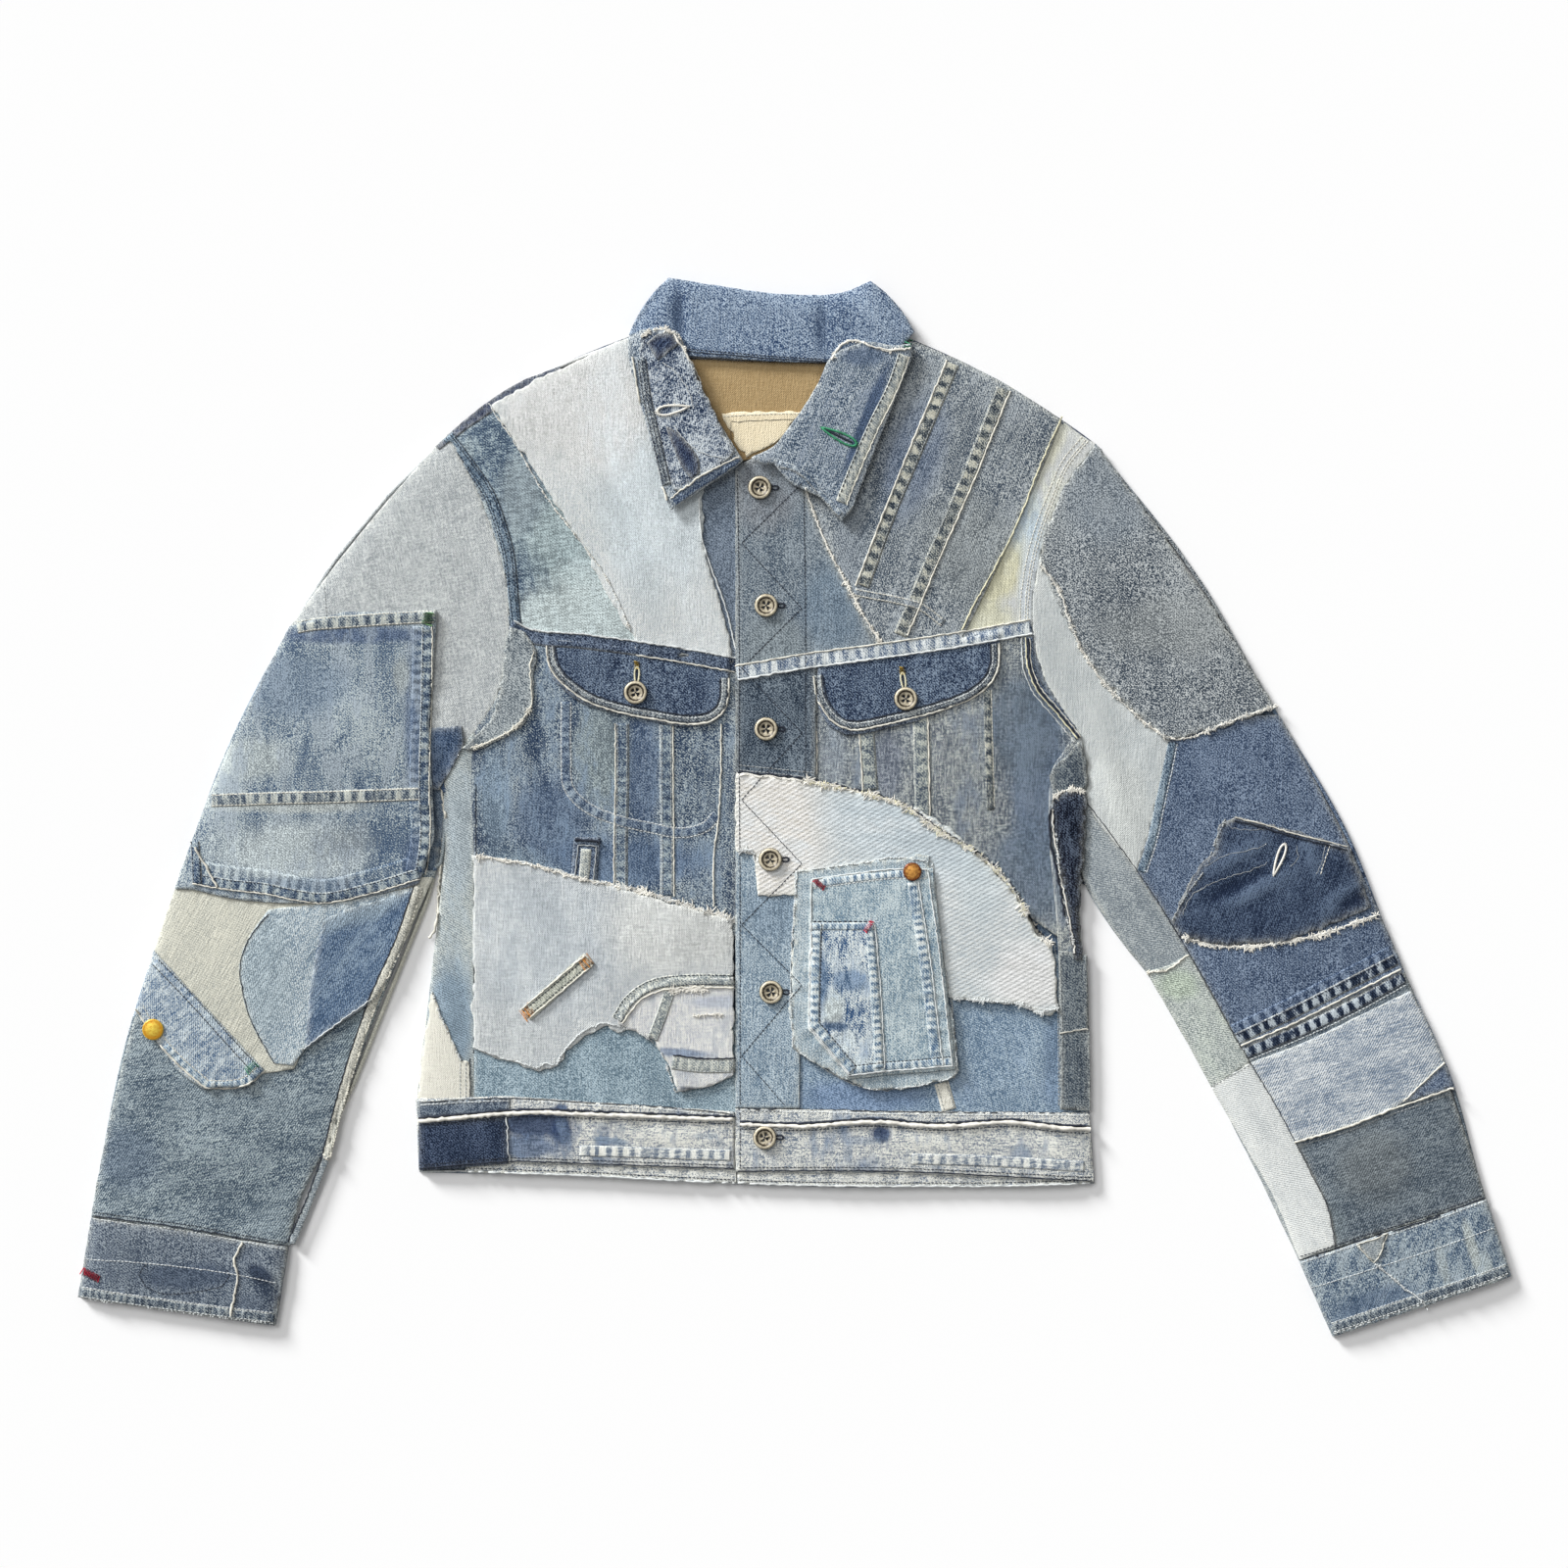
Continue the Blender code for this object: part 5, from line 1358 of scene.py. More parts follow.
@dataclass
class LeftFront(Assembly):
    """The wearer's left front, from the shoulder to the hem seam."""

    name: str = "left_front"
    placket_edge: Path = ((-43.5, 238), (-42.5, 185), (-42, 104.5), (-42, 24), (-41.5, -53), (-41.5, -123), (-41.5, -213))
    placket_stitch: Path = ((6.5, 222.5), (7.5, 143), (7.5, 59), (7.5, 17))
    zigzag: Path = ((5, 231), (-38, 188.5), (5, 142), (-38, 99.5), (5, 53), (-38, 5.5), (5, -40), (-38, -83.5), (5, -126.5), (-38, -177), (-5.5, -214))
    placket_fray: Path = ((7.5, 227), (13.5, 210), (24.5, 183.5), (35, 163), (47, 140), (61.5, 117.5))
    seam_one: Path = ((112.5, 316.5), (89, 260.5), (66.5, 207), (48.5, 158))
    seam_one_line: Path = ((108.5, 319), (84.5, 262), (62.5, 208), (43.5, 158))
    seam_two: Path = ((148.5, 299), (122.5, 234), (97.5, 176.5), (75, 123))
    seam_two_line: Path = ((153.5, 297), (127.5, 232.5), (102, 174.5), (80, 122))
    seam_two_band: float = 9.5
    yoke_arc: Path = ((42.5, 153.5), (55.5, 151), (74, 147.5), (89.5, 143), (105.5, 131.5))
    yoke_raw: Path = ((190.5, 278.5), (175.5, 245.5), (163, 213), (152.5, 189.5), (143, 172), (127.5, 144), (119, 126.5))
    tape: Path = ((-41.5, 96), (7.5, 104.5), (60, 111.5), (115, 119.5), (168.5, 129))
    flap_rim: Path = ((145.5, 117), (145, 101), (140, 89.5), (128, 79), (104.5, 69.5), (68, 60), (42.5, 55.5), (31.5, 58), (22.5, 66.5), (15.5, 80), (13.5, 94))
    armhole_top: Path = ((210.5, 260.5), (196.5, 243), (187, 221), (178.5, 199), (172, 175), (168, 147.5), (167.5, 129))
    armhole_low: Path = ((164.5, 121), (166.5, 98), (173.5, 82.5), (186, 68), (201.5, 49))
    chest_edge: Path = ((15.5, 54.5), (15.5, 24))
    strip_one: Path = ((51, 57.5), (54, 12.5))
    strip_two: Path = ((89.5, 66), (91, -8.5))
    side_column: Path = ((137, 84), (138, 45), (139.5, -1.5))
    gusset: Path = ((202.5, 46), (208, 32), (208, 17), (201, 8.5), (185, 4), (182, 24))
    fold: Path = ((183.5, 7.5), (195.5, 11), (207, 11), (206.5, -18), (204.5, -46), (203, -74), (204.5, -108), (199.5, -109), (196, -88), (192, -60), (187, -32), (182.5, -10))
    arc_top: Path = ((-40.5, 24), (-14.5, 21.5), (7, 19), (40.5, 12), (76.5, 1.5), (101.5, -16), (124.5, -29.5), (150, -52), (164.5, -75), (173, -89.5), (184, -98))
    arc_bottom: Path = ((112.5, -136), (139.5, -138), (160.5, -140), (173, -146.5), (187.5, -143))
    side_seam: Path = ((187, -95), (189, -151), (189.5, -213))
    cream_loop: Path = ((104.5, -196), (110, -215.5))

    def build(self) -> None:
        """Builds the front from its lowest plies to its topmost trims."""
        self.yoke()
        self.chest()
        self.side()
        self.middle()
        self.bottom()
        self.pockets()
        self.quilting()

    def yoke(self) -> None:
        """The mottled yoke with its two felled seams, and the stained panel by the armhole."""
        bench = self.bench
        bench.cut("left_shoulder", STAINED, 0)
        for offset in (1.6, 3.4, 7.0):
            bench.stitch(shifted(self.armhole_top, -offset), CREAM_THREAD, Row.FINE)
        bench.cut("left_yoke", YOKE_L, 1)
        bench.cord(self.yoke_raw, YELLOW_THREAD, 0.6, 0.2)
        for number, (path, line) in enumerate(
            ((self.seam_one, self.seam_one_line), (self.seam_two, self.seam_two_line)), 1
        ):
            bench.ribbon(f"left_yoke_seam_{number}", YOKE_ROPE, path, self.seam_two_band, 0.6)
            bench.cord(line, CREAM_THREAD, 0.75, 0.1)
            self.two_rows(path, GREY_THREAD, 7.0, Row.FINE)
        self.felled("left_yoke_arc", YOKE_L, self.yoke_arc, 6.0, CREAM_THREAD, Row.FINE, 0.3)
        bench.cut("left_placket", PLACKET, 1, edge=Edge.SEWN)
        bench.cord(self.placket_fray, RAW_COTTON, 0.6, 0.4)
        bench.fray(self.placket_fray[3:], RAW_COTTON, 4.6, 3.0)
        bench.fray(self.placket_fray[:4], RAW_COTTON, 2.6, 1.6)

    def chest(self) -> None:
        """The chest, its flap and felled strips, and the dark block on the placket."""
        bench = self.bench
        bench.cut("left_chest", CHEST_L, 0)
        bench.ribbon("left_chest_strip_one", STRIP_GREYER, self.strip_one, 11.0, 0.5)
        bench.ribbon("left_chest_strip_two", STRIP_GREYER, self.strip_two, 11.0, 0.5)
        bench.cord(shifted(self.strip_one, -5.4), CREAM_THREAD, 0.6)
        bench.cord(shifted(self.strip_two, 5.4), CREAM_THREAD, 0.6)
        bench.ribbon("left_chest_column", YOKE_ROPE, self.side_column, 5.5, 0.4)
        bench.stitch(shifted(self.side_column, 3.0), CREAM_THREAD, Row.FINE)
        bench.cord(self.chest_edge, CREAM_THREAD, 0.6)
        bench.cut("placket_dark_patch", PLACKET_DARK, 1)
        self.two_rows(((-40, 28.5), (14.5, 23)), GREY_THREAD, 3.4, Row.FINE)
        bench.cut("left_flap", FLAP, 1, bulge=0.5)
        bench.ribbon("left_flap_rim", FLAP_ROPE, shifted(self.flap_rim, -3.0), 5.2, 0.35)
        bench.cord(self.flap_rim, CREAM_THREAD, 0.75)
        bench.stitch(shifted(self.flap_rim, -1.6), NAVY_THREAD, Row.FINE)
        bench.cord(shifted(self.flap_rim, -6.4), NAVY_THREAD, 0.5, 0.15)
        bench.stitch(shifted(self.flap_rim, -4.4), WHITE_THREAD, Row.FINE)
        bench.ribbon("left_yoke_tape", TAPE_PALE, self.tape, 11.0, 0.5, replaces=("left_yoke_tape",))
        bench.cord(shifted(self.tape, 5.0), CREAM_THREAD, 0.6, 0.15)
        bench.cord(shifted(self.tape, -5.2), WHITE_THREAD, 0.85, 0.1)
        bench.bartack(76.5, 97.5, 98, 5.5, 4.2, GOLD_THREAD)
        bench.buttonhole(77.5, 89, 98, 14, 4.6, YELLOW_THREAD, NAVY_THREAD)

    def side(self) -> None:
        """The armhole topstitching, the gusset and the folded frayed strip at the side."""
        bench = self.bench
        bench.cut("left_side_panel", CHEST_L, 1)
        bench.ribbon("left_armhole_band", FLAP, shifted(self.armhole_low, 2.0), 7.0, 0.3)
        bench.cord(self.armhole_low, YELLOW_THREAD, 0.6)
        bench.cord(shifted(self.armhole_low, 1.5), NAVY_THREAD, 0.8)
        bench.cord(shifted(self.armhole_low, 3.0), CREAM_THREAD, 0.5)
        bench.cord(shifted(self.armhole_low, -3.2), WHITE_THREAD, 0.45, 0.25)
        bench.cut("left_gusset", SIDE_L_LOW, 1.8, self.gusset, Edge.RAW)
        bench.cut("left_side_fold", SIDE_L, 2.2, self.fold, Edge.RAW, bulge=1.2)
        bench.fray(((184, 7), (194, 12.5), (208, 11)), RAW_COTTON, 5.0, 4.0)
        bench.cord(((183.5, -1.5), (185, -22.5), (190.5, -53), (195.5, -81), (199.5, -103.5)), RAW_COTTON, 0.6, 0.4)
        # A thick navy cord down the strip's left edge: painted deep shadow beside the fold, next to the pale thread.
        bench.cord(((182, -1.5), (181.5, -18), (187, -47.5), (192.5, -77)), NAVY_THREAD, 1.0, 0.3)
        bench.fray(((186, -18), (189, -49.5), (193, -75.5), (199, -98)), WHITE_THREAD, 2.5, 1.2)

    def middle(self) -> None:
        """The ribbed white patch with its frayed curve, over the light placket."""
        bench = self.bench
        bench.cut("left_bottom_panel", BOTTOM_L, 0)
        bench.cut("left_placket_lower", PLACKET_LOW, 1)
        bench.cut("left_arc_panel", ARC, 2, edge=Edge.RAW)
        bench.cord(shifted(self.arc_top, 1.6), NAVY_THREAD, 0.7, 0.4)
        bench.fray(self.arc_top[2:], RAW_COTTON, 7.0, 4.0)
        bench.fray(self.arc_top[4:], GREY_THREAD, 5.0, 2.0)
        bench.fray(self.arc_top[2:9], YELLOW_THREAD, 5.0, 2.4)
        bench.cord(self.arc_top, RAW_COTTON, 0.5, 0.7)
        bench.fray(self.arc_bottom, WHITE_THREAD, 4.4, 3.6)
        bench.fray(((-40, -31.5), (-34.5, -30), (-28.5, -33.5)), WHITE_THREAD, 4.0, 3.0)
        bench.cord(((-40, -33.5), (-35.5, -29.5), (-30, -31), (-28, -39)), WHITE_THREAD, 0.8, 0.3)

    def bottom(self) -> None:
        """The dark side strip and the cream loop above the hem."""
        bench = self.bench
        bench.cut("left_side_low", SIDE_L_LOW, 1.6, ((188.5, -102), (208, -105.5), (209.5, -159.5), (210.5, -215.5), (189.5, -215), (189, -158)), Edge.SEWN)
        bench.cord(((188.5, -161), (199, -159), (209.5, -158)), CREAM_THREAD, 0.5, 0.2)
        self.two_rows(self.side_seam, GREY_THREAD, 2.6, Row.FINE)
        bench.ribbon("left_cream_loop", CREAM, self.cream_loop, 10.5, 0.5)
        self.two_rows(self.cream_loop, GREY_THREAD, 7.0, Row.FINE)

    def pockets(self) -> None:
        """The utility pocket on its raw-edged backing, with the pen pocket on top."""
        UtilityPocket(self.bench).build()

    def quilting(self) -> None:
        """The zigzag quilting of the placket, and its edge."""
        bench = self.bench
        bench.stitch(self.zigzag, NAVY_THREAD, Row.QUILT)
        bench.stitch(self.placket_stitch, NAVY_THREAD, Row.QUILT)
        bench.stitch(shifted(self.placket_edge, 2.4), NAVY_THREAD, Row.QUILT)


@dataclass
class UtilityPocket(Assembly):
    """A work-wear pocket cut from another garment with the cloth it was sewn to."""

    name: str = "utility_pocket"
    backing_raw: Path = ((1.5, -45.5), (41.5, -40), (76.5, -35.5), (97.5, -39), (98, -47.5), (105.5, -102), (112, -144), (115, -184), (114, -192.5), (76.5, -199.5), (59.5, -201), (40.5, -196.5), (-1.5, -171.5), (-3, -123), (-0.5, -73), (1.5, -45.5))
    body_rim: Path = ((12, -51), (41.5, -47), (68, -44), (94.5, -44), (103.5, -109), (112, -183.5), (90.5, -185.5), (64.5, -187.5), (38.5, -190.5), (10, -157), (11, -95), (12, -51))
    right_rows: Path = ((83.5, -53), (92.5, -112.5), (101, -183.5))
    pen_rim: Path = ((12, -82), (11, -123), (10.5, -155.5), (38.5, -189))
    pen_right: Path = ((55.5, -83.5), (59.5, -130), (62.5, -185))

    def build(self) -> None:
        """Lays the backing, the pocket and the pen pocket, and bartacks two of their corners."""
        bench = self.bench
        bench.cut("left_pocket_backing", BACKING, 3, edge=Edge.RAW)
        bench.cord(self.backing_raw, WHITE_THREAD, 0.4, 0.5)
        bench.fray(self.backing_raw, WHITE_THREAD, 1.6, 0.9)
        bench.cut("left_utility_pocket", POCKET, 4, bulge=0.5)
        bench.cut("left_pen_pocket", PEN_POCKET, 5, bulge=0.4)
        self.rims()
        for x, y, angle in ((17.5, -54.5, -40), (52.5, -84.5, 55)):
            bench.bartack(x, y, angle, 9, 3.6, RED_THREAD)

    def rims(self) -> None:
        """The double-stitched rims of both pockets."""
        bench = self.bench
        bench.ribbon("utility_pocket_top", POCKET_ROPE, shifted(self.body_rim[:4], -3.4), 6.0, 0.35)
        bench.ribbon("utility_pocket_right", POCKET_ROPE, self.right_rows, 7.5, 0.4)
        bench.ribbon("utility_pocket_foot", POCKET_ROPE, shifted(self.body_rim[5:9], -3.2), 5.6, 0.35)
        bench.ribbon("pen_pocket_left", POCKET_ROPE, shifted(self.pen_rim, 3.6), 6.6, 0.35)
        bench.ribbon("pen_pocket_right", POCKET_ROPE, shifted(self.pen_right, -2.4), 6.6, 0.35)
        bench.ribbon("pen_pocket_top", POCKET_ROPE, shifted(((12.5, -82), (34.5, -82), (55.5, -82)), -2.6), 5.0, 0.35)
        bench.cord(self.body_rim, WHITE_THREAD, 0.6, 0.1)
        bench.cord(self.pen_rim, WHITE_THREAD, 0.6, 0.1)
        bench.cord(shifted(self.right_rows, 4.4), WHITE_THREAD, 0.55, 0.1)
        bench.cord(shifted(self.pen_right, 1.6), WHITE_THREAD, 0.55, 0.1)
        bench.stitch(shifted(self.body_rim[:4], -6.6), WHITE_THREAD, Row.FINE)
        bench.stitch(shifted(self.body_rim[5:9], -6.4), NAVY_THREAD, Row.FINE)
        bench.stitch(shifted(self.pen_rim, 7.2), NAVY_THREAD, Row.FINE)
        bench.stitch(((12.5, -81), (34.5, -81), (55.5, -81)), NAVY_THREAD, Row.TOP)


@dataclass
class HemBand(Assembly):
    """The waistband: a piped band pieced from dark, marbled and pale cloth."""

    name: str = "hem"
    right_seam: Path = ((-267.5, -210), (-234.5, -208), (-203.5, -207), (-147.5, -210), (-91.5, -213.5), (-42.5, -218.5))
    left_seam: Path = ((-40, -215), (7.5, -215), (70, -216.5), (139.5, -217), (210.5, -217.5))
    right_piping: Path = ((-268, -223.5), (-239.5, -221), (-195.5, -217.5), (-133, -219), (-84.5, -221), (-42.5, -222.5))
    left_piping: Path = ((-39, -226), (7.5, -227), (54.5, -224), (101.5, -227), (157.5, -224.5), (185.5, -228), (210.5, -229.5))
    right_foot: Path = ((-267.5, -257.5), (-205, -252.5), (-147.5, -254), (-91.5, -256), (-43.5, -257.5))
    left_foot: Path = ((-40.5, -259.5), (13.5, -259), (70, -259.5), (139.5, -262.5), (213, -266.5))
    dark_end: Path = ((-268, -224.5), (-205, -220), (-204.5, -253.5), (-267.5, -258.5))
    dark_upper: Path = ((-269, -210), (-203, -207), (-202.5, -220.5), (-268, -222.5))
    right_lip: Path = ((-234.5, -255), (-205, -250.5), (-147.5, -252), (-91.5, -254), (-42, -256), (-42, -267.5), (-91.5, -265.5), (-147.5, -262.5), (-203.5, -260.5), (-234.5, -259))
    right_lip_foot: Path = ((-266.5, -259.5), (-234.5, -259.5), (-203.5, -260.5), (-147.5, -262.5), (-91.5, -265.5), (-41.5, -268))
    left_lip: Path = ((-40.5, -257.5), (13.5, -257), (70, -257.5), (139.5, -260.5), (210.5, -265.5), (210.5, -268), (139.5, -270), (70, -270), (13.5, -269.5), (-40.5, -268))
    left_lip_foot: Path = ((-40.5, -268), (13.5, -269.5), (70, -270), (139.5, -270), (210.5, -268))

    def build(self) -> None:
        """Lays the bands, their piping and the lip of the back's band, and stitches them."""
        bench = self.bench
        bench.cut("right_hem_lip", HEM_PALE, 0.3, self.right_lip)
        bench.cut("left_hem_lip", HEM_PALE, 0.3, self.left_lip)
        bench.cut("right_hem", HEM_RIGHT, 1, bulge=0.5)
        bench.cut("right_hem_blue", HEM_BLUE, 1.5, self.dark_upper)
        bench.cut("right_hem_dark", HEM_DARK, 1.7, self.dark_end, bulge=0.4)
        bench.cut("left_hem", HEM_LEFT, 1, bulge=0.5)
        for seam, piping, foot, lip in (
            (self.right_seam, self.right_piping, self.right_foot, self.right_lip_foot),
            (self.left_seam, self.left_piping, self.left_foot, self.left_lip_foot),
        ):
            bench.cord(seam, NAVY_THREAD, 0.35, 0.1)
            bench.stitch(shifted(seam, -2.0), WHITE_THREAD, Row.FINE)
            bench.cord(shifted(piping, 2.3), NAVY_THREAD, 1.0, 0.15)
            bench.cord(piping, RAW_COTTON, 1.75, 0.1)
            bench.stitch(shifted(piping, -3.0), NAVY_THREAD, Row.FINE)
            bench.stitch(shifted(foot, 2.6), NAVY_THREAD, Row.FINE)
            # A navy cord just inside the band's foot: painted shadow of the fold at the foot.
            bench.cord(shifted(foot, 0.3), NAVY_THREAD, 0.5, 0.2)
            bench.stitch(shifted(lip, 2.4), NAVY_THREAD, Row.FINE)
            bench.cord(lip, WHITE_THREAD, 0.8, 0.1)
        bench.ribbon("right_hem_ridges", HEM_RIDGES, ((-153.5, -244.5), (-119.5, -245.5), (-77.5, -247), (-45.5, -248)), 8.0, 0.2)
        bench.ribbon("left_hem_ridges", HEM_RIDGES, ((83.5, -250.5), (125.5, -251.5), (167.5, -253.5), (206.5, -256)), 8.0, 0.2)
        bench.cord(((-205, -221), (-204.5, -235), (-203.5, -253.5)), WHITE_THREAD, 0.6, 0.4)
        for line in (((-39, -217), (-39, -257.5)), ((-38, -216.5), (-7.5, -216.5))):
            bench.stitch(line, NAVY_THREAD, Row.FINE)


@dataclass
class RightSleeve(Assembly):
    """The wearer's right sleeve: linen, a large pocket, cream and faded patches, slub denim."""

    name: str = "right_sleeve"
    pocket_top: Path = ((-355.5, 132.5), (-343.5, 134.5), (-324, 136), (-287.5, 138.5), (-255.5, 140))
    pocket_mid: Path = ((-416, 8.5), (-371.5, 10), (-329.5, 11), (-287.5, 12.5), (-259, 13.5))
    pocket_right: Path = ((-258.5, 129), (-259.5, 73), (-261, 15.5), (-260.5, -25), (-264, -47.5))
    pocket_foot: Path = ((-429, -54.5), (-403, -59), (-378.5, -61.5), (-357.5, -66), (-336, -68.5), (-301.5, -61.5), (-266.5, -51))
    pocket_left: Path = ((-427.5, -24), (-426.5, -39), (-425.5, -54.5))
    pocket_slash: Path = ((-427.5, -28), (-419.5, -42), (-411.5, -56))
    underarm: Path = ((-262, 56), (-238, 58), (-236, 47), (-241.5, 34.5), (-249, 21.5), (-255, 12.5), (-259.5, 14.5), (-262, 31))
    cream_arc: Path = ((-375, -75.5), (-389, -94), (-395, -112), (-393.5, -130), (-387, -152.5), (-371, -182))
    fade: Path = ((-374.5, -73), (-322.5, -67), (-267.5, -56.5), (-276.5, -88), (-299, -134.5), (-326, -154.5), (-350.5, -173), (-357.5, -183.5), (-371, -182), (-387, -152.5), (-393.5, -130), (-395, -112), (-389, -94))
    fade_foot: Path = ((-299, -134.5), (-326, -154), (-349.5, -171.5))
    flap_top: Path = ((-453, -107), (-427.5, -133), (-402.5, -160.5), (-378.5, -187))
    fade_deep: Path = ((-336, -81), (-321.5, -74), (-294.5, -66), (-267.5, -56.5), (-276.5, -88), (-299, -134.5), (-326, -154.5), (-348.5, -172), (-345, -130))
    flap_rim: Path = ((-469.5, -143.5), (-461.5, -157.5), (-450, -171.5), (-434.5, -187), (-419.5, -199.5), (-403, -200), (-388.5, -196.5), (-378, -187.5))
    selvedge: Path = ((-268, -56.5), (-282, -96.5), (-299, -134.5), (-314.5, -178), (-326, -217), (-334.5, -250.5))
    low_seam: Path = ((-334, -249), (-346.5, -281.5), (-359, -311))
    cuff_seam: Path = ((-500.5, -290.5), (-462.5, -295.5), (-427.5, -300.5), (-392.5, -306.5), (-360.5, -312))

    def build(self) -> None:
        """Builds the sleeve from the shoulder down."""
        self.upper()
        self.patches()
        self.lower()
        self.pocket()
        self.flap()

    def upper(self) -> None:
        """The linen upper and the navy patch under the arm."""
        bench = self.bench
        bench.cut("right_sleeve_upper", LINEN, 0)
        bench.cut("right_underarm_patch", UNDERARM, 0.8, self.underarm)
        bench.stitch(((-335.5, 158), (-334.5, 146.5), (-334, 134.5)), GREY_THREAD, Row.FINE)

    def patches(self) -> None:
        """The cream patch and the faded blue patch, sewn edge to edge."""
        bench = self.bench
        bench.cut("right_sleeve_patches", SLEEVE_CREAM, 1)
        bench.cut("right_sleeve_fade", FADE, 1.5, self.fade)
        bench.cut("right_sleeve_fade_deep", FADE_DEEP, 1.7, self.fade_deep)
        bench.cord(self.cream_arc, NAVY_THREAD, 0.35, 0.15)
        bench.cord(self.fade_foot, WHITE_THREAD, 0.5, 0.3)

    def lower(self) -> None:
        """The slub denim of the forearm, with a raw selvedge down its inner side."""
        bench = self.bench
        bench.cut("right_sleeve_lower", LOWER_R_SLEEVE, 0)
        bench.ribbon("right_selvedge", SELVEDGE, self.selvedge, 6.5, 0.6)
        bench.cord(shifted(self.selvedge, -3.4), NAVY_THREAD, 0.5, 0.1)
        bench.fray(shifted(self.selvedge, 3.0), CREAM_THREAD, 1.8, 1.0)
        bench.fray(((-334, -249), (-336.5, -255)), CREAM_THREAD, 4.0, 3.0)
        bench.ribbon("right_selvedge_low", STRIP_GREY, self.low_seam, 5.5, 0.5)
        bench.cord(shifted(self.low_seam, -2.8), NAVY_THREAD, 0.5, 0.1)

    def pocket(self) -> None:
        """The large pocket, with its stitched mouth, waist, side and foot."""
        bench = self.bench
        bench.cut("right_sleeve_pocket", SLEEVE_POCKET, 2, bulge=0.4)
        rays = replace(SLEEVE_POCKET, name="sleeve_pocket_rays", rope=0.55, rope_wave=7.0, edge=0.0)
        bench.ribbon("right_sleeve_pocket_rays", rays, shifted(self.pocket_foot, 11.0), 13.0, 0.1)
        bench.ribbon("right_sleeve_side_rays", rays, shifted(self.pocket_right, -9.5), 8.0, 0.1)
        self.felled("right_sleeve_pocket_top", POCKET_BAND, shifted(self.pocket_top, -4.0), 9.5, CREAM_THREAD)
        self.felled("right_sleeve_pocket_mid", POCKET_BAND, shifted(self.pocket_mid, -3.5), 9.5, CREAM_THREAD)
        self.felled("right_sleeve_pocket_side", POCKET_EDGE, shifted(self.pocket_right, -3.0), 8.0, NAVY_THREAD)
        self.felled("right_sleeve_pocket_foot", POCKET_EDGE, shifted(self.pocket_foot, 4.0), 8.0, NAVY_THREAD)
        self.felled("right_sleeve_pocket_left", POCKET_EDGE, self.pocket_left, 7.0, NAVY_THREAD)
        bench.cord(shifted(self.pocket_foot, 0.4), CREAM_THREAD, 0.6, 0.1)
        bench.cord(shifted(self.pocket_right, 0.6), CREAM_THREAD, 0.55, 0.1)
        bench.cord(self.pocket_slash, CREAM_THREAD, 0.9, 0.3)
        bench.bartack(-261, 134.5, 80, 9, 8, PALE_GREEN_THREAD)

    def flap(self) -> None:
        """The slanted flap with its stitched rims and a green bartack; its plain metal button comes with the hardware.
        """
        bench = self.bench
        bench.cut("right_sleeve_flap", SLEEVE_FLAP, 2, bulge=0.6)
        bench.ribbon("right_sleeve_flap_top", SLEEVE_FLAP, shifted(self.flap_top, -3.6), 6.5, 0.3)
        bench.stitch(shifted(self.flap_top, -1.2), NAVY_THREAD, Row.FINE)
        bench.stitch(shifted(self.flap_top, -6.6), NAVY_THREAD, Row.FINE)
        bench.ribbon("right_sleeve_flap_foot", POCKET_ROPE, shifted(self.flap_rim[2:], 2.6), 5.2, 0.3)
        bench.cord(self.flap_rim, CREAM_THREAD, 0.8, 0.15)
        bench.stitch(shifted(self.flap_rim, 5.6), CREAM_THREAD, Row.FINE)
        bench.bartack(-387, -185, 40, 9, 6, GREEN_THREAD)


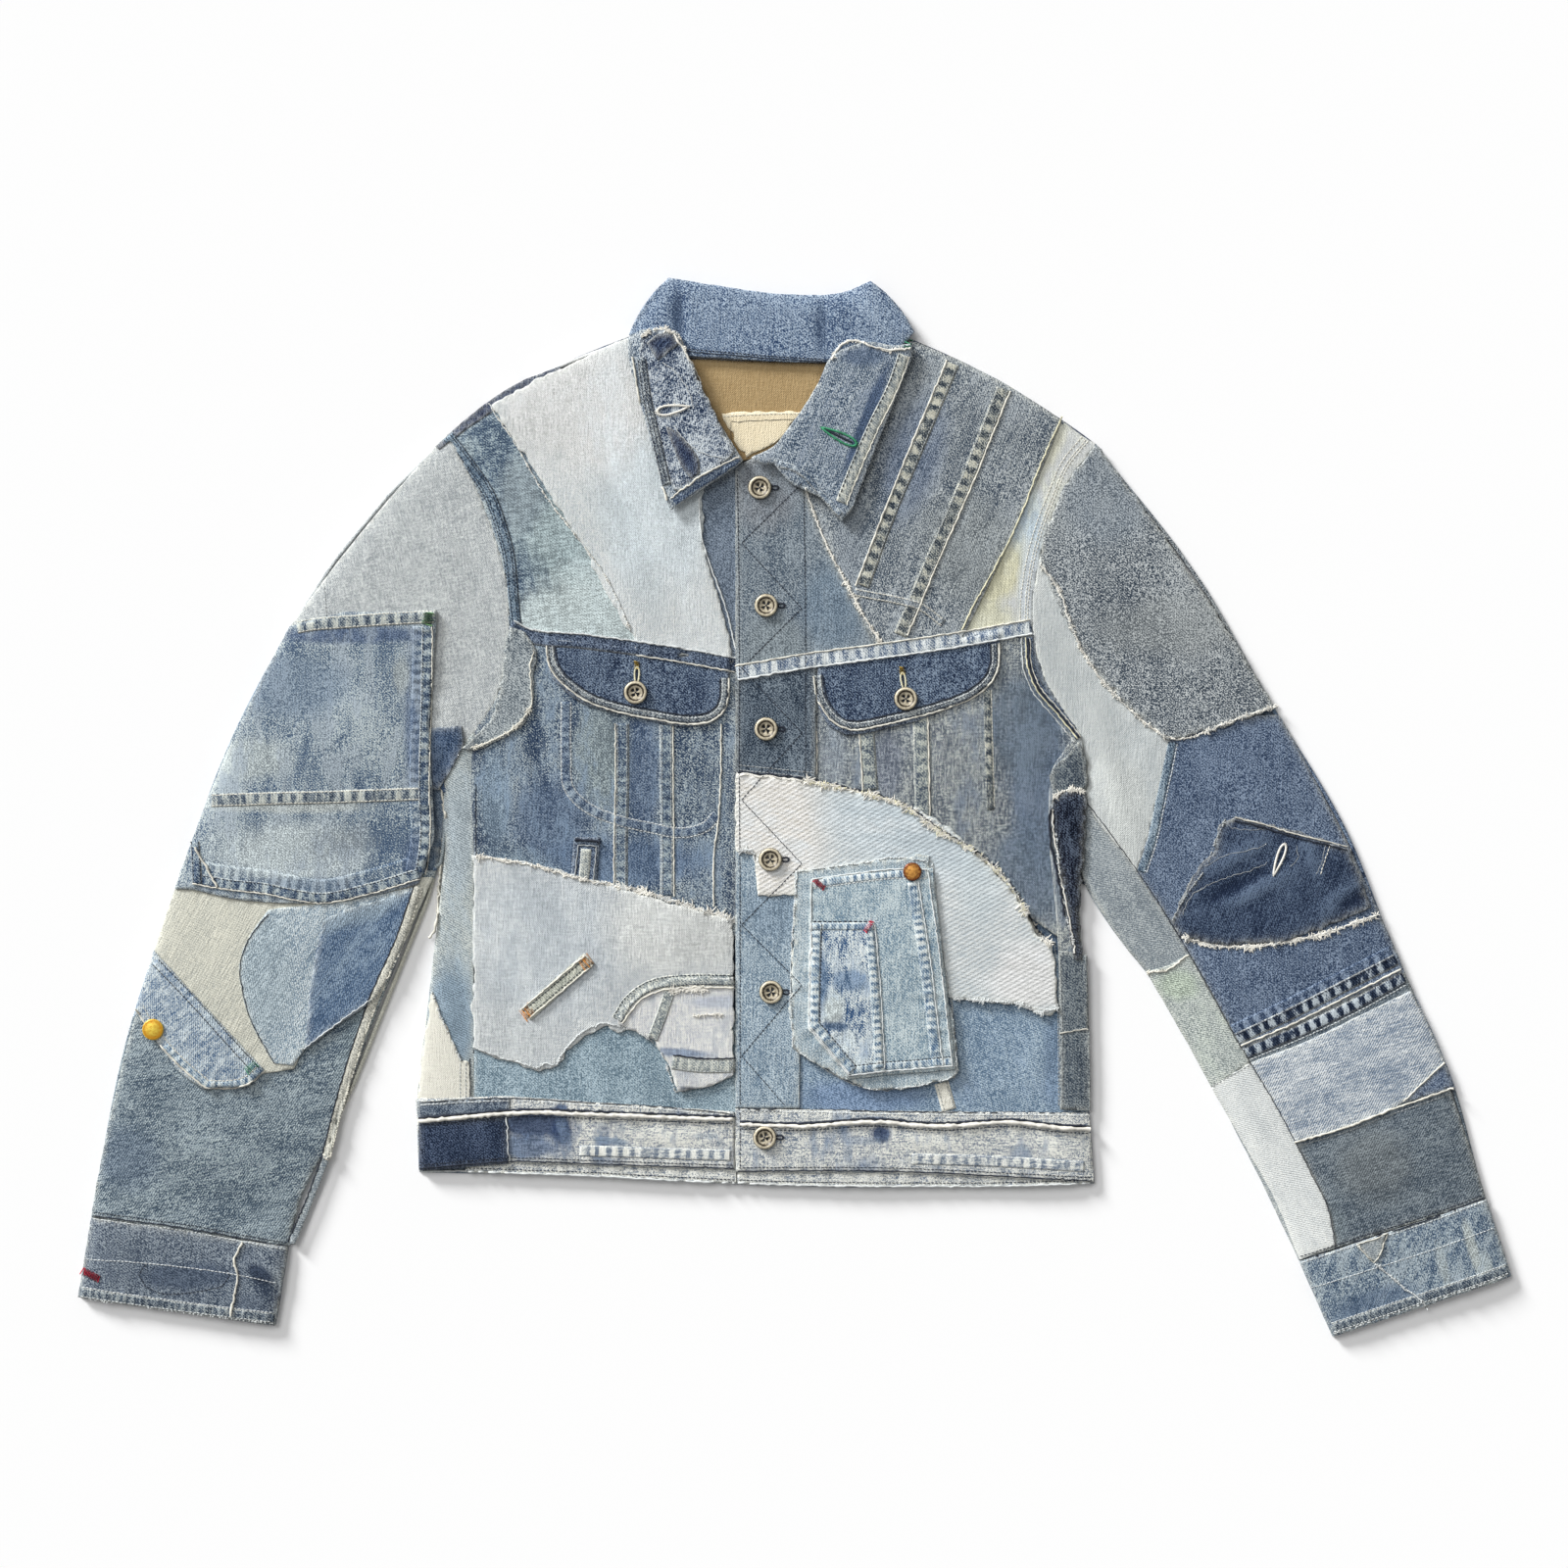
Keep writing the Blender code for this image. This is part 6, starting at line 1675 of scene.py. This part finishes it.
@dataclass
class LeftSleeve(Assembly):
    """The wearer's left sleeve: six cloths from the shoulder to the cuff."""

    name: str = "left_sleeve"
    upper_raw: Path = ((174.5, 173), (181.5, 165), (188.5, 154), (196.5, 131), (207, 109), (220.5, 89), (241, 68), (257.5, 54.5), (268, 49), (285, 51), (310, 61.5), (343.5, 72))
    pale_seam: Path = ((266.5, 47), (263, 29.5), (257.5, 3.5), (251.5, -24.5), (244.5, -45))
    patch_top: Path = ((313.5, -7), (330.5, -11), (352, -17.5), (380, -24.5), (394, -28))
    patch_left: Path = ((306.5, -8.5), (299.5, -24.5), (292.5, -43.5), (278.5, -63), (269, -80))
    patch_foot: Path = ((277, -92.5), (292.5, -97.5), (320.5, -99.5), (348.5, -96), (380, -89), (400.5, -82), (415, -77))
    patch_veins: tuple[Path, ...] = (
        ((292, -42), (307.5, -33.5), (321.5, -31), (335.5, -26.5)),
        ((283, -61.5), (304, -51), (321.5, -46), (336.5, -39)),
        ((276.5, -75.5), (282, -63.5), (290.5, -57.5)),
        ((357, -26.5), (359, -35), (353.5, -42)),
        ((378.5, -26.5), (374.5, -40.5), (371.5, -47.5)),
        ((304.5, -10), (315.5, -15.5), (334, -15.5)),
    )
    fell_middle: Path = ((318, -170), (356.5, -153.5), (394, -134.5), (432, -115.5))
    fell_upper: Path = ((315.5, -165), (353.5, -147), (391.5, -127.5), (429, -108.5))
    fell_lower: Path = ((320.5, -175.5), (359, -159.5), (397, -141.5), (434.5, -121))
    pale_band: Path = ((325, -182.5), (363.5, -167.5), (402, -149), (439, -131), (451, -154), (463.5, -182.5), (433.5, -209.5), (420, -217), (395, -227), (356.5, -238.5), (340, -207))
    blue_corner: Path = ((463.5, -182), (470.5, -199.5), (433.5, -210))
    corner_seam: Path = ((463.5, -182), (447.5, -196), (433.5, -209.5))
    band_foot: Path = ((356.5, -238.5), (376, -233), (395, -227), (420, -217), (446, -208), (469.5, -200))
    strip_seam: Path = ((208.5, 3.5), (244.5, -45.5), (268, -82), (281.5, -105), (297.5, -133.5), (315.5, -166.5), (325, -182.5), (339.5, -206.5), (356.5, -238), (369, -262), (380, -285.5), (385.5, -313))
    strip_green: Path = ((251.5, -117.5), (265.5, -113.5), (281.5, -105), (297.5, -133.5), (315.5, -166.5), (324, -182), (297.5, -199.5), (287.5, -180.5))
    strip_pale: Path = ((297.5, -199.5), (324, -182.5), (339.5, -206.5), (356.5, -238), (369, -262), (380, -285.5), (385.5, -312), (360.5, -322), (342.5, -278.5), (320, -238.5))
    cuff_seam: Path = ((360.5, -322.5), (405.5, -308), (451, -293.5), (492, -278.5))

    def build(self) -> None:
        """Builds the sleeve from the shoulder down."""
        self.upper()
        self.patch()
        self.lower()
        self.under_strip()

    def upper(self) -> None:
        """The speckled upper patch over pale cloth, and the indigo below them."""
        bench = self.bench
        bench.cut("left_sleeve_pale", PALE_SLEEVE, 0)
        bench.cut("left_sleeve_indigo", MID_INDIGO, 0)
        bench.ribbon("left_pale_seam", ARM_BAND, shifted(self.pale_seam, 2.6), 6.0, 0.3)
        bench.stitch(shifted(self.pale_seam, 6.4), WHITE_THREAD, Row.FINE)
        bench.cut("left_sleeve_upper", SALT, 1, edge=Edge.RAW)
        bench.cord(self.upper_raw, RAW_COTTON, 0.6, 0.5)
        bench.fray(self.upper_raw, RAW_COTTON, 4.0, 2.4)
        bench.fray(self.upper_raw, GREY_THREAD, 3.0, 1.8)

    def patch(self) -> None:
        """The dark patch with creases that run from its cream buttonhole."""
        bench = self.bench
        bench.cut("left_sleeve_dark_patch", DARK_PATCH, 1, edge=Edge.RAW, bulge=0.4)
        bench.cord(self.patch_top, CREAM_THREAD, 0.6, 0.2)
        bench.cord(shifted(self.patch_top, -2.2), NAVY_THREAD, 0.6, 0.2)
        bench.fray(self.patch_left, GREY_THREAD, 2.0, 1.2)
        bench.cord(self.patch_foot, RAW_COTTON, 0.7, 0.7)
        bench.fray(self.patch_foot, RAW_COTTON, 6.0, 4.0)
        bench.fray(self.patch_foot, GREY_THREAD, 4.0, 2.0)
        for path in self.patch_veins:
            bench.cord(path, GREY_THREAD, 0.2, 0.4, 0.8)
        bench.stitch(((381.5, -26.5), (374, -48.5)), CREAM_THREAD, Row.FINE)
        bench.buttonhole(345, -37, 70, 23, 6.5, RAW_COTTON)

    def lower(self) -> None:
        """The roped fell, the pale band and the slub denim above the cuff."""
        bench = self.bench
        bench.cut("left_sleeve_lower", SLATE, 0)
        rays = replace(MID_INDIGO, name="left_fell_rays", rope=0.7, rope_wave=8.6, edge=0.0)
        bench.ribbon("left_fell_rays", rays, shifted(self.fell_upper, 6.5), 9.0, 0.1)
        bench.cut("left_pale_band", PALE_BAND, 0.6, self.pale_band)
        bench.cut("left_blue_corner", MID_INDIGO, 0.7, self.blue_corner)
        bench.ribbon("left_fell_upper", FELL, self.fell_upper, 8.5, 0.5)
        bench.ribbon("left_fell_lower", FELL, self.fell_lower, 8.5, 0.5)
        bench.cord(self.fell_middle, CREAM_THREAD, 0.8, 0.15)
        bench.stitch(shifted(self.fell_upper, 3.0), NAVY_THREAD, Row.FINE)
        bench.stitch(shifted(self.fell_lower, -4.0), NAVY_THREAD, Row.FINE)
        bench.stitch(shifted(self.fell_lower, -5.6), WHITE_THREAD, Row.FINE)
        bench.cord(self.corner_seam, CREAM_THREAD, 0.6, 0.2)
        bench.cord(self.band_foot, CREAM_THREAD, 0.9, 0.3)
        bench.stitch(shifted(self.band_foot, -3.4), GREY_THREAD, Row.FINE)

    def under_strip(self) -> None:
        """The strip along the underarm, pieced from three cloths."""
        bench = self.bench
        bench.cut("left_sleeve_gusset", STRIP_GREY, 0)
        bench.cut("left_strip_green", STRIP_GREEN, 0.5, self.strip_green)
        bench.cut("left_strip_pale", STRIP_PALEST, 0.5, self.strip_pale)
        bench.cord(self.strip_seam, NAVY_THREAD, 0.35, 0.1)
        bench.cord(((251.5, -117.5), (264, -116), (280.5, -105.5)), CREAM_THREAD, 0.7, 0.4)
        bench.fray(((250, -117.5), (264, -116)), CREAM_THREAD, 3.0, 3.0)
        bench.stitch(((297.5, -199), (324, -183.5)), GREY_THREAD, Row.FINE)


@dataclass
class Cuff(Assembly):
    """A cuff that lies flat: an upper and a lower ply, open at the mouth."""

    side: str = "right"
    cloth: Denim = CUFF_R
    outline: Path = ()
    seam: Path = ()
    second: Path = ()
    foot: Path = ()

    def build(self) -> None:
        """Lays both plies and sews the rows that run round the cuff."""
        bench = self.bench
        bench.cut(f"{self.side}_cuff_under", INDIGO, None, self.outline, replaces=(f"{self.side}_cuff",))
        bench.cut(f"{self.side}_cuff", self.cloth, 1.2, self.outline, bulge=0.6, replaces=(f"{self.side}_cuff",))
        bench.cord(self.seam, NAVY_THREAD, 0.5, 0.1)
        bench.stitch(shifted(self.seam, -2.0), WHITE_THREAD, Row.FINE)
        bench.stitch(shifted(self.seam, 2.4), NAVY_THREAD, Row.FINE)
        bench.stitch(self.second, WHITE_THREAD, Row.FINE)
        bench.ribbon(f"{self.side}_cuff_foot", CUFF_ROPE, shifted(self.foot, 3.8), 7.0, 0.4)
        bench.stitch(shifted(self.foot, 7.8), WHITE_THREAD, Row.FINE)
        bench.stitch(shifted(self.foot, 1.2), WHITE_THREAD, Row.FINE)
        bench.fray(self.foot, WHITE_THREAD, 1.5, 0.8)
        if self.side == "right":
            self.right_trims()
        else:
            self.left_trims()

    def right_trims(self) -> None:
        """The pale mended seam, a row of navy stitches and the red bartack."""
        bench = self.bench
        mend = ((-393.5, -310), (-397.5, -317), (-399.5, -325), (-397, -331), (-398.5, -343.5), (-400.5, -354), (-402, -362))
        bench.cord(mend, CREAM_THREAD, 0.9, 0.3)
        bench.fray(mend, CREAM_THREAD, 1.8, 1.0)
        bench.bartack(-502, -333, -24, 14, 5.0, RED_THREAD)
        bench.stitch(((-462.5, -325), (-467.5, -332.5), (-462.5, -341.5), (-451.5, -346), (-424, -344.5), (-408, -341), (-402.5, -333), (-405.5, -328.5)), NAVY_THREAD, Row.FINE)

    def left_trims(self) -> None:
        """The triangular insert and the zigzag mend beside it."""
        bench = self.bench
        insert = ((400.5, -311), (415, -306.5), (422, -303), (418, -315.5), (413, -324), (406.5, -318.5))
        bench.cut("left_cuff_insert", STRIP_GREY, 2.4, insert, Edge.RAW)
        bench.cord([*insert, insert[0]], CREAM_THREAD, 0.5, 0.3)
        mend = ((413.5, -325), (423.5, -333), (433.5, -341.5), (443, -348.5), (451.5, -357))
        bench.fray(mend, WHITE_THREAD, 2.6, 2.4)
        bench.cord(mend, WHITE_THREAD, 0.5, 0.6)


@dataclass
class Hardware(Assembly):
    """The buttons, the plain metal button on the sleeve and the rivet on the pocket."""

    name: str = "hardware"
    radius: float = 8.4
    rim_profile: Path = (
        (0.0, 1.5), (4.6, 1.5), (5.2, 1.75), (5.7, 2.5), (6.6, 2.95), (7.5, 2.85), (8.2, 2.2), (8.4, 1.3), (7.8, 0.5), (6.0, 0.0), (0.0, 0.0),
    )
    dome_profile: Path = ((0.0, 2.7), (2.4, 2.62), (4.6, 2.3), (6.0, 1.9), (6.6, 1.95), (7.3, 1.7), (7.6, 1.0), (7.2, 0.3), (6.0, 0.0), (0.0, 0.0))
    button_wear: Path = ((0.0, 0.8), (4.5, 0.8), (5.0, 0.1), (5.8, -0.1), (6.4, 0.7), (7.6, 0.9), (8.1, 0.3), (8.5, -0.1))
    stud_wear: Path = ((0.0, 0.7), (3.0, 0.55), (4.6, 0.35), (6.0, 0.1), (6.6, -0.1), (7.3, 0.6), (7.7, 0.0))
    front_buttons: Path = ((-25, 228), (-20.5, 144), (-20.5, 56), (-17.5, -37), (-17, -131.5), (-21.5, -235))
    flap_buttons: Path = ((-113.5, 82), (79, 77.5))
    sleeve_button: Point = (-457, -158)
    rivet: Point = (83.5, -45.5)

    def build(self) -> None:
        """Sews on every button and sets the rivet."""
        for number, place in enumerate(self.front_buttons, 1):
            self.button(f"front_button_{number}", place, 7.0 * (number - 3))
            x, y = place
            self.bench.buttonhole(x + 10.0, y, 0, 6.0, 4.0, NAVY_THREAD)
        self.button("right_flap_button", self.flap_buttons[0], 8)
        self.button("left_flap_button", self.flap_buttons[1], -6)
        self.stud("sleeve_flap_button", self.sleeve_button, 1.0, BRASS)
        self.stud("pocket_rivet", self.rivet, 0.86, COPPER)

    def turned(self, profile: Path, scale: float) -> bmesh.types.BMesh:
        """Spins a profile of radius and height into a closed shape, in millimetres."""
        mesh = bmesh.new()
        verts = [mesh.verts.new((radius * scale, 0, height * scale)) for radius, height in profile]
        edges = [mesh.edges.new(pair) for pair in zip(verts, verts[1:])]
        bmesh.ops.spin(
            mesh, geom=[*verts, *edges], cent=(0, 0, 0), axis=(0, 0, 1), angle=2 * math.pi, steps=32, use_merge=True
        )
        bmesh.ops.remove_doubles(mesh, verts=mesh.verts[:], dist=0.01)
        return mesh

    def place(self, name: str, mesh: bmesh.types.BMesh, spot: Point, metal: Metal, wear: Path) -> bpy.types.Object:
        """Sets a turned shape on the cloth; wear says how rubbed it is at each radius."""
        x, y = spot
        base = max(self.bench.probe(x + dx, y + dy)[0] for dx, dy in ((0, 0), (5, 0), (-5, 0), (0, 5), (0, -5)))
        bmesh.ops.translate(mesh, vec=(x, y, base + 0.15), verts=mesh.verts[:])
        piece = self.bench.keep(f"{name}_metal", mesh, metal)
        spots = np.array([vert.co for vert in piece.data.vertices]) / MM
        away = np.hypot(spots[:, 0] - x, spots[:, 1] - y)
        self.bench.note(piece, "edge", np.interp(away, *np.array(wear).T))
        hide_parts(name)
        return piece

    def button(self, name: str, spot: Point, turn: float) -> None:
        """A four-hole button with a raised rim, sewn on with a cross of thread."""
        mesh = self.turned(self.rim_profile, 1.0)
        piece = self.place(name, mesh, spot, BRONZE, self.button_wear)
        self.drill(piece, spot, turn)
        x, y = spot
        top = max(vert.co.z for vert in piece.data.vertices) / MM
        for corner in (turn + 45, turn + 135):
            along = np.array([math.cos(math.radians(corner)), math.sin(math.radians(corner))])
            ends = [np.array([x, y]) + along * reach for reach in (-2.1, 0.0, 2.1)]
            points = np.column_stack([np.array(ends), (top - 1.9, top - 1.2, top - 1.9)])
            self.bench.yarn(NAVY_THREAD, points, 0.26)

    def drill(self, piece: bpy.types.Object, spot: Point, turn: float) -> None:
        """Cuts the four holes through a button."""
        drill = bmesh.new()
        for index in range(4):
            angle = math.radians(turn + 45 + 90 * index)
            middle = Vector((spot[0] + 2.1 * math.cos(angle), spot[1] + 2.1 * math.sin(angle), 0))
            bmesh.ops.create_cone(
                drill, cap_ends=True, segments=12, radius1=0.95, radius2=0.95, depth=90, matrix=Matrix.Translation(middle)
            )
        bmesh.ops.transform(drill, matrix=Matrix.Scale(MM, 4), verts=drill.verts[:])
        data = bpy.data.meshes.new("drill")
        drill.to_mesh(data)
        drill.free()
        tool = bpy.data.objects.new("drill", data)
        bpy.context.scene.collection.objects.link(tool)
        cut = piece.modifiers.new("holes", "BOOLEAN")
        cut.operation = "DIFFERENCE"
        cut.object = tool
        graph = bpy.context.evaluated_depsgraph_get()
        piece.data = bpy.data.meshes.new_from_object(piece.evaluated_get(graph))
        piece.modifiers.clear()
        bpy.data.objects.remove(tool)

    def stud(self, name: str, spot: Point, scale: float, metal: Metal) -> None:
        """A plain domed metal button or rivet with a rolled rim."""
        self.place(name, self.turned(self.dome_profile, scale), spot, metal, self.stud_wear)


@dataclass
class Rims(Assembly):
    """The folds where the front of the garment turns round to the back."""

    name: str = "fold"
    lines: Sequence[Path] = ()
    radius: float = 1.45

    def build(self) -> None:
        """Rolls the cloth that lies at each stretch of the outer edge."""
        for line in self.lines:
            path = rounded(line, 4.0)
            sides = sides_of(path)
            strands: list[tuple[Denim, list[np.ndarray]]] = []
            for point, side in zip(path, sides):
                inner, inner_cloth = self.bench.probe(*(point + side * 4))
                outer, outer_cloth = self.bench.probe(*(point - side * 4))
                way, cloth = (1, inner_cloth) if inner >= outer else (-1, outer_cloth)
                if cloth is None:
                    continue
                spot = np.array([*(point + side * way * (self.radius + 0.2)), self.radius + 0.1])
                if not strands or strands[-1][0] is not cloth:
                    if strands:
                        strands[-1][1].append(spot)
                    strands.append((cloth, []))
                strands[-1][1].append(spot)
            for cloth, spots in strands:
                if len(spots) > 1:
                    self.bench.yarn(cloth, np.array(spots), self.radius, 2)


@dataclass
class Studio:
    """A plain pale floor, soft light from the upper left and a camera straight above."""

    floor_size: float = 6.0
    camera_height: float = 2.645
    camera_x: float = -0.0077
    camera_y: float = 0.0168
    lens: float = 85.0
    key_strength: float = 1.0
    side_strength: float = 4.4
    sky_strength: float = 0.3

    def build(self) -> None:
        """Sets up the floor, the lights and the camera."""
        self.floor()
        self.lights()
        self.camera()

    def floor(self) -> None:
        """A plain pale floor at the height on which the jacket lies."""
        mesh = bmesh.new()
        bmesh.ops.create_grid(mesh, x_segments=1, y_segments=1, size=self.floor_size / 2)
        bmesh.ops.translate(mesh, vec=(0, 0, -0.0004), verts=mesh.verts[:])
        data = bpy.data.meshes.new("floor")
        mesh.to_mesh(data)
        mesh.free()
        tree = Tree("floor_paper")
        tree.shader.inputs["Base Color"].default_value = (0.985, 0.985, 0.985, 1)
        tree.shader.inputs["Roughness"].default_value = 1.0
        tree.shader.inputs["Specular IOR Level"].default_value = 0.0
        data.materials.append(tree.material)
        floor = bpy.data.objects.new("floor", data)
        bpy.context.scene.collection.objects.link(floor)

    def lights(self) -> None:
        """A high soft lamp and a low one, both from the upper left, and an even sky."""
        self.lamp("key", self.key_strength, Vector((-0.6, 0.64, 1.1)), 30)
        self.lamp("side", self.side_strength, Vector((-0.66, 0.7, 0.33)), 15)
        world = bpy.data.worlds.new("studio")
        world.use_nodes = True
        world.node_tree.nodes["Background"].inputs["Color"].default_value = (1, 1, 1, 1)
        world.node_tree.nodes["Background"].inputs["Strength"].default_value = self.sky_strength
        bpy.context.scene.world = world
        bpy.context.scene.view_settings.view_transform = "Standard"

    def lamp(self, name: str, strength: float, towards: Vector, softness: float) -> None:
        """A distant lamp; towards points from the jacket to it, and softness is its width in degrees."""
        data = bpy.data.lights.new(name, "SUN")
        data.energy = strength
        data.angle = math.radians(softness)
        lamp = bpy.data.objects.new(name, data)
        lamp.rotation_euler = towards.to_track_quat("Z", "Y").to_euler()
        bpy.context.scene.collection.objects.link(lamp)

    def camera(self) -> None:
        """A camera that looks straight down, with the collar at the top of its picture."""
        data = bpy.data.cameras.new("camera")
        data.lens = self.lens
        camera = bpy.data.objects.new("camera", data)
        camera.location = (self.camera_x, self.camera_y, self.camera_height)
        bpy.context.scene.collection.objects.link(camera)
        bpy.context.scene.camera = camera


# ---------------------------------------------------------------- the whole jacket

RIM_LINES: tuple[Path, ...] = (
    ((-248, 266), (-190, 306), (-118, 336)),
    ((84, 334), (150, 303), (215, 259)),
    ((-248, 266), (-310, 203), (-360, 129), (-404, 46), (-437, -44), (-478, -168), (-502, -292), (-511, -349)),
    ((215, 259), (285, 170), (342, 72), (393, -14), (429, -103), (468, -190), (493, -279), (511, -334)),
    ((-250, 34), (-255, -43), (-290, -144), (-333, -242), (-361, -313), (-371, -369)),
    ((208, 30), (205, -48), (225, -85), (251, -117), (309, -218), (360, -323), (384, -377)),
    ((-250, 34), (-249, -30), (-258, -110), (-270, -210), (-268, -258)),
    ((208, 30), (202, -51), (207, -135), (210, -218), (213, -267)),
    ((-118, 337), (-104, 358), (-90, 377), (-45, 371), (-5, 365.5), (35, 367), (54, 375), (70, 358), (85, 339)),
)

FOLDS = (
    Fold(-251.5, 87, -259.5, 17, 22, 0.9),
    Fold(-238.5, 73, -217.5, 17, 14, -0.7),
    Fold(-214, 38, -189.5, -25, 16, 0.8),
    Fold(-186, 73, -178.5, 3, 10, -0.8),
    Fold(-165, 220, -147.5, 129, 12, 0.5),
    Fold(-119.5, 283, -84.5, 129, 22, 0.5),
    Fold(-147.5, 276, -105.5, 157, 12, -0.4),
    Fold(-84.5, 374, -82.5, 327.5, 9, -1.0),
    Fold(19, 364, 17.5, 323.5, 8, -1.0),
    Fold(48.5, 367, 66, 335.5, 12, 0.8),
    Fold(-217.5, 248, -200, 143, 10, 0.5),
    Fold(174.5, 87, 160.5, -11, 14, 0.8),
    Fold(146.5, 73, 153.5, -25, 12, -0.6),
    Fold(223.5, 87, 258.5, -25, 16, -1.0),
    Fold(209.5, 59, 237.5, -18, 13, 0.9),
    Fold(237.5, 45, 251.5, 17, 12, 0.7),
    Fold(258.5, 213, 293.5, 87, 30, 0.8),
    Fold(209.5, 185, 244.5, 87, 24, -0.6),
    Fold(290, -49.5, 342.5, -18, 9, 0.9),
    Fold(283, -70.5, 349.5, -39, 8, -0.9),
    Fold(300.5, -74, 363.5, -39, 9, 0.8),
    Fold(363.5, -18, 374, -53, 8, 0.7),
    Fold(384.5, -74, 412.5, -56.5, 8, -1.0),
    Fold(363.5, -84.5, 409, -49.5, 10, 0.7),
    Fold(-427.5, 87, -399.5, -25, 26, 0.7),
    Fold(-336.5, 87, -273.5, 31, 26, 0.5),
    Fold(-357.5, -32, -266.5, -18, 18, -0.6),
    Fold(-462.5, -235, -364.5, -256, 18, 0.5),
    Fold(-455.5, -270, -357.5, -291, 16, -0.5),
    Fold(-384.5, -326, -357.5, -341.5, 9, 1.0),
    Fold(-389, -333, -364.5, -354, 8, -0.9),
    Fold(377.5, -249, 454.5, -221, 20, 0.5),
    Fold(384.5, -291, 468.5, -263, 20, -0.5),
    Fold(-203.5, -88, -175.5, -165, 20, 0.4),
    Fold(174.5, -151, 167.5, -207, 16, 0.7),
    Fold(132.5, -151, 139.5, -200, 18, -0.4),
    Fold(-84.5, -39, -77.5, -74, 12, 0.4),
    Fold(-231.5, -39, -233, -165, 8, 0.6),
    Fold(-119.5, -235, -63.5, -235, 9, 0.6),
    Fold(62.5, -235, 125.5, -242, 9, 0.6),
    Fold(-175.5, -228, -175.5, -256, 8, 0.6),
    Fold(174.5, -235, 195.5, -249, 9, 0.7),
)


def puckers() -> tuple[Pucker, ...]:
    """The seams along which the cloth is gathered."""
    right, left, hem = RightFront, LeftFront, HemBand
    sleeve, arm, pocket = RightSleeve, LeftSleeve, UtilityPocket
    return (
        Pucker(right.armhole_inner, 7, 0.35, 11),
        Pucker(right.tape, 8, 0.4, 12),
        Pucker(right.flap_rim, 6, 0.35, 8),
        Pucker(right.pocket_seam, 6, 0.45, 9),
        Pucker(right.strip_one, 7, 0.35, 10),
        Pucker(right.strip_two, 7, 0.35, 10),
        Pucker(right.lower_top, 6, 0.4, 11),
        Pucker(right.inset_arc, 6, 0.4, 9),
        Pucker(left.seam_one, 8, 0.5, 10),
        Pucker(left.seam_two, 8, 0.5, 10),
        Pucker(left.yoke_arc, 7, 0.5, 8),
        Pucker(left.tape, 8, 0.4, 12),
        Pucker(left.flap_rim, 6, 0.35, 8),
        Pucker(left.armhole_low, 7, 0.4, 9),
        Pucker(left.side_column, 6, 0.4, 9),
        Pucker(left.arc_top, 7, 0.4, 12),
        Pucker(left.arc_bottom, 6, 0.4, 10),
        Pucker(left.zigzag, 6, 0.25, 12),
        Pucker(pocket.right_rows, 8, 0.5, 8),
        Pucker(pocket.body_rim, 7, 0.4, 8),
        Pucker(pocket.pen_rim, 9, 0.5, 9),
        Pucker(hem.right_foot, 10, 0.5, 12),
        Pucker(hem.left_foot, 10, 0.5, 12),
        Pucker(hem.right_piping, 7, 0.4, 13),
        Pucker(hem.left_piping, 7, 0.4, 13),
        Pucker(sleeve.pocket_top, 8, 0.4, 10),
        Pucker(sleeve.pocket_mid, 8, 0.4, 10),
        Pucker(sleeve.pocket_right, 10, 0.6, 11),
        Pucker(sleeve.pocket_foot, 11, 0.6, 11),
        Pucker(sleeve.flap_rim, 8, 0.5, 8),
        Pucker(sleeve.flap_top, 7, 0.4, 9),
        Pucker(sleeve.cuff_seam, 8, 0.35, 13),
        Pucker(arm.upper_raw, 7, 0.4, 13),
        Pucker(arm.fell_middle, 14, 0.5, 7),
        Pucker(arm.band_foot, 6, 0.4, 11),
        Pucker(arm.patch_foot, 6, 0.4, 9),
        Pucker(arm.cuff_seam, 10, 0.4, 11),
        Pucker(((-509, -341.5), (-462.5, -350.5), (-420.5, -357.5), (-371.5, -367)), 8, 0.5, 9),
        Pucker(((378.5, -374), (426.5, -361), (468.5, -347), (507.5, -335.5)), 10, 0.6, 9),
    )


def main() -> None:
    """Builds the jacket and its studio."""
    logging.basicConfig(level=logging.INFO, format="%(name)s %(message)s")
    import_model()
    bench = Bench(Relief(FOLDS, puckers(), RIM_LINES))
    for assembly in (
        Back(bench),
        Collar(bench),
        RightFront(bench),
        LeftFront(bench),
        HemBand(bench),
        RightSleeve(bench),
        LeftSleeve(bench),
        Cuff(
            bench,
            name="right_cuff",
            side="right",
            cloth=CUFF_R,
            outline=((-361.5, -313.6), (-501.5, -292.8), (-511, -349), (-371, -369)),
            seam=((-500.5, -291), (-462.5, -296), (-427.5, -301), (-392.5, -307.5), (-362, -313)),
            second=((-505.5, -322), (-469.5, -324), (-427.5, -328.5), (-399.5, -332.5), (-369, -339)),
            foot=((-509.5, -349.5), (-462.5, -356.5), (-420.5, -362), (-371.5, -368)),
        ),
        Cuff(
            bench,
            name="left_cuff",
            side="left",
            cloth=CUFF_L,
            outline=((360.5, -323.8), (493, -279.8), (511, -334), (384, -377)),
            seam=((361, -322.5), (405.5, -308), (451, -293.5), (492, -278.5)),
            second=((368, -342.5), (412.5, -328.5), (454.5, -315), (499, -299.5)),
            foot=((384.5, -375), (426.5, -361), (468.5, -347), (509.5, -333)),
        ),
        Hardware(bench),
        Rims(bench, lines=RIM_LINES),
    ):
        assembly.make()
    Studio().build()


if __name__ == "__main__":
    main()
